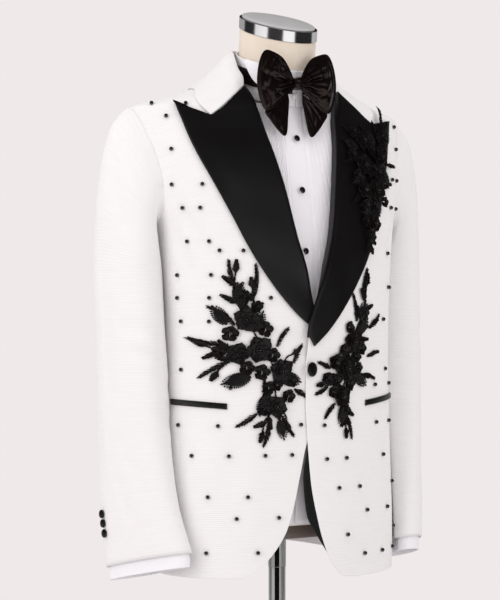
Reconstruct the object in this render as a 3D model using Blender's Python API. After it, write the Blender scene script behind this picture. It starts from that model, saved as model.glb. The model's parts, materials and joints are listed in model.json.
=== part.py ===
"""A tuxedo on a limbless dress form: jacket, dress shirt and bow tie.

Frame: metres, +Z up, the floor at z = 0 and the pole on the Z axis.
The wearer faces -Y, so the wearer's right hand side is -X and the left is +X.

Every cloth piece is a thin closed wall.  The jacket and the shirt are worked
out from two torso surfaces, each given by a short table of level sections.
A level section is a rounded oval (a superellipse) with its own half width,
front depth, back depth and squareness; a place on it is an angle, 0 at the
front centre, 90 degrees at the wearer's left and 180 degrees at the back.
"""
import math

import bmesh
import bpy
import numpy as np
from mathutils import Vector
from mathutils.geometry import delaunay_2d_cdt

# ---------------------------------------------------------------- sizes
SEAM = 0.0003            # gap between two pieces at a seam
CLOTH = 0.0020           # jacket cloth with its canvas
SHIRT_CLOTH = 0.0012
SATIN = 0.0024           # folded satin of the lapels
ON_PANEL = 0.0012        # what lies on a panel clears the panel's flat faces by this
LAP = 0.0028             # the left front lies this far above the right front
LAPEL_FOOT = 0.0034      # and this much more over the foot of the right lapel
HEM_RIGHT_Z = 0.804      # jacket hem at the sides; the left front hangs lower
HEM_LEFT_Z = 0.796
BACK_HEM_RISE = 0.032    # the centre back hem sits this much higher
UNDERARM_Z = 1.300
SHOULDER_END_Z = 1.464   # end of the shoulder seam, at the sleeve
NECK_POINT_Z = 1.511     # start of the shoulder seam, at the neck
SHIRT_HEM_Z = 0.873
BUTTON_Z = 1.095
CENTRE_X = -0.006        # the shirt's buttons stand a little off the pole's line

# Level sections of the jacket, from the hem to the neck.
SECTION_COLUMNS = ("z", "half_width", "front_y", "middle_y", "back_y", "squareness")
JACKET_SECTIONS = (
    (0.800, 0.187, -0.112, 0.012, 0.122, 2.30),
    (0.870, 0.188, -0.113, 0.012, 0.126, 2.30),
    (0.950, 0.187, -0.110, 0.012, 0.126, 2.30),
    (1.030, 0.184, -0.107, 0.012, 0.116, 2.30),
    (1.095, 0.181, -0.108, 0.012, 0.107, 2.30),
    (1.155, 0.180, -0.110, 0.012, 0.105, 2.35),
    (1.220, 0.183, -0.107, 0.014, 0.112, 2.40),
    (1.280, 0.190, -0.101, 0.018, 0.124, 2.40),
    (1.340, 0.203, -0.092, 0.022, 0.132, 2.40),
    (1.400, 0.214, -0.078, 0.026, 0.132, 2.30),
    (1.440, 0.222, -0.064, 0.030, 0.124, 2.15),
    (1.464, 0.225, -0.056, 0.032, 0.112, 2.00),
    (1.490, 0.154, -0.051, 0.030, 0.100, 2.00),
    (1.511, 0.096, -0.044, 0.028, 0.088, 2.00),
    (1.530, 0.080, -0.040, 0.026, 0.080, 2.00),
)
# Level sections of the shirt on the form.
SHIRT_SECTIONS = (
    (0.860, 0.170, -0.088, 0.012, 0.106, 2.30),
    (0.950, 0.172, -0.090, 0.012, 0.110, 2.30),
    (1.030, 0.168, -0.089, 0.012, 0.101, 2.30),
    (1.095, 0.165, -0.088, 0.012, 0.093, 2.30),
    (1.155, 0.164, -0.088, 0.012, 0.091, 2.30),
    (1.220, 0.167, -0.086, 0.014, 0.099, 2.30),
    (1.280, 0.173, -0.082, 0.018, 0.110, 2.35),
    (1.340, 0.186, -0.075, 0.022, 0.118, 2.35),
    (1.400, 0.199, -0.064, 0.026, 0.118, 2.30),
    (1.430, 0.206, -0.056, 0.029, 0.111, 2.15),
    (1.450, 0.207, -0.050, 0.031, 0.100, 2.00),
    (1.476, 0.135, -0.047, 0.028, 0.088, 2.00),
    (1.497, 0.070, -0.050, 0.014, 0.074, 2.00),
    (1.515, 0.064, -0.054, 0.008, 0.070, 2.00),
)
FORM_CLEARANCE = 0.012   # the form stands this far inside the shirt

# Front edges, rows of (z, x): where each front's edge stands, by height.
# Both run from the round corner of the cutaway to the neck point.
RIGHT_FRONT_EDGE = (
    (0.810, -0.098), (0.826, -0.079), (0.870, -0.049), (0.949, -0.026),
    (0.990, -0.015), (1.020, 0.002), (1.060, 0.012), (1.110, 0.016),
    (1.155, 0.008), (1.183, -0.009), (1.2375, -0.019), (1.281, -0.031),
    (1.360, -0.0465), (1.420, -0.060), (1.495, -0.077), (1.511, -0.096),
)
LEFT_FRONT_EDGE = (
    (0.801, 0.038), (0.826, 0.019), (0.873, 0.001), (0.936, -0.0113),
    (0.990, -0.0150), (1.060, -0.018), (1.110, -0.018), (1.155, -0.014),
    (1.183, -0.004), (1.2375, 0.017), (1.281, 0.031), (1.360, 0.0465),
    (1.420, 0.060), (1.495, 0.077), (1.511, 0.096),
)
# Outer edges of the lapels, rows of (z, x), from the bottom up to the peak.
RIGHT_LAPEL_EDGE = (
    (1.150, -0.005), (1.176, -0.036), (1.215, -0.069), (1.260, -0.097),
    (1.308, -0.120), (1.360, -0.144), (1.414, -0.166), (1.472, -0.180),
)
LEFT_LAPEL_EDGE = (
    (1.128, -0.009), (1.147, 0.012), (1.179, 0.040), (1.219, 0.073),
    (1.260, 0.099), (1.308, 0.122), (1.360, 0.143), (1.414, 0.163),
    (1.462, 0.180),
)
NOTCH = (0.134, 1.452)           # x and z of the corner between collar and lapel
GORGE_TOP = (0.077, 1.4945)      # x and z where the collar's fold meets the lapel's


# ---------------------------------------------------------------- curves
def curve_through(pairs, value=1):
    """A monotone cubic through (station, value) rows, as a function of the station."""
    rows = np.asarray(pairs, float)
    xs = rows[:, 0]
    ys = rows[:, value]
    step = np.diff(xs)
    slope = np.diff(ys) / step
    tangent = np.zeros(len(ys))
    tangent[0] = slope[0]
    tangent[-1] = slope[-1]
    same = slope[1:] * slope[:-1] > 0
    weight_a = 2 * step[1:] + step[:-1]
    weight_b = step[1:] + 2 * step[:-1]
    before = np.where(same, slope[:-1], 1.0)
    after = np.where(same, slope[1:], 1.0)
    mean = (weight_a + weight_b) / (weight_a / before + weight_b / after)
    tangent[1:-1] = np.where(same, mean, 0.0)

    def at(x):
        x = np.clip(np.asarray(x, float), xs[0], xs[-1])
        i = np.clip(np.searchsorted(xs, x, side="right") - 1, 0, len(step) - 1)
        t = (x - xs[i]) / step[i]
        h = step[i]
        return ((2 * t**3 - 3 * t**2 + 1) * ys[i] + (t**3 - 2 * t**2 + t) * h * tangent[i]
                + (3 * t**2 - 2 * t**3) * ys[i + 1] + (t**3 - t**2) * h * tangent[i + 1])
    return at


def blend(t):
    """0 to 1 with level ends."""
    t = np.clip(t, 0.0, 1.0)
    return t * t * (3 - 2 * t)


class Torso:
    """A torso surface from a table of level sections."""

    def __init__(self, sections, inset=0.0):
        self.inset = inset
        self.columns = {name: curve_through(sections, i)
                        for i, name in enumerate(SECTION_COLUMNS) if i}

    def sizes(self, z):
        """Half width, front depth, back depth, middle and squareness at height z."""
        middle = self.columns["middle_y"](z)
        half = self.columns["half_width"](z) - self.inset
        front = middle - self.columns["front_y"](z) - self.inset
        back = self.columns["back_y"](z) - middle - self.inset
        return half, front, back, middle, self.columns["squareness"](z)

    def at(self, angle, z):
        """The point at an angle and a height (a polar superellipse)."""
        angle = np.asarray(angle, float)
        z = np.asarray(z, float)
        angle, z = np.broadcast_arrays(angle, z)
        half, front, back, middle, n = self.sizes(z)
        s = np.sin(angle)
        c = np.cos(angle)
        reach = (np.abs(s)**n + np.abs(c)**n) ** (-1.0 / n)
        depth = np.where(c > 0, front, back)
        return np.stack([half * reach * s, middle - depth * reach * c, z], axis=-1)

    def normal(self, angle, z):
        """The outward direction, from differences along both parameters."""
        da = 1.2e-2
        dz = 1.6e-3
        along = self.at(angle + da, z) - self.at(angle - da, z)
        up = self.at(angle, z + dz) - self.at(angle, z - dz)
        n = np.cross(along, up)
        return n / np.linalg.norm(n, axis=-1, keepdims=True)

    def out(self, angle, z, distance):
        """The point a distance off the surface."""
        distance = np.asarray(distance, float)[..., None]
        return self.at(angle, z) + self.normal(angle, z) * distance

    def front_angle(self, x, z):
        """The angle at which the front of the section has this x."""
        half, _, _, _, n = self.sizes(z)
        q = np.clip((np.abs(x) / half) ** n, 0.0, 0.9999)
        return np.sign(x) * np.arctan((q / (1 - q)) ** (1 / n))

    def hold_outside(self, points, clearance):
        """Points inside the surface (on the +X side) are moved out along X."""
        half, front, back, middle, n = self.sizes(points[..., 2])
        depth = np.where(points[..., 1] < middle, front, back) + clearance
        ratio = np.clip(np.abs(points[..., 1] - middle) / depth, 0.0, 1.0)
        least = (half + clearance) * (1 - ratio**n) ** (1 / n)
        moved = points.copy()
        moved[..., 0] = np.maximum(points[..., 0], least)
        return moved


JACKET = Torso(JACKET_SECTIONS)
SHIRT = Torso(SHIRT_SECTIONS)
FORM = Torso(SHIRT_SECTIONS, inset=FORM_CLEARANCE)


# ---------------------------------------------------------------- scene and materials
def clear_scene():
    for thing in list(bpy.data.objects):
        bpy.data.objects.remove(thing, do_unlink=True)


def material(name, colour, roughness, metallic=0.0):
    made = bpy.data.materials.new(name)
    made.use_nodes = True
    shader = made.node_tree.nodes["Principled BSDF"]
    shader.inputs["Base Color"].default_value = (*colour, 1.0)
    shader.inputs["Roughness"].default_value = roughness
    shader.inputs["Metallic"].default_value = metallic
    return made


def white_cloth(name):
    return material(name, (0.88, 0.87, 0.87), 0.75)


def shirt_cloth(name):
    return material(name, (0.86, 0.86, 0.90), 0.65)


def satin(name):
    return material(name, (0.012, 0.011, 0.013), 0.32)


def black_trim(name):
    return material(name, (0.008, 0.008, 0.009), 0.55)


def chrome(name):
    return material(name, (0.75, 0.75, 0.76), 0.12, 1.0)


def add_object(name, verts, faces, make_material, smooth_angle=40.0):
    """A named closed mesh whose faces point out."""
    mesh = bpy.data.meshes.new(name)
    mesh.from_pydata([tuple(map(float, v)) for v in verts], [], faces)
    bm = bmesh.new()
    bm.from_mesh(mesh)
    bmesh.ops.recalc_face_normals(bm, faces=bm.faces)
    bm.to_mesh(mesh)
    bm.free()
    mesh.shade_smooth()
    mesh.set_sharp_from_angle(angle=math.radians(smooth_angle))
    made = bpy.data.objects.new(name, mesh)
    bpy.context.scene.collection.objects.link(made)
    mesh.materials.append(make_material(name + "_finish"))
    return made


# ---------------------------------------------------------------- walls and lofts
def wall(name, outer, inner, make_material, around=False, beads=()):
    """A closed wall between two grids of the same size (rows, columns, 3).

    around joins the last column to the first, as on a sleeve.  beads is a
    list of centres; the outer quad nearest to each is raised to a bead.
    """
    rows, cols = outer.shape[:2]
    count = rows * cols
    verts = [*outer.reshape(-1, 3), *inner.reshape(-1, 3)]
    faces = []
    spans = cols if around else cols - 1
    centres = []
    for r in range(rows - 1):
        for c in range(spans):
            d = (c + 1) % cols
            quad = (r * cols + c, r * cols + d, (r + 1) * cols + d, (r + 1) * cols + c)
            faces.append(quad)
            centres.append(sum(np.asarray(verts[i]) for i in quad) / 4)
    outer_faces = len(faces)
    for r in range(rows - 1):
        for c in range(spans):
            d = (c + 1) % cols
            faces.append((count + r * cols + c, count + (r + 1) * cols + c,
                          count + (r + 1) * cols + d, count + r * cols + d))
    for c in range(spans):
        d = (c + 1) % cols
        last = (rows - 1) * cols
        faces.append((d, c, count + c, count + d))
        faces.append((last + c, last + d, count + last + d, count + last + c))
    if not around:
        for r in range(rows - 1):
            low = r * cols
            high = low + cols
            faces.append((low, high, count + high, count + low))
            low += cols - 1
            high += cols - 1
            faces.append((high, low, count + low, count + high))
    if len(beads):
        raise_beads(verts, faces, np.array(centres), outer_faces, count, beads)
    return add_object(name, verts, faces, make_material)


BEAD_RADIUS = 0.0033
BEAD_HEIGHT = 0.0046
BEAD_MARGIN = 1.5        # a bead's centre stays this many radii inside its quad


def raise_beads(verts, faces, centres, outer_faces, count, beads):
    """Raise one bead in the nearest outer quad: a square neck with a pointed cap."""
    used = set()
    for bead in beads:
        nearest = np.argsort(np.linalg.norm(centres - bead, axis=1))
        index = next(int(i) for i in nearest if int(i) not in used)
        used.add(index)
        corners = faces[index]
        points = [np.asarray(verts[i], float) for i in corners]
        middle = centres[index]
        side = points[1] - points[0] + points[2] - points[3]
        rise = points[3] - points[0] + points[2] - points[1]
        reach_side = np.linalg.norm(side) / 4
        reach_rise = np.linalg.norm(rise) / 4
        side = side / np.linalg.norm(side)
        normal = np.cross(side, rise)
        normal = normal / np.linalg.norm(normal)
        if np.dot(normal, points[0] - np.asarray(verts[count + corners[0]])) < 0:
            normal = -normal
        rise = rise / np.linalg.norm(rise)
        off = bead - middle
        keep = BEAD_RADIUS * BEAD_MARGIN
        shift_side = np.clip(np.dot(off, side), -max(reach_side - keep, 0), max(reach_side - keep, 0))
        shift_rise = np.clip(np.dot(off, rise), -max(reach_rise - keep, 0), max(reach_rise - keep, 0))
        centre = middle + side * shift_side + rise * shift_rise
        start = len(verts)
        for lift in (0.0, 0.55 * BEAD_HEIGHT):
            for point in points:
                toward = point - middle
                toward = toward - normal * np.dot(toward, normal)
                toward = toward / np.linalg.norm(toward)
                verts.append(centre + toward * BEAD_RADIUS + normal * lift)
        verts.append(centre + normal * BEAD_HEIGHT)
        tip = start + 8
        ring = [start + i for i in range(4)]
        top = [start + 4 + i for i in range(4)]
        faces[index] = (corners[0], corners[1], ring[1], ring[0])
        for i in range(1, 4):
            j = (i + 1) % 4
            faces.append((corners[i], corners[j], ring[j], ring[i]))
        for i in range(4):
            j = (i + 1) % 4
            faces.append((ring[i], ring[j], top[j], top[i]))
            faces.append((top[i], top[j], tip))


def loft(name, rings, make_material, smooth_angle=40.0):
    """A closed solid through rings of equal count, with flat or pointed ends."""
    rings = [np.asarray(ring, float) for ring in rings]
    count = len(rings[0])
    verts = [v for ring in rings for v in ring]
    faces = []
    for r in range(len(rings) - 1):
        for c in range(count):
            d = (c + 1) % count
            faces.append((r * count + c, r * count + d, (r + 1) * count + d, (r + 1) * count + c))
    for r in (0, len(rings) - 1):
        verts.append(rings[r].mean(axis=0))
        hub = len(verts) - 1
        for c in range(count):
            faces.append((r * count + c, r * count + (c + 1) % count, hub))
    return add_object(name, verts, faces, make_material, smooth_angle)


def ring_of(radius_x, radius_y, centre, count, tilt=0.0):
    """A level oval ring; tilt is its fall per metre towards the front."""
    a = np.linspace(0, 2 * math.pi, count, endpoint=False)
    x = radius_x * np.sin(a)
    y = -radius_y * np.cos(a)
    return np.stack([x + centre[0], y + centre[1], centre[2] + tilt * y], axis=-1)


def turned(name, profile, make_material, centre=(0.0, 0.0), count=24, tilt=0.0):
    """A turned solid on a vertical axis, from (radius, height) rows."""
    rings = [ring_of(r, r, (centre[0], centre[1], z), count, tilt) for r, z in profile]
    return loft(name, rings, make_material)


def patch(left, right, bottom, top, rows, cols):
    """A grid between four edges, each a function of 0..1 giving (angle, z).

    The edges are mixed by a Coons patch: the mean of the two rulings less the
    ruling of the four corners.
    """
    v = np.linspace(0, 1, rows)[:, None]
    u = np.linspace(0, 1, cols)[None, :]
    lo = np.stack(bottom(u[0]), axis=-1)[None, :, :]
    hi = np.stack(top(u[0]), axis=-1)[None, :, :]
    le = np.stack(left(v[:, 0]), axis=-1)[:, None, :]
    ri = np.stack(right(v[:, 0]), axis=-1)[:, None, :]
    u = u[..., None]
    v = v[..., None]
    corners = ((1 - u) * (1 - v) * le[:1] + u * (1 - v) * ri[:1]
               + (1 - u) * v * le[-1:] + u * v * ri[-1:])
    return (1 - v) * lo + v * hi + (1 - u) * le + u * ri - corners


# ---------------------------------------------------------------- the armhole
# Half the opening of the armhole: how far its edge stands from the side line,
# as an angle, at each height.  The back edge mirrors the front one.
ARMHOLE = (
    (1.300, 0.0), (1.306, 9.0), (1.318, 15.0), (1.340, 20.0), (1.370, 21.5),
    (1.400, 20.0), (1.430, 16.0), (1.450, 11.0), (1.460, 6.0), (1.464, 0.0),
)
armhole_angle = curve_through(ARMHOLE)


def armhole_loop(count):
    """Angle off the side line and height around the armhole, from its top,
    down the front edge, through the underarm and up the back edge."""
    t = np.linspace(0, 2 * math.pi, count, endpoint=False)
    mid = (UNDERARM_Z + SHOULDER_END_Z) / 2
    half = (SHOULDER_END_Z - UNDERARM_Z) / 2
    z = mid + half * np.cos(t)
    off = np.radians(armhole_angle(z)) * np.sign(np.sin(t))
    return off, z


# ---------------------------------------------------------------- jacket panels
FRONT_SIDE_ROWS = 16     # spans of a front from its hem to the underarm
FRONT_COLS = 10
BACK_SIDE_ROWS = 7
BACK_COLS = 7
ARMHOLE_ROWS = 10        # spans of each panel's armhole edge, as on the sleeve
LEVEL_Z = 1.315          # height at the panel's inner edge of the underarm's row
NECK_SPANS = 3           # of a back's armhole rows, the last few end on the neckline
NECK_BACK_Z = 1.527


def hem_z(side):
    return HEM_LEFT_Z if side > 0 else HEM_RIGHT_Z


def side_share(side_rows):
    """The share of a panel's height that is its side seam."""
    return side_rows / (side_rows + ARMHOLE_ROWS)


def inner_height(v, share, low, high):
    """Heights along a panel's inner edge, level with the underarm at the share."""
    return np.interp(v, (0.0, share, 1.0), (low, LEVEL_Z, high))


def side_and_armhole(surface, side, toward_back, share):
    """The edge of a panel from the hem, up the side seam, round the armhole."""
    def edge(v):
        v = np.asarray(v, float)
        low = hem_z(side) + (UNDERARM_Z - hem_z(side)) * np.clip(v / share, 0, 1)
        # the armhole is walked evenly in its own angle, as the sleeve's loop is
        turn = np.clip((v - share) / (1 - share), 0, 1) * math.pi
        mid = (UNDERARM_Z + SHOULDER_END_Z) / 2
        half = (SHOULDER_END_Z - UNDERARM_Z) / 2
        z = np.where(v <= share, low, mid - half * np.cos(turn))
        opening = np.where(v <= share, 0.0, np.radians(armhole_angle(z)))
        half_width = surface.sizes(z)[0]
        gap = SEAM / 2 / half_width * 2.2
        angle = math.pi / 2 - opening - gap
        if toward_back:
            angle = math.pi - angle
        return side * angle, z
    return edge


def front_edge(surface, table, share):
    """The edge of a front from the cutaway's corner to the neck point."""
    x_at = curve_through(table)
    z_low = table[0][0]
    z_high = table[-1][0]

    def edge(v):
        z = inner_height(v, share, z_low, z_high)
        x = x_at(z)
        return surface.front_angle(x, z), z
    return edge


def front_panel(side, table, side_rows, cols, lift_here):
    """Angles, heights and lifts of a jacket front's grid."""
    share = side_share(side_rows)
    rows = side_rows + ARMHOLE_ROWS + 1
    left = front_edge(JACKET, table, share)
    right = side_and_armhole(JACKET, side, False, share)
    start = np.array([float(c) for c in left(0.0)])
    end = np.array([float(c) for c in right(0.0)])
    neck = np.array([float(c) for c in left(1.0)])
    shoulder = np.array([float(c) for c in right(1.0)])
    dip = start[1] - hem_z(side)

    def bottom(u):
        angle = start[0] + (end[0] - start[0]) * u
        z = hem_z(side) + dip * np.clip(1 - u / 0.14, 0, 1) ** 2
        return angle, z

    def top(u):
        z = neck[1] + (shoulder[1] - neck[1]) * u
        half_width = JACKET.sizes(z)[0]
        angle = side * (math.pi / 2 - SEAM / 2 / half_width * 2.2)
        # the first stretch comes up from the edge of the neck
        share = blend(u / 0.06)
        return neck[0] * (1 - share) + angle * share, z
    grid = patch(left, right, bottom, top, rows, cols)
    angle = grid[..., 0]
    z = grid[..., 1]
    return angle, z, lift_here(angle, z)


def left_lift(angle, z):
    """The left front stands above the right one around the centre line, and
    higher where the right lapel's foot is under it."""
    x = JACKET.at(angle, z)[..., 0]
    foot = blend((z - 1.100) / 0.030) * (1 - blend((z - 1.200) / 0.070))
    return (LAP + LAPEL_FOOT * foot) * (1 - blend((x - 0.030) / 0.050))


def no_lift(angle, z):
    return np.zeros(np.shape(z))


def jacket_point(side, x, z, out):
    """A point over a jacket front, at x and z, a distance above its cloth."""
    angle = JACKET.front_angle(np.asarray(x, float), np.asarray(z, float))
    lift = left_lift(angle, z) if side > 0 else 0.0
    return JACKET.out(angle, z, lift + out)


# Pearl beads on the fronts: a row for each line of beads, from the shoulder down.
BEAD_ROWS = (
    ("right", 1.470, (-0.205, -0.165)),
    ("right", 1.452, (-0.192,)),
    ("right", 1.405, (-0.190,)),
    ("right", 1.355, (-0.190, -0.157)),
    ("right", 1.322, (-0.160, -0.179)),
    ("right", 1.275, (-0.172, -0.150)),
    ("right", 1.262, (-0.138, -0.108)),
    ("right", 1.228, (-0.178, -0.148)),
    ("right", 1.196, (-0.177, -0.150, -0.072)),
    ("right", 1.163, (-0.150, -0.174)),
    ("right", 1.150, (-0.050,)),
    ("right", 1.095, (-0.174,)),
    ("right", 1.070, (-0.125,)),
    ("right", 1.017, (-0.178, -0.140, -0.025)),
    ("right", 0.975, (-0.168, -0.128, -0.080, -0.040)),
    ("right", 0.918, (-0.153, -0.105)),
    ("right", 0.888, (-0.062, -0.120)),
    ("right", 0.840, (-0.155, -0.092)),
    ("left", 1.455, (0.198,)),
    ("left", 1.420, (0.192,)),
    ("left", 1.372, (0.186, 0.168)),
    ("left", 1.330, (0.160, 0.185)),
    ("left", 1.262, (0.152, 0.182)),
    ("left", 1.212, (0.175, 0.150)),
    ("left", 1.165, (0.132,)),
    ("left", 1.092, (0.142,)),
    ("left", 1.070, (0.112, 0.156)),
    ("left", 1.015, (0.012, 0.115, 0.152)),
    ("left", 0.967, (0.050, 0.015, 0.130)),
    ("left", 0.925, (0.075, 0.035, 0.158)),
    ("left", 0.890, (0.138, 0.090)),
    ("left", 0.858, (0.050, 0.165)),
    ("left", 0.828, (0.125, 0.085, 0.160)),
)


def bead_centres(side_name):
    side = -1 if side_name == "right" else 1
    found = [jacket_point(side, x, z, 0.0)
             for name, z, xs in BEAD_ROWS if name == side_name for x in xs]
    return np.array(found)


def build_front(name, side, table, lift_here):
    angle, z, lift = front_panel(side, table, FRONT_SIDE_ROWS, FRONT_COLS, lift_here)
    outer = JACKET.out(angle, z, lift)
    inner = JACKET.out(angle, z, lift - CLOTH)
    return wall(name, outer, inner, white_cloth, beads=bead_centres(name.split("_")[-1]))


def build_back(name, side):
    """Half of the back: its inner edge is the centre seam, then the neckline."""
    centre = math.pi - SEAM / 2 / 0.12
    share = side_share(BACK_SIDE_ROWS)
    neck_share = 1 - NECK_SPANS / (BACK_SIDE_ROWS + ARMHOLE_ROWS)
    right = side_and_armhole(JACKET, side, True, share)

    def ridge(z):
        return math.pi / 2 + SEAM / 2 / JACKET.sizes(z)[0] * 2.2

    def left(v):
        z = np.interp(v, (0.0, share, neck_share), (hem_z(side) + BACK_HEM_RISE, LEVEL_Z, NECK_BACK_Z))
        around = np.clip((v - neck_share) / (1 - neck_share), 0, 1)
        z = z + (NECK_POINT_Z - NECK_BACK_Z) * blend(around)
        return side * (centre + (ridge(NECK_POINT_Z) - centre) * around), z

    def bottom(u):
        a0 = float(left(0.0)[0])
        a1 = float(right(0.0)[0])
        return a0 + (a1 - a0) * u, hem_z(side) + BACK_HEM_RISE * (1 - blend(u))

    def top(u):
        z = NECK_POINT_Z + (SHOULDER_END_Z - NECK_POINT_Z) * u
        return side * ridge(z), z
    grid = patch(left, right, bottom, top, BACK_SIDE_ROWS + ARMHOLE_ROWS + 1, BACK_COLS)
    angle = grid[..., 0]
    z = grid[..., 1]
    outer = JACKET.out(angle, z, np.zeros(z.shape))
    inner = JACKET.out(angle, z, np.full(z.shape, -CLOTH))
    return wall(name, outer, inner, white_cloth)


LINING_THICKNESS = 0.0012
LINING_GAP = 0.0010
LINING_EDGE = (
    (0.835, 0.016), (0.868, -0.0070), (0.887, -0.0175), (0.915, -0.0215), (0.9405, -0.0225),
    (0.965, -0.0185), (0.985, -0.0125), (1.000, -0.0040), (1.030, 0.0120),
)
LINING_WIDTH = 0.095


def build_lining():
    """The black lining of the left front, where the cutaway shows its inside."""
    z = np.linspace(LINING_EDGE[0][0], LINING_EDGE[-1][0], 9)[:, None]
    x = curve_through(LINING_EDGE)(z) + LINING_WIDTH * np.linspace(0, 1, 5)[None, :]
    z = z + 0 * x
    outer = jacket_point(1, x, z, -CLOTH - LINING_GAP + 0 * z)
    inner = jacket_point(1, x, z, -CLOTH - LINING_GAP - LINING_THICKNESS + 0 * z)
    return wall("jacket_lining_left", outer, inner, black_trim)


# ---------------------------------------------------------------- sleeves
# The arm, for the wearer's left; the right one is its mirror image.  Each row
# is a level section: the middle of the sleeve, the halves of its oval and the
# turn of the oval's long axis in degrees, from outwards towards the back.
ARM_COLUMNS = ("z", "middle_x", "middle_y", "long", "short", "turn")
ARM_SECTIONS = (
    (0.820, 0.2135, -0.0070, 0.0750, 0.0310, 66.0),
    (0.918, 0.2204, 0.0162, 0.0690, 0.0360, 74.0),
    (1.003, 0.2197, 0.0296, 0.0680, 0.0420, 82.0),
    (1.080, 0.2185, 0.0375, 0.0680, 0.0450, 88.0),
    (1.180, 0.2212, 0.0423, 0.0660, 0.0440, 90.0),
    (1.245, 0.2230, 0.0450, 0.0630, 0.0460, 90.0),
)
SLEEVE_ROUND = 20
CAP_ROWS = 5
ARM_ROWS = 6
SLEEVE_HEM_Z = 0.826
SLEEVE_HEM_FALL = 0.24           # the hem falls towards the back, metre per metre
SLEEVE_TOP_Z = 1.225             # below this the sleeve is a plain tube
SLEEVE_CLEARANCE = 0.0035        # between a sleeve and the side of the jacket


def arm_oval(z, angle, inset=0.0):
    """Points of the arm's sections; angle 0 is outwards, 90 degrees is forwards."""
    cols = {name: curve_through(ARM_SECTIONS, i)(z)
            for i, name in enumerate(ARM_COLUMNS) if i}
    a = cols["long"] - inset
    b = cols["short"] - inset
    turned_by = angle + np.radians(cols["turn"])
    reach = a * b / np.sqrt((b * np.cos(turned_by))**2 + (a * np.sin(turned_by))**2)
    x = cols["middle_x"] + reach * np.cos(angle)
    y = cols["middle_y"] - reach * np.sin(angle)
    return np.stack([x, y, z + 0 * reach], axis=-1)


def sleeve_rings(inset, hem_drop, clearance):
    """Rings from the armhole to the hem, for the wearer's left arm."""
    off, loop_z = armhole_loop(SLEEVE_ROUND)
    angle = np.linspace(0, 2 * math.pi, SLEEVE_ROUND, endpoint=False)
    # just inside the armhole's edge, level with the cloth
    tuck = 0.0007 + inset
    mid_z = (UNDERARM_Z + SHOULDER_END_Z) / 2
    shrink = 1 - tuck / ((SHOULDER_END_Z - UNDERARM_Z) / 2)
    side_angle = math.pi / 2 - off * shrink
    start = JACKET.out(side_angle, mid_z + (loop_z - mid_z) * shrink,
                       np.full(SLEEVE_ROUND, -0.0010 - inset))
    lower = arm_oval(np.full(SLEEVE_ROUND, SLEEVE_TOP_Z), angle, inset)
    rings = [start]
    outward = np.array([0.0065, 0.0, 0.0])
    first = start + outward
    rings.append(first)
    top_share = (1 + np.cos(angle)) / 2
    pull = np.stack([0.040 + 0.085 * top_share, -0.012 * np.sin(angle),
                     -0.050 + 0 * top_share], axis=-1)
    arrive = np.array([0.0, 0.0, -1.0]) * (0.05 + 0.24 * top_share)[:, None]
    for k in range(1, CAP_ROWS + 1):
        t = k / CAP_ROWS
        h00 = 2 * t**3 - 3 * t**2 + 1
        h10 = t**3 - 2 * t**2 + t
        h01 = 3 * t**2 - 2 * t**3
        h11 = t**3 - t**2
        rings.append(h00 * first + h10 * pull + h01 * lower + h11 * arrive)
    for k in range(1, ARM_ROWS + 1):
        t = k / ARM_ROWS
        level = np.full(SLEEVE_ROUND, SLEEVE_TOP_Z + (SLEEVE_HEM_Z - hem_drop - SLEEVE_TOP_Z) * t)
        ring = arm_oval(level, angle, inset)
        middle_y = curve_through(ARM_SECTIONS, 2)(level)
        tilt = SLEEVE_HEM_FALL * blend((t - 0.35) / 0.65)
        ring[..., 2] = level - tilt * (ring[..., 1] - middle_y)
        rings.append(ring)
    rings = np.array(rings)
    rings[2:] = JACKET.hold_outside(rings[2:], clearance)
    return rings


def wall_inside(outer, thickness):
    """The inner grid of a tube: every point moved in, square to the surface."""
    around = np.roll(outer, -1, axis=1) - np.roll(outer, 1, axis=1)
    down = np.gradient(outer, axis=0)
    n = np.cross(around, down)
    n = n / np.linalg.norm(n, axis=-1, keepdims=True)
    middle = outer.mean(axis=1, keepdims=True)
    outward = np.sum(n * (outer - middle), axis=-1)
    return outer - n * thickness * np.sign(np.median(outward))


def mirrored(points, side):
    return points * np.array([side, 1.0, 1.0])


def build_sleeve(name, side):
    outer = sleeve_rings(0.0, 0.0, SLEEVE_CLEARANCE)
    inner = wall_inside(outer, CLOTH)
    return wall(name, mirrored(outer, side), mirrored(inner, side), white_cloth, around=True)


def build_shirt_sleeve(name, side):
    """The shirt's sleeve, a plain tube inside the jacket's."""
    rings = sleeve_rings(0.0100, 0.0, SLEEVE_CLEARANCE + 0.0100)
    outer = rings[[5, 7, 9, 11, 12], ::2]
    inner = wall_inside(outer, SHIRT_CLOTH)
    return wall(name, mirrored(outer, side), mirrored(inner, side), shirt_cloth, around=True)


# ---------------------------------------------------------------- lapels and collar
LAPEL_ROWS = 14
LAPEL_COLS = 6
ROLL_LIFT = 0.0030       # the fold of a lapel stands this much prouder
TURN_DEPTH = 0.0075      # how far a lapel turns in behind its fold
FLAT_BELOW = 1.185       # towards its foot the fold is pressed flat
FLAT_SPAN = 0.060


def lapel_columns(table, edge_table, v):
    """Heights and x of a lapel's outer edge and of its fold at the share v."""
    x_edge = curve_through(edge_table)
    x_fold = curve_through(table)
    outer_z = edge_table[0][0] + (edge_table[-1][0] - edge_table[0][0]) * v
    fold_z = edge_table[0][0] + 0.012 + (GORGE_TOP[1] - edge_table[0][0] - 0.012) * v
    return x_edge(outer_z), outer_z, x_fold(fold_z), fold_z


def gorge_line(side, u):
    """The top of a lapel: from the peak to the notch, then along the gorge."""
    peak = (LEFT_LAPEL_EDGE if side > 0 else RIGHT_LAPEL_EDGE)[-1]
    x = np.interp(u, (0.0, 0.42, 1.0), (abs(peak[1]), NOTCH[0], GORGE_TOP[0]))
    z = np.interp(u, (0.0, 0.42, 1.0), (peak[0], NOTCH[1], GORGE_TOP[1]))
    return side * x, z


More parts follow.
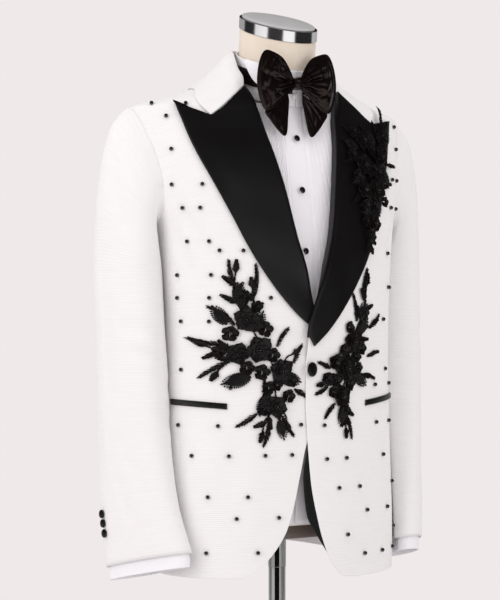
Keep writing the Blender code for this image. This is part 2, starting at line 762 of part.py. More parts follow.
def lapel_grid(side, table, edge_table):
    """x and z over a lapel, from its outer edge (first column) to its fold."""
    def left(v):
        x, z, _, _ = lapel_columns(table, edge_table, v)
        return x, z

    def right(v):
        _, _, x, z = lapel_columns(table, edge_table, v)
        return x, z

    def bottom(u):
        x0, z0 = left(0.0)
        x1, z1 = right(0.0)
        return x0 + (x1 - x0) * u, z0 + (z1 - z0) * u

    def top(u):
        return gorge_line(side, u)
    return patch(left, right, bottom, top, LAPEL_ROWS, LAPEL_COLS)


def build_lapel(name, side, table, edge_table):
    grid = lapel_grid(side, table, edge_table)
    x = grid[..., 0]
    z = grid[..., 1]
    share = np.linspace(0, 1, LAPEL_COLS)[None, :] + 0 * x
    full = blend((z - FLAT_BELOW) / FLAT_SPAN)
    rise = ON_PANEL + SATIN + ROLL_LIFT * full * share**3 + 0.0016 * blend((z - 1.43) / 0.03)
    outer = jacket_point(side, x, z, rise)
    inner = jacket_point(side, x, z, rise - SATIN)
    # the fold: a quarter turn past the edge of the front, then in behind it
    fold_x = x[:, -1]
    fold_z = z[:, -1]
    base = jacket_point(side, fold_x, fold_z, 0.0)
    angle = JACKET.front_angle(fold_x, fold_z)
    n = JACKET.normal(angle, fold_z)
    along = np.gradient(base, axis=0)
    t = np.cross(along, n)
    t = t / np.linalg.norm(t, axis=-1, keepdims=True)
    t = t * (-side * np.sign(t[:, :1]))
    full = full[:, -1:]
    ease = 1 - 0.45 * blend((np.linspace(0, 1, LAPEL_ROWS) - 0.86) / 0.14)[:, None]
    turn = ((0.0034, 0.0042, 0.0030, 0.0012, 0.0016, 0.0004),
            (0.0044, 0.0010, 0.0018, 0.0022, -0.0008, 0.0003),
            (0.0046, -TURN_DEPTH, 0.0008, 0.0022, -TURN_DEPTH, 0.0001))
    for out_t, out_n, flat_n, in_t, in_n, flat_in in turn:
        high = full * out_n + (1 - full) * flat_n
        low = full * in_n + (1 - full) * flat_in
        outer = np.concatenate([outer, (base + t * out_t * ease + n * high)[:, None]], axis=1)
        inner = np.concatenate([inner, (base + t * in_t * ease + n * low)[:, None]], axis=1)
    return wall(name, outer, inner, satin)


# The collar, from its end at the right notch round the back of the neck.  Rows
# of half the collar: the fold (top), the outer edge on the jacket and the foot
# of the stand, by the share of the way from the front end to the centre back.
COLLAR_COLUMNS = ("share", "fold_x", "fold_y", "fold_z", "edge_angle", "edge_z",
                  "foot_x", "foot_y", "foot_z")
COLLAR_SECTIONS = (
    (0.00, 0.0770, -0.0420, 1.5030, 38.5, 1.4575, 0.0735, -0.0400, 1.4970),
    (0.10, 0.0798, -0.0315, 1.5125, 42.0, 1.4690, 0.0760, -0.0290, 1.5015),
    (0.20, 0.0805, -0.0200, 1.5220, 52.0, 1.4800, 0.0780, -0.0170, 1.5060),
    (0.42, 0.0700, 0.0180, 1.5470, 82.0, 1.4970, 0.0850, 0.0230, 1.5150),
    (0.62, 0.0555, 0.0460, 1.5550, 117.0, 1.4990, 0.0665, 0.0550, 1.5240),
    (0.80, 0.0325, 0.0665, 1.5590, 146.0, 1.5060, 0.0390, 0.0720, 1.5290),
    (1.00, 0.0000, 0.0745, 1.5610, 180.0, 1.5130, 0.0000, 0.0775, 1.5310),
)
COLLAR_OFF = 0.0037      # the collar's edge stands this far off the jacket
COLLAR_ROUND = 19
COLLAR_CLOTH = 0.0022
GORGE_SEAM = 0.0030      # the collar's ends stand this far from the lapels' tops


def collar_lines(count):
    """Points of the fold, the outer edge and the stand's foot, right end to left."""
    s = np.linspace(-1, 1, count)
    share = 1 - np.abs(s)
    side = np.sign(s)
    cols = {name: curve_through(COLLAR_SECTIONS, i)(share)
            for i, name in enumerate(COLLAR_COLUMNS) if i}
    fold = np.stack([side * cols["fold_x"], cols["fold_y"], cols["fold_z"]], axis=-1)
    foot = np.stack([side * cols["foot_x"], cols["foot_y"], cols["foot_z"]], axis=-1)
    angle = np.radians(np.where(side == 0, 1.0, side) * cols["edge_angle"])
    edge = JACKET.out(angle, cols["edge_z"], np.full(count, COLLAR_OFF))
    return fold, edge, foot


def gorge_row(side, share, out):
    """A point of the collar's end: along the gorge, just above the lapel."""
    x = np.interp(share, (0.0, 1.0), (GORGE_TOP[0], NOTCH[0]))
    z = np.interp(share, (0.0, 1.0), (GORGE_TOP[1], NOTCH[1]))
    slope = math.atan2(NOTCH[0] - GORGE_TOP[0], GORGE_TOP[1] - NOTCH[1])
    seam = GORGE_SEAM * (1.8 - 0.8 * share)
    return jacket_point(side, side * (x + seam * math.cos(slope)), z + seam * math.sin(slope), out)


def build_collar():
    fold, edge, foot = collar_lines(COLLAR_ROUND)
    for end, side in ((0, -1), (-1, 1)):
        fold[end] = gorge_row(side, 0.0, 0.0045)
        edge[end] = gorge_row(side, 1.0, 0.0045)
    across = edge - fold
    along = np.gradient(fold + edge, axis=0)
    swell = np.cross(across, along)
    swell = swell / np.linalg.norm(swell, axis=-1, keepdims=True)
    swell = swell * np.sign(swell[:, 2:3])
    away = across * np.array([1.0, 1.0, 0.0])
    away = away / np.linalg.norm(away, axis=-1, keepdims=True)
    up = np.array([0.0, 0.0, 1.0])
    outer = [edge,
             fold + across * 0.66 + swell * 0.0018,
             fold + across * 0.33 + swell * 0.0026,
             fold + across * 0.10 + swell * 0.0026,
             fold - away * 0.0030 + up * 0.0015,
             fold - away * 0.0055 - up * 0.0030,
             foot]
    inner = [edge - swell * COLLAR_CLOTH,
             fold + across * 0.66 - swell * 0.0004,
             fold + across * 0.33 + swell * 0.0004,
             fold + across * 0.12 + swell * 0.0000,
             fold - away * 0.0002 - up * 0.0022,
             fold - away * 0.0030 - up * 0.0042,
             foot + away * COLLAR_CLOTH]
    outer = np.stack(outer, axis=1)
    inner = np.stack(inner, axis=1)
    for end in (0, -1):
        # at the gorge the collar is flat: it runs straight on past its fold
        straight = -across[end] / np.linalg.norm(across[end])
        for row, past in ((4, 0.0012), (5, 0.0024), (6, 0.0036)):
            outer[end, row] = fold[end] + straight * past
            inner[end, row] = fold[end] + straight * past - swell[end] * 0.0018
        side = -1 if end == 0 else 1
        for row, share in ((0, 1.0), (1, 0.66), (2, 0.33), (3, 0.10)):
            outer[end, row] = gorge_row(side, share, 0.0045)
            inner[end, row] = gorge_row(side, share, 0.0023)
    return wall("jacket_collar", outer, inner, white_cloth)


# ---------------------------------------------------------------- floral appliques
# Each applique is cut from one piece: stems, leaves and flowers overlap, so
# that their shapes join to one outline.  All places are x and z in metres.
STEM_COLUMNS = ("x0", "z0", "x1", "z1", "bend", "leaves", "leaf_length")
FLOWER_COLUMNS = ("x", "z", "radius", "turn")
APPLIQUES = (
    ("applique_waist_right", -1, 0.0, (
        (-0.106, 1.164, -0.119, 1.232, 0.010, 5, 0.029),
        (-0.100, 1.168, -0.098, 1.211, -0.003, 3, 0.024),
        (-0.118, 1.120, -0.152, 1.129, 0.005, 3, 0.028),
        (-0.118, 1.112, -0.140, 1.092, -0.004, 2, 0.024),
        (-0.106, 1.164, -0.062, 1.044, 0.014, 2, 0.030),
        (-0.058, 1.098, -0.038, 1.118, 0.003, 2, 0.020),
        (-0.062, 1.044, -0.083, 1.008, -0.005, 4, 0.026),
        (-0.060, 1.046, -0.047, 1.020, 0.003, 2, 0.022),
    ), (
        (-0.106, 1.166, 0.0185, 10.0), (-0.088, 1.124, 0.0205, 40.0), (-0.1165, 1.118, 0.0165, 0.0),
        (-0.056, 1.094, 0.0175, 25.0), (-0.063, 1.044, 0.0165, 55.0),
    )),
    ("applique_waist_left", 1, 0.0, (
        (0.058, 1.136, 0.092, 1.215, -0.009, 5, 0.028),
        (0.066, 1.128, 0.102, 1.158, 0.005, 3, 0.026),
        (0.054, 1.136, 0.040, 1.058, 0.010, 2, 0.026),
        (0.056, 1.094, 0.088, 1.084, -0.004, 2, 0.022),
        (0.040, 1.056, 0.050, 1.009, 0.006, 4, 0.024),
        (0.045, 1.086, 0.010, 1.074, 0.004, 2, 0.022),
    ), (
        (0.062, 1.134, 0.0180, 24.0), (0.050, 1.096, 0.0205, 50.0), (0.030, 1.105, 0.0130, 5.0),
        (0.042, 1.056, 0.0170, 30.0),
    )),
    ("applique_lapel_left", 1, 0.0064, (
        (0.134, 1.404, 0.156, 1.446, 0.004, 3, 0.022),
        (0.132, 1.400, 0.104, 1.302, -0.008, 3, 0.026),
        (0.132, 1.404, 0.094, 1.432, 0.004, 2, 0.022),
        (0.104, 1.300, 0.098, 1.270, -0.003, 3, 0.020),
    ), (
        (0.134, 1.402, 0.0180, 20.0), (0.116, 1.352, 0.0175, 50.0), (0.106, 1.304, 0.0140, 0.0),
        (0.104, 1.424, 0.0150, 40.0),
    )),
)
STEM_HALF = 0.0016
LEAF_HALF = 0.0060
APPLIQUE_BASE = 0.0020       # thickness at the rim
FLOWER_RISE = 0.0042
PETALS = 5
CUT_TOLERANCE = 0.0002


def stem_shapes(x0, z0, x1, z1, bend, leaves, leaf_length):
    """Outlines of a bent stem and of its leaves, by turns and one at the tip."""
    share = np.linspace(0, 1, 3)
    run = np.array([x1 - x0, z1 - z0])
    length = np.linalg.norm(run)
    run = run / length
    across = np.array([-run[1], run[0]])
    path = (np.array([x0, z0]) + run * (length * share)[:, None]
            + across * (bend * 4 * share * (1 - share))[:, None])
    ahead = np.gradient(path, axis=0)
    ahead = ahead / np.linalg.norm(ahead, axis=1, keepdims=True)
    beside = np.stack([-ahead[:, 1], ahead[:, 0]], axis=1)
    width = STEM_HALF * (1 - 0.35 * share)[:, None]
    shapes = [np.concatenate([path - beside * width, (path + beside * width)[::-1]])]
    for i in range(leaves):
        at = 1.0 if i == leaves - 1 else 0.22 + 0.70 * i / max(leaves - 1, 1)
        turn = 0.0 if i == leaves - 1 else math.radians(46) * (1 if i % 2 else -1)
        root = np.array([np.interp(at, share, path[:, 0]), np.interp(at, share, path[:, 1])])
        lead = np.array([np.interp(at, share, ahead[:, 0]), np.interp(at, share, ahead[:, 1])])
        way = np.array([lead[0] * math.cos(turn) - lead[1] * math.sin(turn),
                        lead[0] * math.sin(turn) + lead[1] * math.cos(turn)])
        wide = np.array([-way[1], way[0]])
        root = root - way * 0.0030
        size = leaf_length * (1.0 - 0.25 * at)
        shapes.append(np.array([root, root + way * size * 0.45 - wide * LEAF_HALF,
                                root + way * size, root + way * size * 0.45 + wide * LEAF_HALF]))
    return shapes


def flower_shape(x, z, radius, turn):
    """Outline of a flower: its petals' tips and the notches between them."""
    a = np.radians(turn) + np.linspace(0, 2 * math.pi, 2 * PETALS, endpoint=False)
    reach = np.where(np.arange(2 * PETALS) % 2 == 0, radius, radius * 0.72)
    return np.stack([x + reach * np.cos(a), z + reach * np.sin(a)], axis=1)


def build_applique(name, side, lift, stems, flowers):
    """Cut all outlines from one sheet, then raise the flowers."""
    outlines = [shape for row in stems for shape in stem_shapes(*row)]
    outlines += [flower_shape(*row) for row in flowers]
    points = []
    faces = []
    for outline in outlines:
        faces.append(list(range(len(points), len(points) + len(outline))))
        points += list(outline)
    points += [row[:2] for row in flowers]
    # a triangle that lies in none of the outlines has no source face
    found, _, cut, _, _, sources = delaunay_2d_cdt([Vector(map(float, q)) for q in points], [], faces, 0,
                                                   CUT_TOLERANCE, True)
    xz = np.array([tuple(q) for q in found])
    triangles = [tuple(t) for t, source in zip(cut, sources) if len(source)]
    rise = np.zeros(len(xz))
    for x, z, radius, _ in flowers:
        off = np.hypot(xz[:, 0] - x, xz[:, 1] - z)
        rise = np.maximum(rise, FLOWER_RISE * (1 - (off / radius)**2))
    lower = jacket_point(side, xz[:, 0], xz[:, 1], ON_PANEL + lift + 0 * rise)
    upper = jacket_point(side, xz[:, 0], xz[:, 1], ON_PANEL + lift + APPLIQUE_BASE + rise)
    count = len(xz)
    solid = [t for t in triangles] + [tuple(count + i for i in reversed(t)) for t in triangles]
    edges = {}
    for t in triangles:
        for a, b in ((t[0], t[1]), (t[1], t[2]), (t[2], t[0])):
            edges[(a, b)] = True
    for a, b in edges:
        if (b, a) not in edges:
            solid.append((b, a, count + a, count + b))
    used = sorted({i for face in solid for i in face})
    place = {old: new for new, old in enumerate(used)}
    verts = np.concatenate([upper, lower])[used]
    return add_object(name, verts, [tuple(place[i] for i in face) for face in solid], black_trim)


def build_appliques():
    for row in APPLIQUES:
        build_applique(*row)


# ---------------------------------------------------------------- pockets and buttons
WELT_HEIGHT = 0.0085
WELT_THICKNESS = 0.0016
WELTS = (("jacket_welt_right", -1, 0.129, 0.1808, 1.040, 1.045),
         ("jacket_welt_left", 1, 0.090, 0.165, 1.040, 1.047))


def build_welt(name, side, near_x, far_x, near_z, far_z):
    """A pocket welt: a thin bar on the front, higher towards the side."""
    share = np.linspace(0, 1, 9)
    # the bar bends more towards the side, so its columns lie closer there
    share = 1 - (1 - share) ** 2
    x = side * (near_x + (far_x - near_x) * share)
    low = near_z + (far_z - near_z) * share
    xs = np.stack([x, x, x])
    zs = np.stack([low, low + WELT_HEIGHT / 2, low + WELT_HEIGHT])
    bulge = np.array([[0.0], [0.0006], [0.0]])
    outer = jacket_point(side, xs, zs, ON_PANEL + WELT_THICKNESS + bulge + 0 * xs)
    inner = jacket_point(side, xs, zs, ON_PANEL + 0 * xs)
    return wall(name, outer, inner, satin)


def disc_on(name, centre, normal, radius, profile, make_material, count=14):
    """A round button on a surface: rings of (share of radius, height) rows."""
    normal = np.asarray(normal, float) / np.linalg.norm(normal)
    side = np.cross(normal, (0.0, 0.0, 1.0))
    side = side / np.linalg.norm(side)
    rise = np.cross(side, normal)
    a = np.linspace(0, 2 * math.pi, count, endpoint=False)[:, None]
    rings = [np.asarray(centre) + normal * h + (side * np.cos(a) + rise * np.sin(a)) * radius * share
             for share, h in profile]
    return loft(name, rings, make_material)


COVERED_BUTTON = ((0.70, 0.0006), (1.0, 0.0024), (0.88, 0.0046), (0.42, 0.0060))
FRONT_BUTTON_RADIUS = 0.0105
FRONT_BUTTON_X = -0.0110
CUFF_BUTTON_RADIUS = 0.0062


def build_front_button():
    centre = jacket_point(1, FRONT_BUTTON_X, BUTTON_Z, ON_PANEL)
    normal = np.array([0.06, -1.0, 0.0])
    return disc_on("jacket_front_button", centre, normal, FRONT_BUTTON_RADIUS, COVERED_BUTTON, satin)


CUFF_BUTTON_Z = (0.889, 0.876, 0.862)
CUFF_BUTTON_ANGLE = math.radians(-44)     # on the outer back of the sleeve


def build_cuff_buttons():
    for side, side_name in ((-1, "right"), (1, "left")):
        for i, z in enumerate(CUFF_BUTTON_Z):
            place = arm_oval(np.full(3, z), CUFF_BUTTON_ANGLE + np.array([-0.02, 0.0, 0.02]))
            away = np.cross(place[2] - place[0], (0.0, 0.0, 1.0))
            away = away / np.linalg.norm(away)
            away = away * np.sign(np.dot(away, (1.0, 0.0, 0.0)))
            centre = place[1] + away * 0.0006
            disc_on(f"cuff_button_{side_name}_{i + 1}", mirrored(centre, side), mirrored(away, side),
                    CUFF_BUTTON_RADIUS, COVERED_BUTTON, satin, count=10)


# ---------------------------------------------------------------- the shirt
SHIRT_ROWS = 15
SHIRT_COLS = 5
SHIRT_SIDE_SPANS = 8             # of a front's spans, those below the arm
SHIRT_NECK_SPANS = 3             # and those whose inner end is on the neckline
SHIRT_BACK_ROWS = 7
YOKE_ROWS = 6
YOKE_Z = 1.3960
SHIRT_ARM_Z = 1.270
SHIRT_ARM_OPENING = math.radians(20)     # cut into the fronts only
SHIRT_SHOULDER_GAP = 0.0008
SHIRT_NECK_Z = 1.4985
SHIRT_NECK_BACK_Z = 1.505
SHIRT_SHOULDER_Z = 1.4500
SHIRT_FRONT_NECK_Z = 1.474


def shirt_ridge(z):
    """The angle of a front's edge at the side and shoulder seams, by height."""
    return math.pi / 2 - SHIRT_SHOULDER_GAP / SHIRT.sizes(z)[0] * 1.5


def shirt_wall(name, grid):
    level = np.zeros(grid.shape[:2])
    outer = SHIRT.out(grid[..., 0], grid[..., 1], level)
    inner = SHIRT.out(grid[..., 0], grid[..., 1], level - SHIRT_CLOTH)
    return wall(name, outer, inner, shirt_cloth)


def build_shirt_front(name, side):
    """A shirt front: its inner edge is the centre line, then the neckline."""
    spans = SHIRT_ROWS - 1
    share = SHIRT_SIDE_SPANS / spans
    neck_share = 1 - SHIRT_NECK_SPANS / spans

    def right(v):
        z = np.interp(v, (0.0, share, 1.0), (SHIRT_HEM_Z, SHIRT_ARM_Z, SHIRT_SHOULDER_Z))
        t = np.clip((z - SHIRT_ARM_Z) / (SHIRT_SHOULDER_Z - SHIRT_ARM_Z), 0, 1)
        return side * (shirt_ridge(z) - SHIRT_ARM_OPENING * np.sin(math.pi * t)), z

    def left(v):
        z = np.interp(v, (0.0, share, neck_share), (SHIRT_HEM_Z, 1.29, SHIRT_FRONT_NECK_Z))
        centre = SHIRT.front_angle(CENTRE_X + side * SEAM / 2 + 0 * z, z)
        around = np.clip((v - neck_share) / (1 - neck_share), 0, 1)
        z = z + (SHIRT_NECK_Z - SHIRT_FRONT_NECK_Z) * around**2
        return centre + (side * shirt_ridge(SHIRT_NECK_Z) - centre) * around, z
    a0 = float(left(0.0)[0])
    a1 = float(right(0.0)[0])

    def bottom(u):
        return a0 + (a1 - a0) * u, SHIRT_HEM_Z + 0 * u

    def top(u):
        z = SHIRT_NECK_Z + (SHIRT_SHOULDER_Z - SHIRT_NECK_Z) * u
        return side * shirt_ridge(z), z
    return shirt_wall(name, patch(left, right, bottom, top, SHIRT_ROWS, SHIRT_COLS))


def build_shirt_back():
    """The back, up to the yoke; the yoke is cut in two halves."""
    ridge = shirt_ridge(np.array(YOKE_Z))
    angle = math.pi + np.linspace(-1, 1, 2 * SHIRT_COLS - 1)[None, :] * ridge
    z = np.linspace(SHIRT_HEM_Z, YOKE_Z - SEAM, SHIRT_BACK_ROWS)[:, None]
    shirt_wall("shirt_back", np.stack(np.broadcast_arrays(angle, z), axis=-1))
    for side, side_name in ((-1, "right"), (1, "left")):
        shirt_wall(f"shirt_yoke_{side_name}", yoke_grid(side))


def yoke_grid(side):
    """Half of the yoke: its inner edge is the centre seam, then the neckline."""
    centre = math.pi - SEAM / 2 / 0.1
    neck_share = 1 - SHIRT_NECK_SPANS / (YOKE_ROWS - 1)

    def behind(z):
        return math.pi - shirt_ridge(z)

    def left(v):
        around = np.clip((v - neck_share) / (1 - neck_share), 0, 1)
        z = np.interp(v, (0.0, neck_share), (YOKE_Z + SEAM, SHIRT_NECK_BACK_Z))
        z = z + (SHIRT_NECK_Z - SHIRT_NECK_BACK_Z) * around**2
        return side * (centre + (behind(SHIRT_NECK_Z) - centre) * around), z

    def right(v):
        z = YOKE_Z + SEAM + (SHIRT_SHOULDER_Z - YOKE_Z - SEAM) * v
        return side * behind(z), z

    def bottom(u):
        return side * (centre + (behind(YOKE_Z) - centre) * u), YOKE_Z + SEAM + 0 * u

    def top(u):
        z = SHIRT_NECK_Z + (SHIRT_SHOULDER_Z - SHIRT_NECK_Z) * u
        return side * behind(z), z
    return patch(left, right, bottom, top, YOKE_ROWS, SHIRT_COLS)


def shirt_point(x, z, out):
    angle = SHIRT.front_angle(np.asarray(x, float), np.asarray(z, float))
    return SHIRT.out(angle, z, out)


# The bib: upright pleats on each side of the placket, each a shallow ramp.
PLEATS = 8
PLEAT_WIDTH = 0.0072
PLEAT_RISE = 0.0013
BIB_THICKNESS = 0.0010
BIB_CLEARANCE = 0.0017
BIB_START = 0.0185       # from the centre line to the first pleat
BIB_LOW_Z = 1.130
BIB_HIGH_Z = 1.420
BIB_ROWS = 6


def build_bib(name, side):
    steps = np.repeat(np.arange(PLEATS + 1), 2)[:-1].astype(float)
    steps[1::2] += 0.88
    offset = BIB_START + PLEAT_WIDTH * steps
    rise = np.where(np.arange(len(steps)) % 2 == 1, PLEAT_RISE, 0.0002)
    x = CENTRE_X + side * offset[None, :] + np.zeros((BIB_ROWS, 1))
    z = np.linspace(BIB_LOW_Z, BIB_HIGH_Z, BIB_ROWS)[:, None] + 0 * x
    base = BIB_CLEARANCE + BIB_THICKNESS
    outer = shirt_point(x, z, base + rise[None, :] + 0 * z)
    inner = shirt_point(x, z, BIB_CLEARANCE + 0 * z)
    return wall(name, outer, inner, shirt_cloth)


PLACKET_HALF = 0.0175
PLACKET_HIGH_Z = 1.473
STUDS = (1.423, 1.349, 1.262)
STUD_PROFILE = ((1.0, 0.0), (1.0, 0.0012), (0.82, 0.0018), (0.80, 0.0026), (0.45, 0.0034))
STUD_RADIUS = 0.0048


def build_placket():
    rows = 10
    z = np.linspace(SHIRT_HEM_Z + 0.002, PLACKET_HIGH_Z, rows)[:, None]
    x = CENTRE_X + np.linspace(-1, 1, 4)[None, :] * PLACKET_HALF + 0 * z
    z = z + 0 * x
    off = ON_PANEL + 0.0016 * blend((z - 1.40) / 0.03)
    outer = shirt_point(x, z, off + 0.0022)
    inner = shirt_point(x, z, off)
    wall("shirt_placket", outer, inner, shirt_cloth)
    for i, height in enumerate(STUDS):
        angle = SHIRT.front_angle(np.array(CENTRE_X), np.array(height))
        normal = SHIRT.normal(angle, np.array(height))
        centre = shirt_point(CENTRE_X, height, 2 * ON_PANEL + 0.0022 + 0.0008)
        disc_on(f"shirt_stud_{i + 1}", centre, normal, STUD_RADIUS, STUD_PROFILE, black_trim, count=8)


# Rings about the neck: the middle leans forward as it rises.
NECK_RADIUS = 0.0560
NECK_LOW = (0.006, 1.490)        # y and z of the neck's axis low down
NECK_HIGH = (-0.003, 1.590)
NECK_TILT = 0.36                 # fall towards the front, metre per metre


def neck_middle(z):
    share = (z - NECK_LOW[1]) / (NECK_HIGH[1] - NECK_LOW[1])
    return NECK_LOW[0] + (NECK_HIGH[0] - NECK_LOW[0]) * share


def neck_band(name, radius, low, high, back_rise, thickness, gap, make_material, count=22):
    """An open band round the neck, with its two ends gap apart at the front;
    back_rise is how much higher its lower and upper edges stand at the back."""
    a = np.linspace(gap, 2 * math.pi - gap, count)
    rise = (1 - np.cos(a)) / 2
    rows = []
    for part_radius in (radius, radius - thickness):
        grid = []
        for z0, dz in ((low, back_rise[0]), (high, back_rise[1])):
            z = z0 + dz * rise
            y_mid = neck_middle(z)
            grid.append(np.stack([part_radius * np.sin(a),
                                  y_mid - part_radius * np.cos(a), z], axis=-1))
        rows.append(np.stack(grid))
    return wall(name, rows[0], rows[1], make_material)


SHIRT_BAND_RADIUS = 0.0605
COLLAR_BUTTON_Z = 1.4860
WING_START = {-1: 16.0, 1: 9.0}  # degrees from the front centre to each wing's tip
COLLAR_BUTTON = ((0.8, 0.0), (1.0, 0.0006), (0.9, 0.0016), (0.4, 0.0018))


def build_shirt_collar():
    neck_band("shirt_collar_band", SHIRT_BAND_RADIUS, 1.4755, 1.5180, (0.039, 0.044), 0.0018, 0.02, shirt_cloth)
    # the wings: small folded triangles at the front of the band's upper edge
    for side, side_name in ((-1, "right"), (1, "left")):
        angles = np.radians((WING_START[side], 26.0, 37.0, 48.0, 60.0, 74.0))
        radius = 0.0655
        tops = 1.5200 + 0.044 * (1 - np.cos(angles)) / 2
        drops = np.array((0.026, 0.026, 0.0255, 0.025, 0.0234, 0.004))
        outer = []
        inner = []
        for drop in (1.0, 0.5, 0.0):
            z = tops - drops * drop
            out_r = radius + 0.0045 * drop
            mid = neck_middle(z)
            outer.append(np.stack([side * out_r * np.sin(angles),
                                   mid - out_r * np.cos(angles), z], axis=-1))
            in_r = out_r - 0.0012
            inner.append(np.stack([side * in_r * np.sin(angles),
                                   mid - in_r * np.cos(angles), z], axis=-1))
        wall(f"shirt_collar_wing_{side_name}", np.array(outer), np.array(inner), shirt_cloth)
    front = neck_middle(COLLAR_BUTTON_Z) - SHIRT_BAND_RADIUS
    disc_on("shirt_collar_button", (CENTRE_X / 2, front - ON_PANEL / 2, COLLAR_BUTTON_Z), (0.0, -1.0, 0.0),
            STUD_RADIUS, COLLAR_BUTTON, shirt_cloth, count=10)


CUFF_LOW_DROP = 0.0185
CUFF_HEIGHT = 0.075
CUFF_INSET = 0.0050


def build_cuff(name, side):
    """A shirt cuff: a band just inside the sleeve, showing below its hem."""
    angle = np.linspace(0, 2 * math.pi, SLEEVE_ROUND, endpoint=False)
    rings = []
    for share in (0.0, 1.0):
        level = np.full(SLEEVE_ROUND, SLEEVE_HEM_Z - CUFF_LOW_DROP + CUFF_HEIGHT * share)
        held = np.maximum(level, ARM_SECTIONS[0][0])
        ring = arm_oval(held, angle, CUFF_INSET)
        middle_y = curve_through(ARM_SECTIONS, 2)(held)
        ring[..., 2] = level - SLEEVE_HEM_FALL * (ring[..., 1] - middle_y)
        rings.append(ring)
    outer = JACKET.hold_outside(np.array(rings), SLEEVE_CLEARANCE + CUFF_INSET)
    inner = wall_inside(outer, 0.0016)
    return wall(name, mirrored(outer, side), mirrored(inner, side), shirt_cloth, around=True)


# ---------------------------------------------------------------- the bow tie
KNOT = (-0.0085, -0.0660, 1.5030)
BOW_COLUMNS = ("dx", "dz")
# Outlines from the knot outwards and round, for the wearer's right side.
WING_OUTLINE = (
    (-0.0075, 0.0090), (-0.0130, 0.0220), (-0.0240, 0.0365), (-0.0400, 0.0440),
    (-0.0520, 0.0450), (-0.0600, 0.0340), (-0.0650, 0.0150), (-0.0660, -0.0060),
    (-0.0620, -0.0250), (-0.0540, -0.0400), (-0.0420, -0.0380), (-0.0280, -0.0280),
    (-0.0170, -0.0170), (-0.0075, -0.0090),
)
TAIL_OUTLINE = (
    (-0.0130, -0.0150), (-0.0260, -0.0230), (-0.0400, -0.0330), (-0.0520, -0.0420),
    (-0.0430, -0.0560), (-0.0330, -0.0680), (-0.0230, -0.0760), (-0.0180, -0.0690),
    (-0.0150, -0.0500), (-0.0120, -0.0310),
)
WING_PUFF = 0.0125
TAIL_PUFF = 0.0035


def bow_piece(name, side, outline, puff, depth, hub, lean, rings=4):
    """A soft folded piece: its outline shrunk towards a hub in steps, puffed
    out in front and behind, with shallow folds that fan out from the knot.
    lean is how far it comes forward, for each metre down."""
    edge = np.asarray(outline, float)
    hub = np.asarray(hub, float)
    fan = np.arctan2(edge[:, 1], -edge[:, 0])
    front = []
    back = []
    for k in range(rings):
        share = 1 - k / rings
        flat = hub + (edge - hub) * share
        swell = puff * (1 - share**2) ** 0.5
        folds = 0.0022 * np.sin(fan * 7.0) * (1 - share) * share * 4 * (puff / WING_PUFF)
        x = KNOT[0] - side * flat[:, 0]
        y = KNOT[1] + depth + lean * flat[:, 1]
        z = KNOT[2] + flat[:, 1]
        front.append(np.stack([x, y - swell - folds, z], axis=-1))
        back.append(np.stack([x, y + swell * 0.55, z], axis=-1))
    rings_all = list(reversed(front))[:-1] + [front[0]] + back[1:]
    return loft(name, rings_all, satin, smooth_angle=60.0)


def build_bow():
    for side, side_name in ((-1, "right"), (1, "left")):
        bow_piece(f"bow_wing_{side_name}", side, WING_OUTLINE, WING_PUFF, -0.004, (-0.040, 0.003), 0.03)
        bow_piece(f"bow_tail_{side_name}", side, TAIL_OUTLINE, TAIL_PUFF, 0.0055, (-0.027, -0.047), 0.14, 3)
    rings = []
    for share, half_x, half_z in ((0.0, 0.0050, 0.0080), (0.15, 0.0072, 0.0105), (0.6, 0.0075, 0.0110),
                                  (0.9, 0.0060, 0.0092), (1.0, 0.0030, 0.0060)):
        a = np.linspace(0, 2 * math.pi, 12, endpoint=False)
        y = KNOT[1] + 0.0040 - 0.0200 * share
        rings.append(np.stack([KNOT[0] + half_x * np.cos(a), y + 0 * a, KNOT[2] + half_z * np.sin(a)], axis=-1))
    loft("bow_knot", rings, satin)
    neck_band("bow_band", 0.0645, 1.4890, 1.5110, (0.046, 0.046), 0.0018, 0.13, satin)


# ---------------------------------------------------------------- form and stand
FORM_LOW_Z = 0.8703
BAND_LOW_Z = 0.8515
TUBE_RADIUS = 0.0131
POLE_RADIUS = 0.0125
LIP_Z = 0.802
BASE_RADIUS = 0.190
BASE_THICKNESS = 0.012


def section_ring(surface, z, count):
    angle = np.linspace(0, 2 * math.pi, count, endpoint=False)
    return surface.at(angle, np.full(count, z))


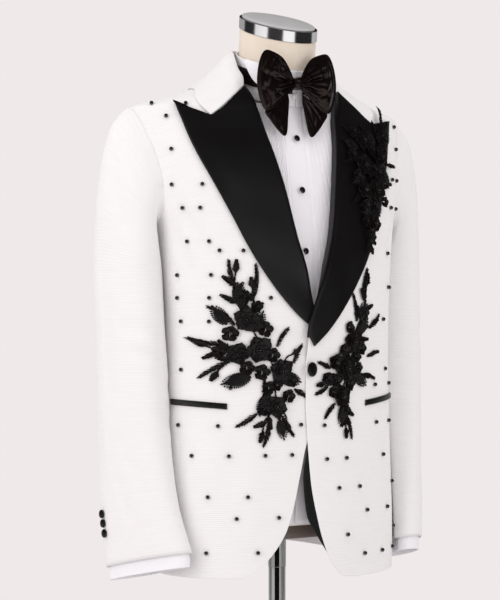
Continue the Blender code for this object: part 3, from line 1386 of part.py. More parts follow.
def build_form():
    count = 20
    rings = [section_ring(FORM, z, count)
             for z in (FORM_LOW_Z, 0.95, 1.03, 1.12, 1.22, 1.30, 1.35, 1.39, 1.412)]
    rings.append(ring_of(0.155, 0.053, (0.0, 0.025, 1.436), count))
    rings.append(ring_of(0.078, 0.048, (0.0, 0.014, 1.468), count))
    rings.append(ring_of(0.0565, 0.0545, (0.0, 0.008, 1.490), count))
    rings.append(ring_of(NECK_RADIUS, NECK_RADIUS, (0.0, neck_middle(1.52), 1.520), count))
    rings.append(ring_of(NECK_RADIUS, NECK_RADIUS, (0.0, neck_middle(1.55), 1.5500), count, tilt=0.15))
    rings.append(ring_of(NECK_RADIUS, NECK_RADIUS, (0.0, neck_middle(1.583), 1.5830), count, tilt=NECK_TILT))
    loft("form_torso", rings, lambda name: material(name, (0.80, 0.76, 0.68), 0.7))
    count = 22
    band = [ring_of(r, r, (0.0, neck_middle(z), z), count, tilt=NECK_TILT)
            for r, z in ((0.0555, 1.5834), (0.0572, 1.5842), (0.0572, 1.5985), (0.0560, 1.5996))]
    loft("neck_cap_band", band, chrome)
    cap = [ring_of(r, r, (0.0, neck_middle(z), z), count, tilt=NECK_TILT)
           for r, z in ((0.0530, 1.6000), (0.0530, 1.6022), (0.0480, 1.6040), (0.0250, 1.6056))]
    loft("neck_cap_top", cap, lambda name: material(name, (0.42, 0.42, 0.42), 0.45))
    base_band = [section_ring(FORM, 0.8700, 24), section_ring(FORM, 0.8692, 24), section_ring(FORM, 0.8525, 24),
                 section_ring(Torso(SHIRT_SECTIONS, inset=FORM_CLEARANCE + 0.003), BAND_LOW_Z, 24)]
    base_band[2][:, 2] = 0.8525
    base_band[3][:, 2] = BAND_LOW_Z
    loft("form_base_band", base_band, lambda name: material(name, (0.13, 0.10, 0.08), 0.5))


def build_stand():
    turned("stand_socket", ((TUBE_RADIUS, BAND_LOW_Z - SEAM), (TUBE_RADIUS, LIP_Z + 0.0008),
                            (TUBE_RADIUS - 0.0006, LIP_Z)), chrome, count=20)
    turned("stand_pole", ((POLE_RADIUS, LIP_Z - SEAM), (POLE_RADIUS, 0.0403)), chrome, count=20)
    turned("stand_collar", ((0.0240, 0.0400), (0.0255, 0.0385), (0.0300, 0.0200), (0.0300, BASE_THICKNESS + SEAM)),
           chrome, count=20)
    turned("stand_base", ((0.0280, BASE_THICKNESS), (BASE_RADIUS - 0.006, BASE_THICKNESS - 0.001),
                          (BASE_RADIUS, BASE_THICKNESS - 0.005), (BASE_RADIUS, 0.0015),
                          (BASE_RADIUS - 0.0015, 0.0)), chrome, count=26)


def main():
    clear_scene()
    build_front("jacket_front_right", -1, RIGHT_FRONT_EDGE, no_lift)
    build_front("jacket_front_left", 1, LEFT_FRONT_EDGE, left_lift)
    build_back("jacket_back_right", -1)
    build_back("jacket_back_left", 1)
    build_sleeve("jacket_sleeve_right", -1)
    build_sleeve("jacket_sleeve_left", 1)
    build_lapel("jacket_lapel_right", -1, RIGHT_FRONT_EDGE, RIGHT_LAPEL_EDGE)
    build_lapel("jacket_lapel_left", 1, LEFT_FRONT_EDGE, LEFT_LAPEL_EDGE)
    build_collar()
    for row in WELTS:
        build_welt(*row)
    build_lining()
    build_front_button()
    build_cuff_buttons()
    build_appliques()
    build_shirt_front("shirt_front_right", -1)
    build_shirt_front("shirt_front_left", 1)
    build_shirt_back()
    build_bib("shirt_bib_right", -1)
    build_bib("shirt_bib_left", 1)
    build_placket()
    build_shirt_collar()
    build_shirt_sleeve("shirt_sleeve_right", -1)
    build_shirt_sleeve("shirt_sleeve_left", 1)
    build_cuff("shirt_cuff_right", -1)
    build_cuff("shirt_cuff_left", 1)
    build_bow()
    build_form()
    build_stand()


main()
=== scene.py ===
# %% [markdown]
# # A white dinner jacket, dress shirt and bow tie on a dress form
# The jacket is a white cloth with a fine level rib. Its peaked lapels, pocket
# welts and buttons are black satin, and it carries black pearl beads and raised
# lace flowers. Under it stand a pleated dress shirt and a large satin bow tie,
# on a limbless form with a chrome neck ring. Every cloth piece here is a thin
# shell worked out on a grid of two parameters, because woven cloth is itself a
# grid: one parameter runs across the piece and the other along its length.

# %% Load the frame
import json
import math

import bpy
import numpy as np
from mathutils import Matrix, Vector

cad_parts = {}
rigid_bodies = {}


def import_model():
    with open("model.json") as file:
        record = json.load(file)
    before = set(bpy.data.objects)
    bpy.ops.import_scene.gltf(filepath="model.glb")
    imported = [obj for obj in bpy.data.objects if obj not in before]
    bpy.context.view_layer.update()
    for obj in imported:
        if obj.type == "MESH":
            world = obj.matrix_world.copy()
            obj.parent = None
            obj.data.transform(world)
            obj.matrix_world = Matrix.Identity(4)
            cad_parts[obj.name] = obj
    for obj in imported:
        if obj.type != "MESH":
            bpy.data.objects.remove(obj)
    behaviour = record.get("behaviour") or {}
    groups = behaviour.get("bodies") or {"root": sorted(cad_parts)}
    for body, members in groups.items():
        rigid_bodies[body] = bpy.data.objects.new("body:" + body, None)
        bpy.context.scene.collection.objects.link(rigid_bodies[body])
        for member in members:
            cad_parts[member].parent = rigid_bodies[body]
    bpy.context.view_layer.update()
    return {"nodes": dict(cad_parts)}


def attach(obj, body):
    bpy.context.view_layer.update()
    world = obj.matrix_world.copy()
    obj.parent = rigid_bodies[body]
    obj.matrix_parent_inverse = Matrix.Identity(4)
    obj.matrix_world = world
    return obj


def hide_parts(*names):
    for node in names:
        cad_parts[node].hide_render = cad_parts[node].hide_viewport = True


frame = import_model()
print("solids in the frame:", len(frame["nodes"]))


# %% [markdown]
# ## Camera
# A garment is shown best from a little to the wearer's right, level with its
# middle. A long lens from 2.7 m keeps the upright lines upright. The camera is
# placed by its aim, its distance and its direction, so that nothing is turned
# by hand.

# %% Camera
AIM = Vector((-0.0344, 0.0199, 1.193))
DISTANCE = 2.66
AZIMUTH = math.radians(-30.0)          # towards the wearer's right
SENSOR = 36.0
FOCAL_SHARE = 1810.0 / 600.0           # focal length over the height of the view
LENS = SENSOR * FOCAL_SHARE

camera_data = bpy.data.cameras.new("camera")
camera_data.sensor_fit = "VERTICAL"
camera_data.sensor_height = SENSOR
camera_data.lens = LENS
camera = bpy.data.objects.new("camera", camera_data)
camera.location = AIM + Vector((math.sin(AZIMUTH), -math.cos(AZIMUTH), 0.0)) * DISTANCE
camera.rotation_euler = (math.pi / 2, 0.0, AZIMUTH)
bpy.context.scene.collection.objects.link(camera)
bpy.context.scene.camera = camera
bpy.context.scene.view_settings.view_transform = "Standard"
print("lens", round(LENS, 1), "mm at", DISTANCE, "m")


# %% [markdown]
# ## Node helpers
# A finish is a small program of shader nodes. `add` makes one node and joins
# its inputs in the same call, which keeps the wiring readable.

# %% Node helpers
def add(tree, kind, inputs=None, **settings):
    """One node; an input given as a socket is linked, any other is a constant."""
    made = tree.nodes.new(kind)
    for key, value in settings.items():
        setattr(made, key, value)
    for key, value in (inputs or {}).items():
        if isinstance(value, bpy.types.NodeSocket):
            tree.links.new(value, made.inputs[key])
        else:
            made.inputs[key].default_value = value
    return made


def math_node(tree, operation, a, b=0.0, c=0.0):
    """A Math node's output."""
    return add(tree, "ShaderNodeMath", {0: a, 1: b, 2: c}, operation=operation).outputs[0]


def mix_node(tree, factor, first, second):
    """A colour between two, by a factor."""
    return add(tree, "ShaderNodeMix", {0: factor, 6: first, 7: second}, data_type="RGBA").outputs[2]


def range_node(tree, value, span, to, **settings):
    """A value carried from one span to another."""
    return add(tree, "ShaderNodeMapRange",
               {0: value, 1: span[0], 2: span[1], 3: to[0], 4: to[1]}, **settings).outputs[0]


def new_group(name, inputs, outputs):
    """A shader node group with named sockets, and its entry and exit nodes."""
    tree = bpy.data.node_groups.new(name, "ShaderNodeTree")
    for label, kind, value in inputs:
        socket = tree.interface.new_socket(label, in_out="INPUT", socket_type=kind)
        if value is not None:
            socket.default_value = value
    for label, kind in outputs:
        tree.interface.new_socket(label, in_out="OUTPUT", socket_type=kind)
    return tree, tree.nodes.new("NodeGroupInput"), tree.nodes.new("NodeGroupOutput")


# %% [markdown]
# ## Light and room
# The room is plain and pale. Cloth wants a broad soft key from the front on the
# wearer's right and a weaker fill, while the chrome ring wants something to
# mirror: two bright panels with darkness between them. The world therefore has
# three faces: an even pale one for the background, an even soft one for
# daylight, and one with panels that only glossy surfaces see.

# %% World
BACKGROUND = (0.863, 0.815, 0.814, 1.0)
ROOM_LIGHT = (1.0, 0.97, 0.972, 1.0)
ROOM_STRENGTH = 0.83
# Turn about the room, in shares of a full circle from the wearer's back right,
# and the brightness that a mirror finds there.
PANELS = ((0.0, 0.6), (0.165, 0.62), (0.175, 0.02), (0.285, 0.02), (0.3, 1.0),
          (0.4, 1.0), (0.412, 0.03), (0.528, 0.03), (0.54, 1.0), (0.628, 1.0),
          (0.64, 0.015), (0.82, 0.015), (0.84, 0.58), (1.0, 0.6))
PANEL_START = 60.0
PANEL_TINT = (1.0, 0.985, 0.98)
# what a mirror finds below and above the panels, and between which slopes it sets in
LOW_TONE, LOW_SLOPES = (0.45, 0.43, 0.43, 1.0), (-0.55, -0.3)
HIGH_TONE, HIGH_SLOPES = (0.012, 0.012, 0.012, 1.0), (0.02, 0.34)


def build_world():
    """Background for the camera, panels for glossy rays, even light for the rest."""
    world = bpy.data.worlds.new("studio")
    bpy.context.scene.world = world
    world.use_nodes = True
    tree = world.node_tree
    tree.nodes.clear()
    ray = add(tree, "ShaderNodeLightPath")
    place = add(tree, "ShaderNodeTexCoord")
    axes = add(tree, "ShaderNodeSeparateXYZ", {0: place.outputs["Generated"]})
    turn = math_node(tree, "ARCTAN2", axes.outputs["Y"], axes.outputs["X"])
    circle = math_node(tree, "DIVIDE", turn, 2 * math.pi)
    share = math_node(tree, "FRACT", math_node(tree, "ADD", circle, 1.0 - PANEL_START / 360.0))
    ramp = add(tree, "ShaderNodeValToRGB", {0: share})
    stops = ramp.color_ramp.elements
    while len(stops) > 1:
        stops.remove(stops[-1])
    for i, (at, level) in enumerate(PANELS):
        stop = stops[0] if i == 0 else stops.new(at)
        stop.position = at
        stop.color = (*(level * tint for tint in PANEL_TINT), 1.0)
    below = range_node(tree, axes.outputs["Z"], LOW_SLOPES, (1.0, 0.0))
    above = range_node(tree, axes.outputs["Z"], HIGH_SLOPES, (0.0, 1.0))
    low = mix_node(tree, below, ramp.outputs["Color"], LOW_TONE)
    mirror = mix_node(tree, above, low, HIGH_TONE)
    soft = (*(c * ROOM_STRENGTH for c in ROOM_LIGHT[:3]), 1.0)
    glossy = mix_node(tree, ray.outputs["Is Glossy Ray"], soft, mirror)
    seen = mix_node(tree, ray.outputs["Is Camera Ray"], glossy, BACKGROUND)
    light = add(tree, "ShaderNodeBackground", {"Color": seen})
    add(tree, "ShaderNodeOutputWorld", {"Surface": light.outputs[0]})


build_world()


# %% Lights
# name, turn from straight ahead in degrees, height, distance, size, watts
LIGHTS = (
    ("key", -74.0, 1.9, 3.0, 1.8, 28.0),
    ("fill", 30.0, 1.6, 3.4, 1.6, 17.0),
    ("top", -50.0, 3.3, 0.9, 1.4, 5.0),
)
LAMP_COLOUR = (1.0, 0.985, 0.975)
LAMP_AIM = Vector((0.0, 0.0, 1.2))

for name, turn, height, reach, size, power in LIGHTS:
    lamp = bpy.data.lights.new(name, "AREA")
    lamp.size = size
    lamp.energy = power
    lamp.color = LAMP_COLOUR
    holder = bpy.data.objects.new(name, lamp)
    angle = math.radians(turn)
    holder.location = (math.sin(angle) * reach, -math.cos(angle) * reach, height)
    holder.rotation_euler = (LAMP_AIM - holder.location).to_track_quat("-Z", "Y").to_euler()
    holder.visible_glossy = False
    bpy.context.scene.collection.objects.link(holder)


# %% [markdown]
# ## Curves and bodies
# A tailor's block is described by level measures: chest, waist, hip. The two
# torso surfaces are made the same way. A level section is a rounded oval, whose
# radius at angle a is 1 / (|sin a|^n + |cos a|^n)^(1/n), stretched to its half
# width and depth. The jacket's and the shirt's tables repeat the sizes of the
# frame, so every shell lies where its solid is.

# %% Curves
def hermite(t):
    """A cubic's weights: its start, the tangent there, its end and that tangent."""
    return 2 * t**3 - 3 * t**2 + 1, t**3 - 2 * t**2 + t, 3 * t**2 - 2 * t**3, t**3 - t**2


def curve_through(rows, value=1):
    """A monotone cubic through rows of (station, values...): no row is overshot."""
    rows = np.asarray(rows, float)
    xs, ys = rows[:, 0], rows[:, value]
    step = np.diff(xs)
    slope = np.diff(ys) / step
    tangent = np.zeros(len(ys))
    tangent[0], tangent[-1] = slope[0], slope[-1]
    same = slope[1:] * slope[:-1] > 0
    first, last = 2 * step[1:] + step[:-1], step[1:] + 2 * step[:-1]
    before, after = np.where(same, slope[:-1], 1.0), np.where(same, slope[1:], 1.0)
    mean = (first + last) / (first / before + last / after)
    tangent[1:-1] = np.where(same, mean, 0.0)

    def at(x):
        x = np.clip(np.asarray(x, float), xs[0], xs[-1])
        i = np.clip(np.searchsorted(xs, x, side="right") - 1, 0, len(step) - 1)
        h = step[i]
        w0, w1, w2, w3 = hermite((x - xs[i]) / h)
        return w0 * ys[i] + w1 * h * tangent[i] + w2 * ys[i + 1] + w3 * h * tangent[i + 1]
    return at


def ease(t):
    """0 to 1 with level ends: 3t^2 - 2t^3."""
    t = np.clip(t, 0.0, 1.0)
    return t * t * (3 - 2 * t)


def ramp(value, start, width):
    """0 up to a start, 1 from a width further on, and an ease between them."""
    return ease((value - start) / width)


def spline(grid, factor, axis=0):
    """Refine a grid along one axis with a Catmull-Rom curve through its rows:
    each tangent is half the step between the two neighbours."""
    g = np.moveaxis(np.asarray(grid, float), axis, 0)
    tangent = np.gradient(g, axis=0)
    at = np.linspace(0, len(g) - 1, (len(g) - 1) * factor + 1)
    i = np.minimum(at.astype(int), len(g) - 2)
    w0, w1, w2, w3 = hermite((at - i).reshape((-1,) + (1,) * (g.ndim - 1)))
    fine = w0 * g[i] + w1 * tangent[i] + w2 * g[i + 1] + w3 * tangent[i + 1]
    return np.moveaxis(fine, 0, axis)


def unit(vectors):
    """Vectors of length one."""
    return vectors / np.maximum(np.linalg.norm(vectors, axis=-1, keepdims=True), 1e-12)


# %% Bodies
COLUMNS = ("z", "half", "front", "middle", "back", "n")
JACKET_SECTIONS = (
    (0.8, 0.187, -0.112, 0.012, 0.122, 2.3), (0.87, 0.188, -0.113, 0.012, 0.126, 2.3),
    (0.95, 0.187, -0.11, 0.012, 0.126, 2.3), (1.03, 0.184, -0.107, 0.012, 0.116, 2.3),
    (1.095, 0.181, -0.108, 0.012, 0.107, 2.3), (1.155, 0.18, -0.11, 0.012, 0.105, 2.35),
    (1.22, 0.183, -0.107, 0.014, 0.112, 2.4), (1.28, 0.19, -0.101, 0.018, 0.124, 2.4),
    (1.34, 0.203, -0.092, 0.022, 0.132, 2.4), (1.4, 0.214, -0.078, 0.026, 0.132, 2.3),
    (1.44, 0.222, -0.064, 0.03, 0.124, 2.15), (1.464, 0.225, -0.056, 0.032, 0.112, 2.0),
    (1.49, 0.154, -0.051, 0.03, 0.1, 2.0), (1.511, 0.096, -0.044, 0.028, 0.088, 2.0),
    (1.53, 0.08, -0.04, 0.026, 0.08, 2.0),
)
SHIRT_SECTIONS = (
    (0.86, 0.17, -0.088, 0.012, 0.106, 2.3), (0.95, 0.172, -0.09, 0.012, 0.11, 2.3),
    (1.03, 0.168, -0.089, 0.012, 0.101, 2.3), (1.095, 0.165, -0.088, 0.012, 0.093, 2.3),
    (1.155, 0.164, -0.088, 0.012, 0.091, 2.3), (1.22, 0.167, -0.086, 0.014, 0.099, 2.3),
    (1.28, 0.173, -0.082, 0.018, 0.11, 2.35), (1.34, 0.186, -0.075, 0.022, 0.118, 2.35),
    (1.4, 0.199, -0.064, 0.026, 0.118, 2.3), (1.43, 0.206, -0.056, 0.029, 0.111, 2.15),
    (1.45, 0.207, -0.05, 0.031, 0.1, 2.0), (1.476, 0.135, -0.047, 0.028, 0.088, 2.0),
    (1.497, 0.07, -0.05, 0.014, 0.074, 2.0), (1.515, 0.064, -0.054, 0.008, 0.07, 2.0),
)


TURN_STEP, RISE_STEP = 1.2e-2, 1.6e-3


class Torso:
    """A torso surface from a table of level sections."""

    def __init__(self, sections, inset=0.0):
        self.inset = inset
        self.columns = {name: curve_through(sections, i) for i, name in enumerate(COLUMNS) if i}

    def sizes(self, z):
        """Half width, front depth, back depth, middle and squareness at height z."""
        middle = self.columns["middle"](z)
        return (self.columns["half"](z) - self.inset, middle - self.columns["front"](z) - self.inset,
                self.columns["back"](z) - middle - self.inset, middle, self.columns["n"](z))

    def at(self, angle, z):
        """The point at an angle (0 front, 90 degrees the wearer's left) and a height."""
        angle, z = np.broadcast_arrays(np.asarray(angle, float), np.asarray(z, float))
        half, front, back, middle, n = self.sizes(z)
        s, c = np.sin(angle), np.cos(angle)
        reach = (np.abs(s)**n + np.abs(c)**n) ** (-1.0 / n)
        return np.stack([half * reach * s, middle - np.where(c > 0, front, back) * reach * c, z], axis=-1)

    def normal(self, angle, z):
        """The outward direction, from small steps along both parameters."""
        along = self.at(angle + TURN_STEP, z) - self.at(angle - TURN_STEP, z)
        up = self.at(angle, z + RISE_STEP) - self.at(angle, z - RISE_STEP)
        return unit(np.cross(along, up))

    def out(self, angle, z, distance):
        """The point a distance off the surface."""
        return self.at(angle, z) + self.normal(angle, z) * np.asarray(distance, float)[..., None]

    def front_angle(self, x, z):
        """The angle at which the front of a section has this x: tan^n a = q / (1 - q)."""
        half, _, _, _, n = self.sizes(z)
        q = np.clip((np.abs(x) / half) ** n, 0.0, 0.9999)
        return np.sign(x) * np.arctan((q / (1 - q)) ** (1 / n))

    def hold_outside(self, points, clearance):
        """Points inside the surface, on the +X side, are moved out along X."""
        half, front, back, middle, n = self.sizes(points[..., 2])
        depth = np.where(points[..., 1] < middle, front, back) + clearance
        ratio = np.clip(np.abs(points[..., 1] - middle) / depth, 0.0, 1.0)
        moved = points.copy()
        moved[..., 0] = np.maximum(points[..., 0], (half + clearance) * (1 - ratio**n) ** (1 / n))
        return moved


JACKET = Torso(JACKET_SECTIONS)
SHIRT = Torso(SHIRT_SECTIONS)
FORM_INSET = 0.012
FORM = Torso(SHIRT_SECTIONS, FORM_INSET)


# %% [markdown]
# ## From grid to cloth
# A cloth's grid gets its thickness by two copies of it, half the cloth's
# thickness to each side, joined round the rim. Close to a free edge the two
# copies come together along a quarter of a circle, as a turned and pressed edge
# does. A UV map in metres is written at the same time: u is the length walked
# across and v the length walked down, so that a weave keeps its true size and
# follows the cloth.

# %% Mesh from grids
def make_piece(name, verts, quads, triangles, finish, uv=None, sharp=None):
    """A mesh object from arrays of corners, quads and triangles."""
    mesh = bpy.data.meshes.new(name)
    sides = np.concatenate([np.full(len(quads), 4), np.full(len(triangles), 3)]).astype(np.int32)
    loops = np.concatenate([np.ravel(quads), np.ravel(triangles)]).astype(np.int32)
    mesh.vertices.add(len(verts))
    mesh.vertices.foreach_set("co", np.asarray(verts, np.float32).reshape(-1))
    mesh.loops.add(len(loops))
    mesh.loops.foreach_set("vertex_index", loops)
    mesh.polygons.add(len(sides))
    mesh.polygons.foreach_set("loop_start", np.concatenate([[0], np.cumsum(sides)[:-1]]).astype(np.int32))
    mesh.polygons.foreach_set("loop_total", sides)
    mesh.update(calc_edges=True)
    if uv is not None:
        mesh.uv_layers.new(name="cloth").data.foreach_set("uv", np.asarray(uv, np.float32).reshape(-1))
    mesh.validate()
    mesh.shade_smooth()
    if sharp:
        mesh.set_sharp_from_angle(angle=math.radians(sharp))
    for one in finish if isinstance(finish, (list, tuple)) else (finish,):
        mesh.materials.append(one)
    made = bpy.data.objects.new(name, mesh)
    bpy.context.scene.collection.objects.link(made)
    return made


NO_TRIANGLES, NO_QUADS = np.zeros((0, 3), int), np.zeros((0, 4), int)


def arc(grid, axis):
    """Length walked along an axis of a grid, from 0."""
    step = np.linalg.norm(np.diff(grid, axis=axis), axis=-1)
    start = np.zeros_like(np.take(step, [0], axis=axis))
    return np.concatenate([start, np.cumsum(step, axis=axis)], axis=axis)


def wall_faces(rows, cols, around):
    """Quads of a closed wall between an outer and an inner grid, and for each
    corner its row and its column counted on past the join."""
    spans = cols if around else cols - 1
    r, c = np.meshgrid(np.arange(rows - 1), np.arange(spans), indexing="ij")
    r, c = r.reshape(-1), c.reshape(-1)
    corner_rows = np.stack([r, r, r + 1, r + 1], axis=1)
    corner_cols = np.stack([c, c + 1, c + 1, c], axis=1)
    outer = corner_rows * cols + corner_cols % cols
    count = rows * cols
    inner = outer[:, ::-1] + count
    quads = [outer, inner]
    at_rows, at_cols = [corner_rows, corner_rows[:, ::-1]], [corner_cols, corner_cols[:, ::-1]]
    c = np.arange(spans)
    for row, order in ((0, (1, 0, 2, 3)), (rows - 1, (0, 1, 3, 2))):
        low, high = row * cols + c, row * cols + (c + 1) % cols
        four = np.stack([low, high, low + count, high + count], axis=1)
        quads.append(four[:, list(order)])
        at_rows.append(np.full((spans, 4), row))
        at_cols.append(np.stack([c, c + 1, c, c + 1], axis=1)[:, list(order)])
    if not around:
        r = np.arange(rows - 1)
        for col, order in ((0, (0, 1, 3, 2)), (cols - 1, (1, 0, 2, 3))):
            low, high = r * cols + col, (r + 1) * cols + col
            four = np.stack([low, high, low + count, high + count], axis=1)
            quads.append(four[:, list(order)])
            at_rows.append(np.stack([r, r + 1, r, r + 1], axis=1)[:, list(order)])
            at_cols.append(np.full((rows - 1, 4), col))
    return np.concatenate(quads), np.concatenate(at_rows), np.concatenate(at_cols)


def wall(name, outer, inner, finish, around=False, sharp=None):
    """A closed wall between two grids (rows, columns, 3)."""
    rows, cols = outer.shape[:2]
    quads, at_rows, at_cols = wall_faces(rows, cols, around)
    closed = np.concatenate([outer, outer[:, :1]], axis=1) if around else outer
    u = arc(closed, 1).mean(axis=0)
    v = arc(outer, 0).mean(axis=1)
    uv = np.stack([u[at_cols], v[at_rows]], axis=-1)
    verts = np.concatenate([outer.reshape(-1, 3), inner.reshape(-1, 3)])
    return make_piece(name, verts, quads, NO_TRIANGLES, finish, uv, sharp)


def grid_normal(mid, around=False):
    """Directions square to a grid: the cross product of its two neighbours' steps."""
    across = np.roll(mid, -1, axis=1) - np.roll(mid, 1, axis=1) if around else np.gradient(mid, axis=1)
    return unit(np.cross(across, np.gradient(mid, axis=0)))


LEAST_SHARE = 0.22                     # of the thickness that is left at a rim


def cloth(name, mid, thickness, finish, away, around=False, edge=0.0013, sharp=None):
    """A cloth piece from its middle grid. away tells which way is outwards.
    Its half thickness at a distance d from a free edge is a quarter circle's:
    sqrt(1 - (1 - d / edge)^2)."""
    if np.median(np.sum(grid_normal(mid, around) * away, axis=-1)) < 0:
        mid = mid[:, ::-1]
    normal = grid_normal(mid, around)
    down = arc(mid, 0)
    free = np.minimum(down, down[-1:] - down)
    if not around:
        side = arc(mid, 1)
        free = np.minimum(free, np.minimum(side, side[:, -1:] - side))
    share = np.sqrt(1 - (1 - np.clip(free / edge, 0.0, 1.0)) ** 2)
    half = (thickness / 2 * np.maximum(share, LEAST_SHARE))[..., None]
    return wall(name, mid + normal * half, mid - normal * half, finish, around, sharp)


def stations(count, near):
    """Stations from 0 to 1, with more close to both ends for a rounded edge."""
    inner = np.linspace(0, 1, count)[1:-1]
    inner = inner[(inner > 1.6 * near) & (inner < 1 - 1.6 * near)]
    ends = np.array([0.0, 0.15, 0.45, 1.0]) * near
    return np.concatenate([ends, inner, 1 - ends[::-1]])


def patch(left, right, bottom, top, v, u):
    """A grid between four edges (a Coons patch): the mean of the two rulings
    less the ruling of the four corners. Each edge is a function of 0..1."""
    def edge(function, t):
        return np.stack(np.broadcast_arrays(*function(t)), axis=-1)
    lo, hi = edge(bottom, u)[None], edge(top, u)[None]
    le, ri = edge(left, v)[:, None], edge(right, v)[:, None]
    u, v = u[None, :, None], v[:, None, None]
    corners = (1 - u) * (1 - v) * le[:1] + u * (1 - v) * ri[:1] + (1 - u) * v * le[-1:] + u * v * ri[-1:]
    return (1 - v) * lo + v * hi + (1 - u) * le + u * ri - corners


# %% Many small parts in one mesh
def walls_joined(outer, inner):
    """Corners and quads of many equal walls: grids of shape (count, rows, columns, 3)."""
    count, rows, cols = outer.shape[:3]
    quads, _, _ = wall_faces(rows, cols, False)
    verts = np.concatenate([outer.reshape(count, -1, 3), inner.reshape(count, -1, 3)], axis=1)
    offset = np.arange(count)[:, None, None] * verts.shape[1]
    return verts.reshape(-1, 3), (quads[None] + offset).reshape(-1, 4)


def stack(rings, inward=False):
    """Corners, quads and triangles of rings on top of each other, closed at both
    ends by a corner in the middle."""
    rows, cols = rings.shape[:2]
    c = np.arange(cols)
    d = (c + 1) % cols
    quads = np.concatenate([
        np.stack([r * cols + c, r * cols + d, (r + 1) * cols + d, (r + 1) * cols + c], 1)
        for r in range(rows - 1)])
    base, last = rows * cols, (rows - 1) * cols
    triangles = np.concatenate([np.stack([np.full(cols, base), d, c], 1),
                                np.stack([np.full(cols, base + 1), last + c, last + d], 1)])
    verts = np.concatenate([rings.reshape(-1, 3), rings[:1].mean(axis=1), rings[-1:].mean(axis=1)])
    if inward:
        quads, triangles = [np.roll(faces[:, ::-1], 1, axis=1) for faces in (quads, triangles)]
    return verts, quads, triangles


def unit_ball(around, rings):
    """A sphere of radius one with its poles on Z."""
    a = np.linspace(0, 2 * math.pi, around, endpoint=False)
    t = np.linspace(0, math.pi, rings + 2)[1:-1, None]
    ring = np.stack([np.sin(t) * np.cos(a), np.sin(t) * np.sin(a), np.cos(t) + 0 * a], axis=-1)
    verts, quads, triangles = stack(ring, inward=True)
    verts[-2:] = (0, 0, 1), (0, 0, -1)
    return verts, quads, triangles


def balls(centres, radii, around, rings):
    """Corners, quads and triangles of many beads."""
    verts, quads, triangles = unit_ball(around, rings)
    centres = np.asarray(centres, float).reshape(-1, 3)
    radii = np.broadcast_to(radii, len(centres))
    every = centres[:, None] + verts[None] * radii[:, None, None]
    offset = np.arange(len(centres))[:, None, None] * len(verts)
    return (every.reshape(-1, 3), (quads[None] + offset).reshape(-1, 4),
            (triangles[None] + offset).reshape(-1, 3))


def joined(name, parts, finish, sharp=None):
    """One piece from many (corners, quads, triangles) parts."""
    verts, quads, triangles, start = [], [], [NO_TRIANGLES], 0
    for part in parts:
        verts.append(part[0])
        quads.append(part[1] + start)
        if len(part) > 2:
            triangles.append(part[2] + start)
        start += len(part[0])
    return make_piece(name, np.concatenate(verts), np.concatenate(quads), np.concatenate(triangles), finish,
                      sharp=sharp)


def volume(piece):
    """The volume inside a closed mesh, negative when its faces look inwards."""
    mesh = piece.data
    mesh.calc_loop_triangles()
    tri = np.zeros(len(mesh.loop_triangles) * 3, np.int32)
    mesh.loop_triangles.foreach_get("vertices", tri)
    co = np.zeros(len(mesh.vertices) * 3, np.float32)
    mesh.vertices.foreach_get("co", co)
    a, b, c = co.reshape(-1, 3)[tri.reshape(-1, 3)].astype(float).transpose(1, 0, 2)
    return np.einsum("ij,ij->i", a, np.cross(b - a, c - a)).sum() / 6


def settle(piece, slot, *nodes):
    """Every piece rides on the one body and stands for its solids. slot is not used."""
    if volume(piece) < 0:
        piece.data.flip_normals()
    if nodes:
        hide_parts(*nodes)
    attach(piece, "root")
    return piece


# %% [markdown]
# ## Finishes
# Each finish has its own scale. The jacket's cloth is an ottoman: level cords
# two to three millimetres apart with a finer thread between, and slubs that make
# single cords thicker. Satin is the reverse, with threads so fine that only a
# faint upright streak and a slow change of sheen are seen. Lace and crepe
# scatter light from tangled thread. Four node groups hold these reliefs, and
# each finish places one with values of its own.

# %% Relief groups
def noise(tree, vector, scale, detail=2.0, roughness=0.5):
    """A Noise texture's factor."""
    return add(tree, "ShaderNodeTexNoise", {"Vector": vector, "Scale": scale, "Detail": detail,
                                            "Roughness": roughness}).outputs[0]


def stretched(tree, vector, sizes):
    """Coordinates stretched by a factor on each axis."""
    return add(tree, "ShaderNodeMapping", {"Vector": vector, "Scale": sizes}).outputs[0]


def wave(tree, value, pitch):
    """0.5 + 0.5 sin(2 pi value / pitch)."""
    turn = math_node(tree, "MULTIPLY", math_node(tree, "DIVIDE", value, pitch), 2 * math.pi)
    return math_node(tree, "MULTIPLY_ADD", math_node(tree, "SINE", turn), 0.5, 0.5)


IN_VECTOR = ("Vector", "NodeSocketVector", None)
OUT_BOTH = (("Shade", "NodeSocketFloat"), ("Height", "NodeSocketFloat"))
SLUB = 0.65                            # how much a cord's strength varies


def blend(tree, first, second, share):
    """A share of the first value and the rest of the second."""
    return math_node(tree, "MULTIPLY_ADD", first, share, math_node(tree, "MULTIPLY", second, 1.0 - share))


def relief_group(name, label, value, wiring):
    """A relief: from a vector and one setting to its shade and its height."""
    tree, entry, leave = new_group(name, (IN_VECTOR, (label, "NodeSocketFloat", value)), OUT_BOTH)
    for out, socket in zip(wiring(tree, *entry.outputs[:2]), leave.inputs):
        tree.links.new(out, socket)
    return tree


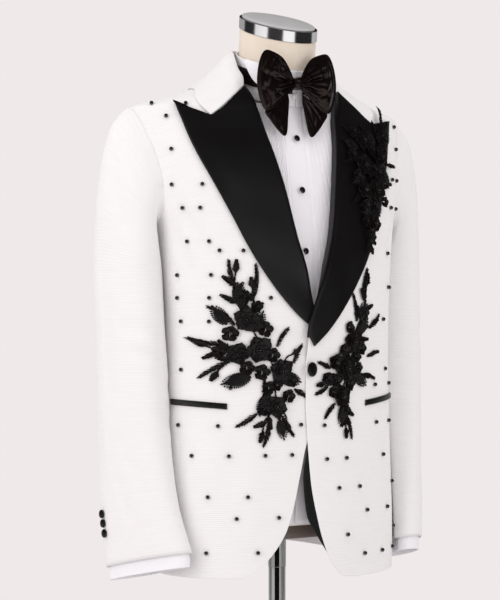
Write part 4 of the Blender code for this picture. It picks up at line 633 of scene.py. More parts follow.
def rib(tree, vector, pitch):
    """Level cords: a wave along v whose strength and place a stretched noise varies."""
    axes = add(tree, "ShaderNodeSeparateXYZ", {0: vector})
    sway = noise(tree, vector, 9.0, 1.0)
    cord = wave(tree, math_node(tree, "MULTIPLY_ADD", sway, 0.004, axes.outputs["Y"]), pitch)
    thick = noise(tree, stretched(tree, vector, (22.0, 330.0, 1.0)), 1.0, 2.0)
    strength = math_node(tree, "MULTIPLY_ADD", thick, SLUB, 1.0 - SLUB)
    fine = noise(tree, stretched(tree, vector, (900.0, 2100.0, 1.0)), 1.0, 1.0)
    body = math_node(tree, "MULTIPLY", cord, strength)
    return blend(tree, thick, body, 0.5), blend(tree, fine, body, 0.35)


def floats(tree, vector, thread):
    """Upright float threads, and a slow change of sheen over a hand's width."""
    fine = noise(tree, stretched(tree, vector, (3200.0, 160.0, 160.0)), 1.0, 2.0)
    streak = noise(tree, stretched(tree, vector, (260.0, 9.0, 9.0)), 1.0, 3.0)
    slow = noise(tree, vector, 16.0, 2.0)
    height = math_node(tree, "MULTIPLY", blend(tree, fine, slow, 0.6), thread)
    return blend(tree, streak, slow, 0.45), height


def plain(tree, vector, pitch):
    """Plain weave: two crossing waves, loosened by a noise."""
    axes = add(tree, "ShaderNodeSeparateXYZ", {0: vector})
    over = math_node(tree, "MULTIPLY", wave(tree, axes.outputs["X"], pitch),
                     wave(tree, axes.outputs["Y"], pitch))
    loose, slow = noise(tree, vector, 480.0, 2.0), noise(tree, vector, 22.0, 2.0)
    return blend(tree, slow, loose, 0.7), blend(tree, over, loose, 0.6)


def tangle(tree, vector, grain):
    """Tangled thread or fine grain: a rough noise over cells of thread ends."""
    rough = noise(tree, vector, grain, 4.0, 0.7)
    cells = add(tree, "ShaderNodeTexVoronoi", {"Vector": vector, "Scale": grain}).outputs[0]
    return blend(tree, noise(tree, vector, 40.0, 2.0), rough, 0.5), blend(tree, cells, rough, 0.5)


RIB = relief_group("level_rib", "Pitch", 0.0026, rib)
SATIN_FLOATS = relief_group("satin_floats", "Thread", 1.0, floats)
PLAIN = relief_group("plain_weave", "Pitch", 0.0007, plain)
TANGLE = relief_group("tangle", "Grain", 900.0, tangle)
print("relief groups:", ", ".join(group.name for group in (RIB, SATIN_FLOATS, PLAIN, TANGLE)))


# %% Finish maker
def finish(name, low, high, relief, values, roughness, bump, place="UV", **shader):
    """A material: the relief's shade mixes two colours and two roughnesses, and
    its height gives a bump of (strength, distance in metres)."""
    made = bpy.data.materials.new(name)
    made.use_nodes = True
    tree = made.node_tree
    body = tree.nodes["Principled BSDF"]
    coordinates = add(tree, "ShaderNodeTexCoord").outputs[place]
    group = add(tree, "ShaderNodeGroup", node_tree=relief)
    tree.links.new(coordinates, group.inputs[0])
    for key, value in values.items():
        group.inputs[key].default_value = value
    shade, height = group.outputs
    tree.links.new(mix_node(tree, shade, (*low, 1.0), (*high, 1.0)), body.inputs["Base Color"])
    tree.links.new(range_node(tree, shade, (0.0, 1.0), roughness), body.inputs["Roughness"])
    raised = add(tree, "ShaderNodeBump", {"Height": height, "Strength": bump[0], "Distance": bump[1]})
    tree.links.new(raised.outputs[0], body.inputs["Normal"])
    for key, value in shader.items():
        body.inputs[key.replace("_", " ")].default_value = value
    return made


WHITE_CLOTH = finish("ribbed_white_cloth", (0.8, 0.783, 0.786), (0.885, 0.872, 0.876), RIB,
                     {"Pitch": 0.0028}, (0.74, 0.88), (0.55, 0.0003),
                     Sheen_Weight=0.12, Sheen_Roughness=0.5, Specular_IOR_Level=0.3)
LAPEL_SATIN = finish("black_lapel_satin", (0.0022, 0.0016, 0.0018), (0.0048, 0.0038, 0.0042), SATIN_FLOATS,
                     {"Thread": 1.0}, (0.36, 0.46), (0.2, 0.00012),
                     Sheen_Weight=0.02, Sheen_Roughness=0.4, Specular_IOR_Level=0.55)
BUTTON_SATIN = finish("black_button_satin", (0.0022, 0.0016, 0.0018), (0.0048, 0.0038, 0.0042), TANGLE,
                      {"Grain": 900.0}, (0.36, 0.46),
                      (0.2, 0.00012), place="Object", Specular_IOR_Level=0.4)
BOW_SATIN = finish("black_bow_satin", (0.0026, 0.0012, 0.001), (0.006, 0.0034, 0.003), SATIN_FLOATS,
                   {"Thread": 1.0}, (0.22, 0.3), (0.2, 0.00012),
                   Sheen_Weight=0.0, Sheen_Roughness=0.35, Specular_IOR_Level=0.42,
                   Specular_Tint=(1.0, 0.82, 0.78, 1.0))
# black satin lining; its black also paints the shadow in the gap between the fronts
LINING_SATIN_AND_GAP_SHADE = finish("black_lining", (0.004, 0.0038, 0.0042), (0.008, 0.0075, 0.008), SATIN_FLOATS,
                      {"Thread": 0.8}, (0.38, 0.5), (0.15, 0.0001), Specular_IOR_Level=0.4)
PETAL = finish("black_crepe_petal", (0.0018, 0.0012, 0.0013), (0.01, 0.0068, 0.0068), TANGLE,
               {"Grain": 700.0}, (0.28, 0.46), (0.45, 0.0002), place="Object",
               Sheen_Weight=0.02, Sheen_Roughness=0.35, Specular_IOR_Level=0.34)
BEAD = finish("black_pearl", (0.0012, 0.001, 0.0011), (0.004, 0.0036, 0.0038), TANGLE, {"Grain": 260.0},
              (0.08, 0.14), (0.05, 0.0001), place="Object", Coat_Weight=1.0, Coat_Roughness=0.04,
              Specular_IOR_Level=0.8)
SHIRT_COTTON = finish("shirt_cotton", (0.85, 0.838, 0.872), (0.91, 0.9, 0.93), PLAIN, {"Pitch": 0.0008},
                      (0.62, 0.74), (0.25, 0.00012), Sheen_Weight=0.08, Sheen_Roughness=0.4,
                      Specular_IOR_Level=0.38)
SHIRT_PEARL = finish("shirt_button_pearl", (0.74, 0.72, 0.74), (0.9, 0.88, 0.9), TANGLE, {"Grain": 300.0},
                     (0.12, 0.25), (0.05, 0.0001), place="Object", Coat_Weight=0.5, Coat_Roughness=0.1)
ONYX = finish("stud_onyx", (0.003, 0.003, 0.0035), (0.008, 0.008, 0.009), TANGLE, {"Grain": 200.0},
              (0.06, 0.12), (0.03, 0.0001), place="Object", Coat_Weight=0.7, Coat_Roughness=0.04)
SILVER = finish("stud_silver", (0.62, 0.6, 0.58), (0.8, 0.78, 0.76), TANGLE, {"Grain": 400.0},
                (0.14, 0.26), (0.05, 0.0001), place="Object", Metallic=1.0)
CHROME = finish("ring_chrome", (0.86, 0.86, 0.87), (0.95, 0.95, 0.96), TANGLE, {"Grain": 30.0},
                (0.1, 0.16), (0.02, 0.0001), place="Object", Metallic=1.0)
CAP_GREY = finish("cap_grey", (0.46, 0.455, 0.46), (0.56, 0.555, 0.56), TANGLE, {"Grain": 1800.0},
                  (0.4, 0.52), (0.15, 0.0001), place="Object", Specular_IOR_Level=0.5)
FORM_JERSEY = finish("form_jersey", (0.72, 0.625, 0.515), (0.83, 0.735, 0.625), PLAIN, {"Pitch": 0.0011},
                     (0.7, 0.85), (0.35, 0.0002), Sheen_Weight=0.2, Sheen_Roughness=0.5,
                     Specular_IOR_Level=0.3)
FORM_BAND = finish("form_base_cloth", (0.105, 0.08, 0.068), (0.165, 0.132, 0.116), TANGLE, {"Grain": 900.0},
                   (0.55, 0.75), (0.4, 0.0003), place="Object", Sheen_Weight=0.1)
POLE_METAL = finish("pole_brushed", (0.46, 0.485, 0.475), (0.58, 0.605, 0.59), SATIN_FLOATS, {"Thread": 0.7},
                    (0.28, 0.42), (0.08, 0.0001), place="Object", Metallic=0.75)
# painted shade: a near-black finish that stands in for the shade inside the pole's groove
POLE_GROOVE_SHADE = finish("pole_groove", (0.001, 0.001, 0.0012), (0.003, 0.003, 0.003), TANGLE, {"Grain": 600.0},
                     (0.6, 0.75), (0.1, 0.0001), place="Object", Specular_IOR_Level=0.12)
BASE_METAL = finish("base_enamel", (0.2, 0.21, 0.208), (0.27, 0.28, 0.276), TANGLE, {"Grain": 1200.0},
                    (0.34, 0.46), (0.12, 0.0001), place="Object", Metallic=0.6)
print("finishes:", len(bpy.data.materials))


# %% [markdown]
# ## The jacket's hang
# Even a well pressed jacket isn't a smooth tube. Cloth pulls from the button
# towards the side seams, breaks softly under the arms and falls in long shallow
# folds to the hem. A fold is drawn as a line on the opened-out cloth, with a
# valley along it and a lower ridge on each side: -exp(-q^2) + 0.45 exp(-(|q| - 1.7)^2),
# where q is the distance from the line in widths of the fold. No two are alike.

# %% Folds
def folds(across, z, rows):
    """Depth of all folds at points of an opened-out cloth. A row says where a
    fold runs from and to, each as (across, z), and then its width and depth."""
    total = np.zeros(np.broadcast(across, z).shape)
    for a0, z0, a1, z1, width, depth in rows:
        run = np.array([a1 - a0, z1 - z0])
        length2 = float(run @ run)
        t = ((across - a0) * run[0] + (z - z0) * run[1]) / length2
        q = ((across - a0) * run[1] - (z - z0) * run[0]) / math.sqrt(length2) / width
        ends = ease(t / 0.35 + 0.15) * ease((1 - t) / 0.35 + 0.15)
        total += depth * ends * (-np.exp(-q**2) + 0.45 * np.exp(-(np.abs(q) - 1.7) ** 2))
    return total


# a degree is about 3 mm of cloth
ARC = 0.0031
JACKET_FOLDS = (
    (-10, 1.1, -46, 1.132, 0.0075, 0.0013), (-9, 1.086, -40, 1.064, 0.0085, 0.001),
    (-12, 1.118, -34, 1.196, 0.008, 0.0008), (8, 1.104, 42, 1.14, 0.0075, 0.0013),
    (9, 1.08, 44, 1.052, 0.009, 0.0011), (-61, 1.335, -49, 1.25, 0.011, 0.0018),
    (-68, 1.3, -60, 1.21, 0.012, 0.0014), (60, 1.33, 46, 1.24, 0.012, 0.0017),
    (70, 1.29, 62, 1.2, 0.011, 0.0013), (-38, 1.02, -44, 0.836, 0.021, 0.0014),
    (-68, 1.05, -73, 0.83, 0.02, 0.0016), (-20, 0.96, -24, 0.85, 0.018, 0.0008),
    (30, 1.0, 35, 0.84, 0.019, 0.0012), (60, 1.04, 65, 0.83, 0.021, 0.0015),
    (-50, 1.44, -38, 1.34, 0.013, 0.001), (49, 1.44, 40, 1.35, 0.013, 0.001),
    (130, 1.33, 166, 1.262, 0.014, 0.0022), (-127, 1.31, -160, 1.232, 0.015, 0.002),
    (150, 1.146, 174, 1.112, 0.012, 0.002), (-146, 1.136, -172, 1.102, 0.013, 0.0022),
    (122, 1.17, 150, 1.12, 0.013, 0.0015), (118, 1.01, 123, 0.835, 0.023, 0.0026),
    (-116, 1.02, -121, 0.84, 0.022, 0.0024), (156, 0.99, 158, 0.845, 0.021, 0.0022),
    (-152, 1.0, -157, 0.85, 0.02, 0.0024), (140, 1.44, 168, 1.4, 0.014, 0.0014),
    (-138, 1.446, -166, 1.412, 0.015, 0.0013), (137, 0.96, 141, 0.85, 0.02, 0.0018),
    (-134, 0.95, -138, 0.85, 0.018, 0.0016),
    (46, 1.25, 52, 0.93, 0.0022, 0.0006), (-46, 1.25, -52, 0.93, 0.0022, 0.0006),
    (128, 1.3, 136, 0.93, 0.0022, 0.0006), (-128, 1.3, -136, 0.93, 0.0022, 0.0006),
)


def on_arc(rows, arc_size):
    """Rows of folds with their degrees turned into metres of cloth."""
    return tuple((a0 * arc_size, z0, a1 * arc_size, z1, w, d) for a0, z0, a1, z1, w, d in rows)


JACKET_FOLDS = on_arc(JACKET_FOLDS, ARC)


STILL_TURN, FREE_TURN = 8.0, 16.0      # degrees each side of the arm


def hang(angle, z):
    """How far the jacket's cloth stands off its smooth surface. It is still
    where the arms lie against it and where the fronts overlap."""
    across = np.degrees(angle) * ARC
    beside = np.abs(np.abs(np.degrees(angle)) - 90.0)
    return folds(across, z, JACKET_FOLDS) * ramp(beside, STILL_TURN, FREE_TURN)


# %% Jacket sizes
SEAM = 0.0003                          # between two panels
RIDGE_SEAM = SEAM * 1.1                # at the side and the shoulder
CLOTH = 0.002
SATIN = 0.0024
ON_PANEL = 0.0012                      # how far what is sewn on stands off
LAP = 0.0028                           # of the left front over the right one
LAPEL_FOOT = 0.0034
HEM_Z = {-1: 0.804, 1: 0.796}
BACK_HEM_RISE = 0.032
UNDERARM_Z = 1.3
SHOULDER_END_Z = 1.464
NECK_POINT_Z = 1.511
NECK_BACK_Z = 1.527
LEVEL_Z = 1.315
SIDE_SHARE = {"front": 16 / 26, "back": 7 / 17}
FRONT_EDGE = {-1: (
    (0.81, -0.098), (0.826, -0.079), (0.87, -0.049), (0.949, -0.026), (0.99, -0.015), (1.02, 0.002),
    (1.06, 0.012), (1.11, 0.016), (1.155, 0.008), (1.183, -0.009), (1.2375, -0.019), (1.281, -0.031),
    (1.36, -0.0465), (1.42, -0.06), (1.495, -0.077), (1.511, -0.096),
), 1: (
    (0.801, 0.038), (0.826, 0.019), (0.873, 0.001), (0.936, -0.0113), (0.99, -0.015), (1.06, -0.018),
    (1.11, -0.018), (1.155, -0.014), (1.183, -0.004), (1.2375, 0.017), (1.281, 0.031), (1.36, 0.0465),
    (1.42, 0.06), (1.495, 0.077), (1.511, 0.096),
)}
LAPEL_EDGE = {-1: (
    (1.15, -0.005), (1.176, -0.036), (1.215, -0.069), (1.26, -0.097), (1.308, -0.12), (1.36, -0.144),
    (1.414, -0.166), (1.472, -0.18),
), 1: (
    (1.128, -0.009), (1.147, 0.012), (1.179, 0.04), (1.219, 0.073), (1.26, 0.099), (1.308, 0.122),
    (1.36, 0.143), (1.414, 0.163), (1.462, 0.18),
)}
NOTCH = (0.134, 1.452)
GORGE_TOP = (0.077, 1.4945)
ARMHOLE = ((1.3, 0.0), (1.306, 9.0), (1.318, 15.0), (1.34, 20.0), (1.37, 21.5), (1.4, 20.0),
           (1.43, 16.0), (1.45, 11.0), (1.46, 6.0), (1.464, 0.0))
armhole_angle = curve_through(ARMHOLE)
SIDE_NAMES = {-1: "right", 1: "left"}
MIRROR = {side: np.array([side, 1.0, 1.0]) for side in SIDE_NAMES}


# where each change starts and how long it takes
FOOT_STARTS, FOOT_ENDS, LAP_ENDS = (1.1, 0.03), (1.2, 0.07), (0.03, 0.05)
ROLL_STARTS, ROLL_TIGHTENS, COLLAR_OVER, BOW_OVER = (1.185, 0.06), (0.86, 0.14), (1.43, 0.03), (1.4, 0.03)


def left_lift(angle, z):
    """The left front lies over the right one, and over its lapel's foot."""
    x = JACKET.at(angle, z)[..., 0]
    foot = ramp(z, *FOOT_STARTS) * (1 - ramp(z, *FOOT_ENDS))
    return (LAP + LAPEL_FOOT * foot) * (1 - ramp(x, *LAP_ENDS))


def lift_of(side, angle, z):
    """How far a front stands off the jacket's surface."""
    return hang(angle, z) + (left_lift(angle, z) if side > 0 else 0.0)


def front_point(side, x, z, out):
    """A point over a front, at x and z, a distance above its cloth."""
    x, z = np.broadcast_arrays(np.asarray(x, float), np.asarray(z, float))
    angle = JACKET.front_angle(x, z)
    return JACKET.out(angle, z, lift_of(side, angle, z) + out)


# %% [markdown]
# ## Fronts and backs
# A front's pattern has five edges: hem with its round cutaway, front edge, side
# seam, armhole and shoulder. It is drawn as one grid between four of them, with
# the armhole as the upper part of the side. The alternative, one tube that is
# cut open, would lose the seams where the real cloth turns.

# %% Jacket panels
def straight(start, end):
    """An edge that runs straight from one (angle, height) to another."""
    return lambda t: tuple(a + (b - a) * t for a, b in zip(start, end))


def along(ridge, side, low, high):
    """An edge on a seam whose angle goes with its height."""
    def edge(t):
        z = low + (high - low) * t
        return side * ridge(z), z
    return edge


def end_of(edge, at):
    """One end of an edge: its angle and its height."""
    return [float(value) for value in edge(np.array(at))]


def past(v, share):
    """How far v has gone beyond a share, from 0 to 1."""
    return np.clip((v - share) / (1 - share), 0, 1)


ARM_MIDDLE_Z, ARM_HALF = (UNDERARM_Z + SHOULDER_END_Z) / 2, (SHOULDER_END_Z - UNDERARM_Z) / 2


def armhole_side(side, toward_back, share):
    """The edge of a panel from the hem up the side seam and round the armhole."""
    def edge(v):
        low = HEM_Z[side] + (UNDERARM_Z - HEM_Z[side]) * np.clip(v / share, 0, 1)
        z = np.where(v <= share, low, ARM_MIDDLE_Z - ARM_HALF * np.cos(past(v, share) * math.pi))
        opening = np.where(v <= share, 0.0, np.radians(armhole_angle(z)))
        angle = math.pi / 2 - opening - RIDGE_SEAM / JACKET.sizes(z)[0]
        return side * (math.pi - angle if toward_back else angle), z
    return edge


CUTAWAY_SHARE = 0.14                   # of the hem, which rises there to the front edge
NECK_SHARE = 0.06                      # of the shoulder, where the neckline turns onto it


def front_grid(side, v, u):
    """Angles and heights over a jacket front."""
    share = SIDE_SHARE["front"]
    table, hem = FRONT_EDGE[side], HEM_Z[side]
    x_at = curve_through(table)

    def left(v):
        z = np.interp(v, (0.0, share, 1.0), (table[0][0], LEVEL_Z, table[-1][0]))
        return JACKET.front_angle(x_at(z), z), z
    right = armhole_side(side, False, share)
    start, end, neck, shoulder = [end_of(edge, at) for at in (0.0, 1.0) for edge in (left, right)]

    def bottom(u):
        rise = np.clip(1 - u / CUTAWAY_SHARE, 0, 1) ** 2
        return start[0] + (end[0] - start[0]) * u, hem + (start[1] - hem) * rise

    def top(u):
        z = neck[1] + (shoulder[1] - neck[1]) * u
        ridge = side * (math.pi / 2 - RIDGE_SEAM / JACKET.sizes(z)[0])
        near = ease(u / NECK_SHARE)
        return neck[0] * (1 - near) + ridge * near, z
    return patch(left, right, bottom, top, v, u)


def back_ridge(z):
    """The angle of the back's shoulder seam."""
    return math.pi / 2 + RIDGE_SEAM / JACKET.sizes(z)[0]


def back_grid(side, v, u):
    """Angles and heights over half of the back, up to the neckline."""
    share, neck_share = SIDE_SHARE["back"], 1 - 3 / 17
    centre = math.pi - SEAM / 2 / 0.12
    right = armhole_side(side, True, share)

    def left(v):
        heights = (HEM_Z[side] + BACK_HEM_RISE, LEVEL_Z, NECK_BACK_Z)
        around = past(v, neck_share)
        z = np.interp(v, (0.0, share, neck_share), heights)
        z = z + (NECK_POINT_Z - NECK_BACK_Z) * ease(around)
        return side * (centre + (back_ridge(NECK_POINT_Z) - centre) * around), z
    a0, a1 = end_of(left, 0.0)[0], end_of(right, 0.0)[0]

    def bottom(u):
        return a0 + (a1 - a0) * u, HEM_Z[side] + BACK_HEM_RISE * (1 - ease(u))
    top = along(back_ridge, side, NECK_POINT_Z, SHOULDER_END_Z)
    return patch(left, right, bottom, top, v, u)


CORE = np.array([0.0, 0.02, 0.0])


def away_from_core(mid):
    """Directions away from the garment's upright core."""
    return (mid - CORE) * np.array([1.0, 1.0, 0.0])


def away_from_arm(mid):
    """Directions away from the middle of each ring of a sleeve."""
    return mid - mid.mean(axis=1, keepdims=True)


for side, hand in SIDE_NAMES.items():
    for kind, grid_of, columns in (("front", front_grid, 84), ("back", back_grid, 48)):
        grid = grid_of(side, stations(130, 0.0018), stations(columns, 0.005))
        angle, z = grid[..., 0], grid[..., 1]
        lift = lift_of(side, angle, z) if kind == "front" else hang(angle, z)
        middle = JACKET.out(angle, z, lift - CLOTH / 2)
        piece = cloth(f"{kind}_panel_{hand}", middle, CLOTH, WHITE_CLOTH, away_from_core(middle))
        settle(piece, "white_cloth", f"jacket_{kind}_{hand}")
        print(piece.name, "quads", len(piece.data.polygons))


# %% [markdown]
# ## Sleeves
# A sleeve is a tube that starts round the armhole, bulges over the sleeve head
# and turns down along the arm. Its rings go from the armhole's loop to level
# ovals by a Hermite curve, one for each station round the arm. The elbow's
# folds sit on the inside of the bend, where spare cloth collects.

# %% Sleeves
ARM_COLUMNS = ("z", "x", "y", "long", "short", "turn")
ARM_SECTIONS = (
    (0.82, 0.2135, -0.007, 0.075, 0.031, 66.0), (0.918, 0.2204, 0.0162, 0.069, 0.036, 74.0),
    (1.003, 0.2197, 0.0296, 0.068, 0.042, 82.0), (1.08, 0.2185, 0.0375, 0.068, 0.045, 88.0),
    (1.18, 0.2212, 0.0423, 0.066, 0.044, 90.0), (1.245, 0.223, 0.045, 0.063, 0.046, 90.0),
)
ARM = {name: curve_through(ARM_SECTIONS, i) for i, name in enumerate(ARM_COLUMNS) if i}
CAP_ROWS = 5
ARM_ROWS = 6
SLEEVE_HEM_Z = 0.826
SLEEVE_HEM_FALL = 0.24
SLEEVE_TOP_Z = 1.225
SLEEVE_CLEARANCE = 0.0035
UNDER_PANEL = 0.0016                   # seam allowance under the armhole's edge
UNDER_SKIN = 0.0012                    # and how deep it lies there
FIRST_STEP = np.array([0.0065, 0.0, 0.0])


def arm_oval(z, angle, inset=0.0):
    """Points of the arm's sections; angle 0 is outwards, 90 degrees is forwards."""
    a, b = ARM["long"](z) - inset, ARM["short"](z) - inset
    turned = angle + np.radians(ARM["turn"](z))
    reach = a * b / np.sqrt((b * np.cos(turned))**2 + (a * np.sin(turned))**2)
    x, y = ARM["x"](z) + reach * np.cos(angle), ARM["y"](z) - reach * np.sin(angle)
    return np.stack([x, y, z + 0 * reach], axis=-1)


def sleeve_rings(around, inset=0.0, clearance=SLEEVE_CLEARANCE):
    """Rings from the armhole to the hem, for the wearer's left arm."""
    angle = np.linspace(0, 2 * math.pi, around, endpoint=False)
    loop_z = ARM_MIDDLE_Z + ARM_HALF * np.cos(angle)
    off = np.radians(armhole_angle(loop_z)) * np.sign(np.sin(angle))
    shrink = 1 + (UNDER_PANEL - inset) / ARM_HALF
    start = JACKET.out(math.pi / 2 - off * shrink, ARM_MIDDLE_Z + (loop_z - ARM_MIDDLE_Z) * shrink,
                       -UNDER_SKIN - inset + 0 * angle)
    first = start + FIRST_STEP
    lower = arm_oval(np.full(around, SLEEVE_TOP_Z), angle, inset)
    share = (1 + np.cos(angle)) / 2
    pull = np.stack([0.04 + 0.085 * share, -0.012 * np.sin(angle), -0.05 + 0 * share], axis=-1)
    arrive = np.array([0.0, 0.0, -1.0]) * (0.05 + 0.24 * share)[:, None]
    rings = [start, first]
    for t in np.arange(1, CAP_ROWS + 1) / CAP_ROWS:
        w0, w1, w2, w3 = hermite(t)
        rings.append(w0 * first + w1 * pull + w2 * lower + w3 * arrive)
    for t in np.arange(1, ARM_ROWS + 1) / ARM_ROWS:
        level = np.full(around, SLEEVE_TOP_Z + (SLEEVE_HEM_Z - SLEEVE_TOP_Z) * t)
        ring = arm_oval(level, angle, inset)
        tilt = SLEEVE_HEM_FALL * ease((t - 0.35) / 0.65)
        ring[..., 2] = level - tilt * (ring[..., 1] - ARM["y"](level))
        rings.append(ring)
    rings = np.array(rings)
    rings[2:] = JACKET.hold_outside(rings[2:], clearance)
    return rings, angle


# 0 degrees is outwards and 90 forwards
ARM_ARC = 0.00125
SLEEVE_FOLDS = {-1: (
    (58, 1.128, 122, 1.09, 0.01, 0.0024), (70, 1.096, 134, 1.064, 0.009, 0.0019),
    (38, 1.16, 100, 1.146, 0.012, 0.0016),
    (30, 1.372, 74, 1.276, 0.015, 0.0018), (14, 1.3, 22, 1.01, 0.022, 0.0014),
    (52, 0.985, 84, 0.9, 0.015, 0.0014),
    (8, 0.96, 40, 0.88, 0.016, 0.0012), (300, 1.12, 236, 1.09, 0.013, 0.0022),
    (318, 1.38, 280, 1.29, 0.015, 0.0018),
    (330, 1.05, 320, 0.93, 0.02, 0.0014), (262, 1.06, 222, 1.03, 0.012, 0.0018),
    (86, 1.04, 130, 1.012, 0.011, 0.0015),
), 1: (
    (62, 1.112, 128, 1.078, 0.01, 0.0022), (44, 1.148, 108, 1.124, 0.012, 0.0017),
    (34, 1.36, 70, 1.262, 0.015, 0.0018),
    (24, 1.24, 30, 0.99, 0.022, 0.0013), (60, 0.96, 94, 0.886, 0.015, 0.0014),
    (304, 1.136, 240, 1.104, 0.013, 0.002),
    (322, 1.37, 284, 1.274, 0.015, 0.0018), (334, 1.02, 322, 0.91, 0.02, 0.0014),
    (84, 1.06, 126, 1.04, 0.011, 0.0014),
)}
VENT = (316.0, 0.832, 316.0, 0.945, 0.0016, 0.0008)


def sleeve_grid(side, around=84, finer=10):
    """The middle grid of a sleeve: refined rings, folds and a sunk seam at the head."""
    rings, angle = sleeve_rings(around)
    fine = spline(rings, finer)
    outward = unit(fine - fine.mean(axis=1, keepdims=True))
    across = np.degrees(angle)[None, :] * ARM_ARC
    depth = folds(across, fine[..., 2], on_arc(SLEEVE_FOLDS[side] + (VENT,), ARM_ARC))
    start = np.arange(len(fine))[:, None]
    depth = depth * ease((start - 2 * finer) / (1.5 * finer))
    fine = fine + outward * (depth - CLOTH / 2)[..., None]
    fine[2 * finer:] = JACKET.hold_outside(fine[2 * finer:], SLEEVE_CLEARANCE - UNDER_SKIN)
    return fine * MIRROR[side]


for side, hand in SIDE_NAMES.items():
    middle = sleeve_grid(side)
    piece = cloth(f"sleeve_{hand}", middle, CLOTH, WHITE_CLOTH, away_from_arm(middle), around=True)
    settle(piece, "white_cloth", f"jacket_sleeve_{hand}")
    print(piece.name, "quads", len(piece.data.polygons))


# %% [markdown]
# ## Lapels and collar
# A peaked lapel is the front itself, turned out along the roll line and faced
# with satin. It's flat near its edge, swells towards the roll and disappears in
# behind it. The collar falls over its own stand round the neck and meets both
# lapels at the gorge seam, where its ends lie flat.

# %% Lapels
LAPEL_V = np.linspace(0, 1, 110)
PEAK_SHARES = (0.0, 0.42, 1.0)         # of the lapel's top: its peak, the notch, the gorge's end
TIP_SLOPE = 0.012
BREAK_DEPTH, ROLL_SWELL, UNDER_COLLAR, ROLL_TIGHT = 0.0005, 0.003, 0.0016, 0.45
# the roll's outer and inner columns: out, up where it's full, up where it's flat
FOLD_STEPS = (((0.0034, 0.0042, 0.003), (0.0012, 0.0016, 0.0004)),
              ((0.0044, 0.001, 0.0018), (0.0022, -0.0008, 0.0003)),
              ((0.0046, -0.0075, 0.0008), (0.0022, -0.0075, 0.0001)))


def lapel_piece(side):
    """The flat part is a patch between edge and roll line; three more columns
    carry it round the roll, and a spline across smooths the turn."""
    edge_table, fold_table = LAPEL_EDGE[side], FRONT_EDGE[side]
    x_edge, x_fold = curve_through(edge_table), curve_through(fold_table)
    low, high = edge_table[0][0], edge_table[-1][0]

    def left(v):
        z = low + (high - low) * v
        return x_edge(z), z

    def right(v):
        z = low + TIP_SLOPE + (GORGE_TOP[1] - low - TIP_SLOPE) * v
        return x_fold(z), z

    def top(u):
        xs, zs = zip((abs(edge_table[-1][1]), high), NOTCH, GORGE_TOP)
        return side * np.interp(u, PEAK_SHARES, xs), np.interp(u, PEAK_SHARES, zs)
    bottom = straight(left(np.array(0.0)), right(np.array(0.0)))
    share = np.linspace(0, 1, 26)
    grid = patch(left, right, bottom, top, LAPEL_V, share)
    x, z = grid[..., 0], grid[..., 1]
    full = ramp(z, *ROLL_STARTS)
    # a soft break runs down the lapel, and its edge is pressed thin
    soft = BREAK_DEPTH * np.sin(z * 61.0 + 1.3 * side) * share * (1 - share) * 4
    rise = ON_PANEL + SATIN + ROLL_SWELL * full * share**3 + UNDER_COLLAR * ramp(z, *COLLAR_OVER) + soft
    fold_x, fold_z = x[:, -1], z[:, -1]
    base = front_point(side, fold_x, fold_z, 0.0)
    normal = JACKET.normal(JACKET.front_angle(fold_x, fold_z), fold_z)
    turn = unit(np.cross(np.gradient(base, axis=0), normal))
    turn = turn * (-side * np.sign(turn[:, :1]))
    full = full[:, -1:]
    tight = 1 - ROLL_TIGHT * ramp(LAPEL_V, *ROLL_TIGHTENS)[:, None]
    faces = []
    for which, lift in enumerate((rise, rise - SATIN)):
        face = front_point(side, x, z, lift)
        columns = [face[:, -2], face[:, -1]]
        for step in FOLD_STEPS:
            out, up, flat = step[which]
            columns.append(base + turn * out * tight + normal * (full * up + (1 - full) * flat))
        roll = spline(np.stack(columns, axis=1), 6, axis=1)[:, 7:]
        faces.append(np.concatenate([face, roll], axis=1)[:, ::-side])
    return wall(f"lapel_{SIDE_NAMES[side]}", *faces, LAPEL_SATIN)


for side, hand in SIDE_NAMES.items():
    piece = settle(lapel_piece(side), "black_satin", f"jacket_lapel_{hand}")
    print(piece.name, "quads", len(piece.data.polygons))


# %% Collar
COLLAR_COLUMNS = ("share", "fold_x", "fold_y", "fold_z", "edge_angle", "edge_z", "foot_x", "foot_y", "foot_z")
COLLAR_SECTIONS = (
    (0.0, 0.077, -0.042, 1.503, 38.5, 1.4575, 0.0735, -0.04, 1.497),
    (0.1, 0.0798, -0.0315, 1.5125, 42.0, 1.469, 0.076, -0.029, 1.5015),
    (0.2, 0.08, -0.02, 1.523, 52.0, 1.48, 0.078, -0.017, 1.506),
    (0.42, 0.0695, 0.018, 1.551, 82.0, 1.497, 0.085, 0.023, 1.515),
    (0.62, 0.0555, 0.046, 1.559, 117.0, 1.499, 0.0665, 0.055, 1.524),
    (0.8, 0.0325, 0.0665, 1.562, 146.0, 1.506, 0.039, 0.072, 1.529),
    (1.0, 0.0, 0.0745, 1.5635, 180.0, 1.513, 0.0, 0.0775, 1.531),
)
GORGE_SEAM = 0.0012
COLLAR_CLOTH = 0.0022
GORGE_OUTER, GORGE_INNER = 0.0036, 0.0014
EDGE_OFF = 0.0025
# across share, swell, away and up of each row, outside and inside, from fall to stand
COLLAR_ROWS = (((0.66, -0.0026, 0.0, 0.0), (0.66, -0.0048, 0.0, 0.0)),
               ((0.33, -0.0024, 0.0, 0.0), (0.33, -0.0046, 0.0, 0.0)),
               ((0.1, 0.0006, 0.0, 0.0), (0.12, -0.0012, 0.0, 0.0)),
               ((0.0, 0.0, -0.003, 0.0015), (0.0, 0.0, -0.0002, -0.0022)),
               ((0.0, 0.0, -0.0055, -0.003), (0.0, 0.0, -0.003, -0.0042)))


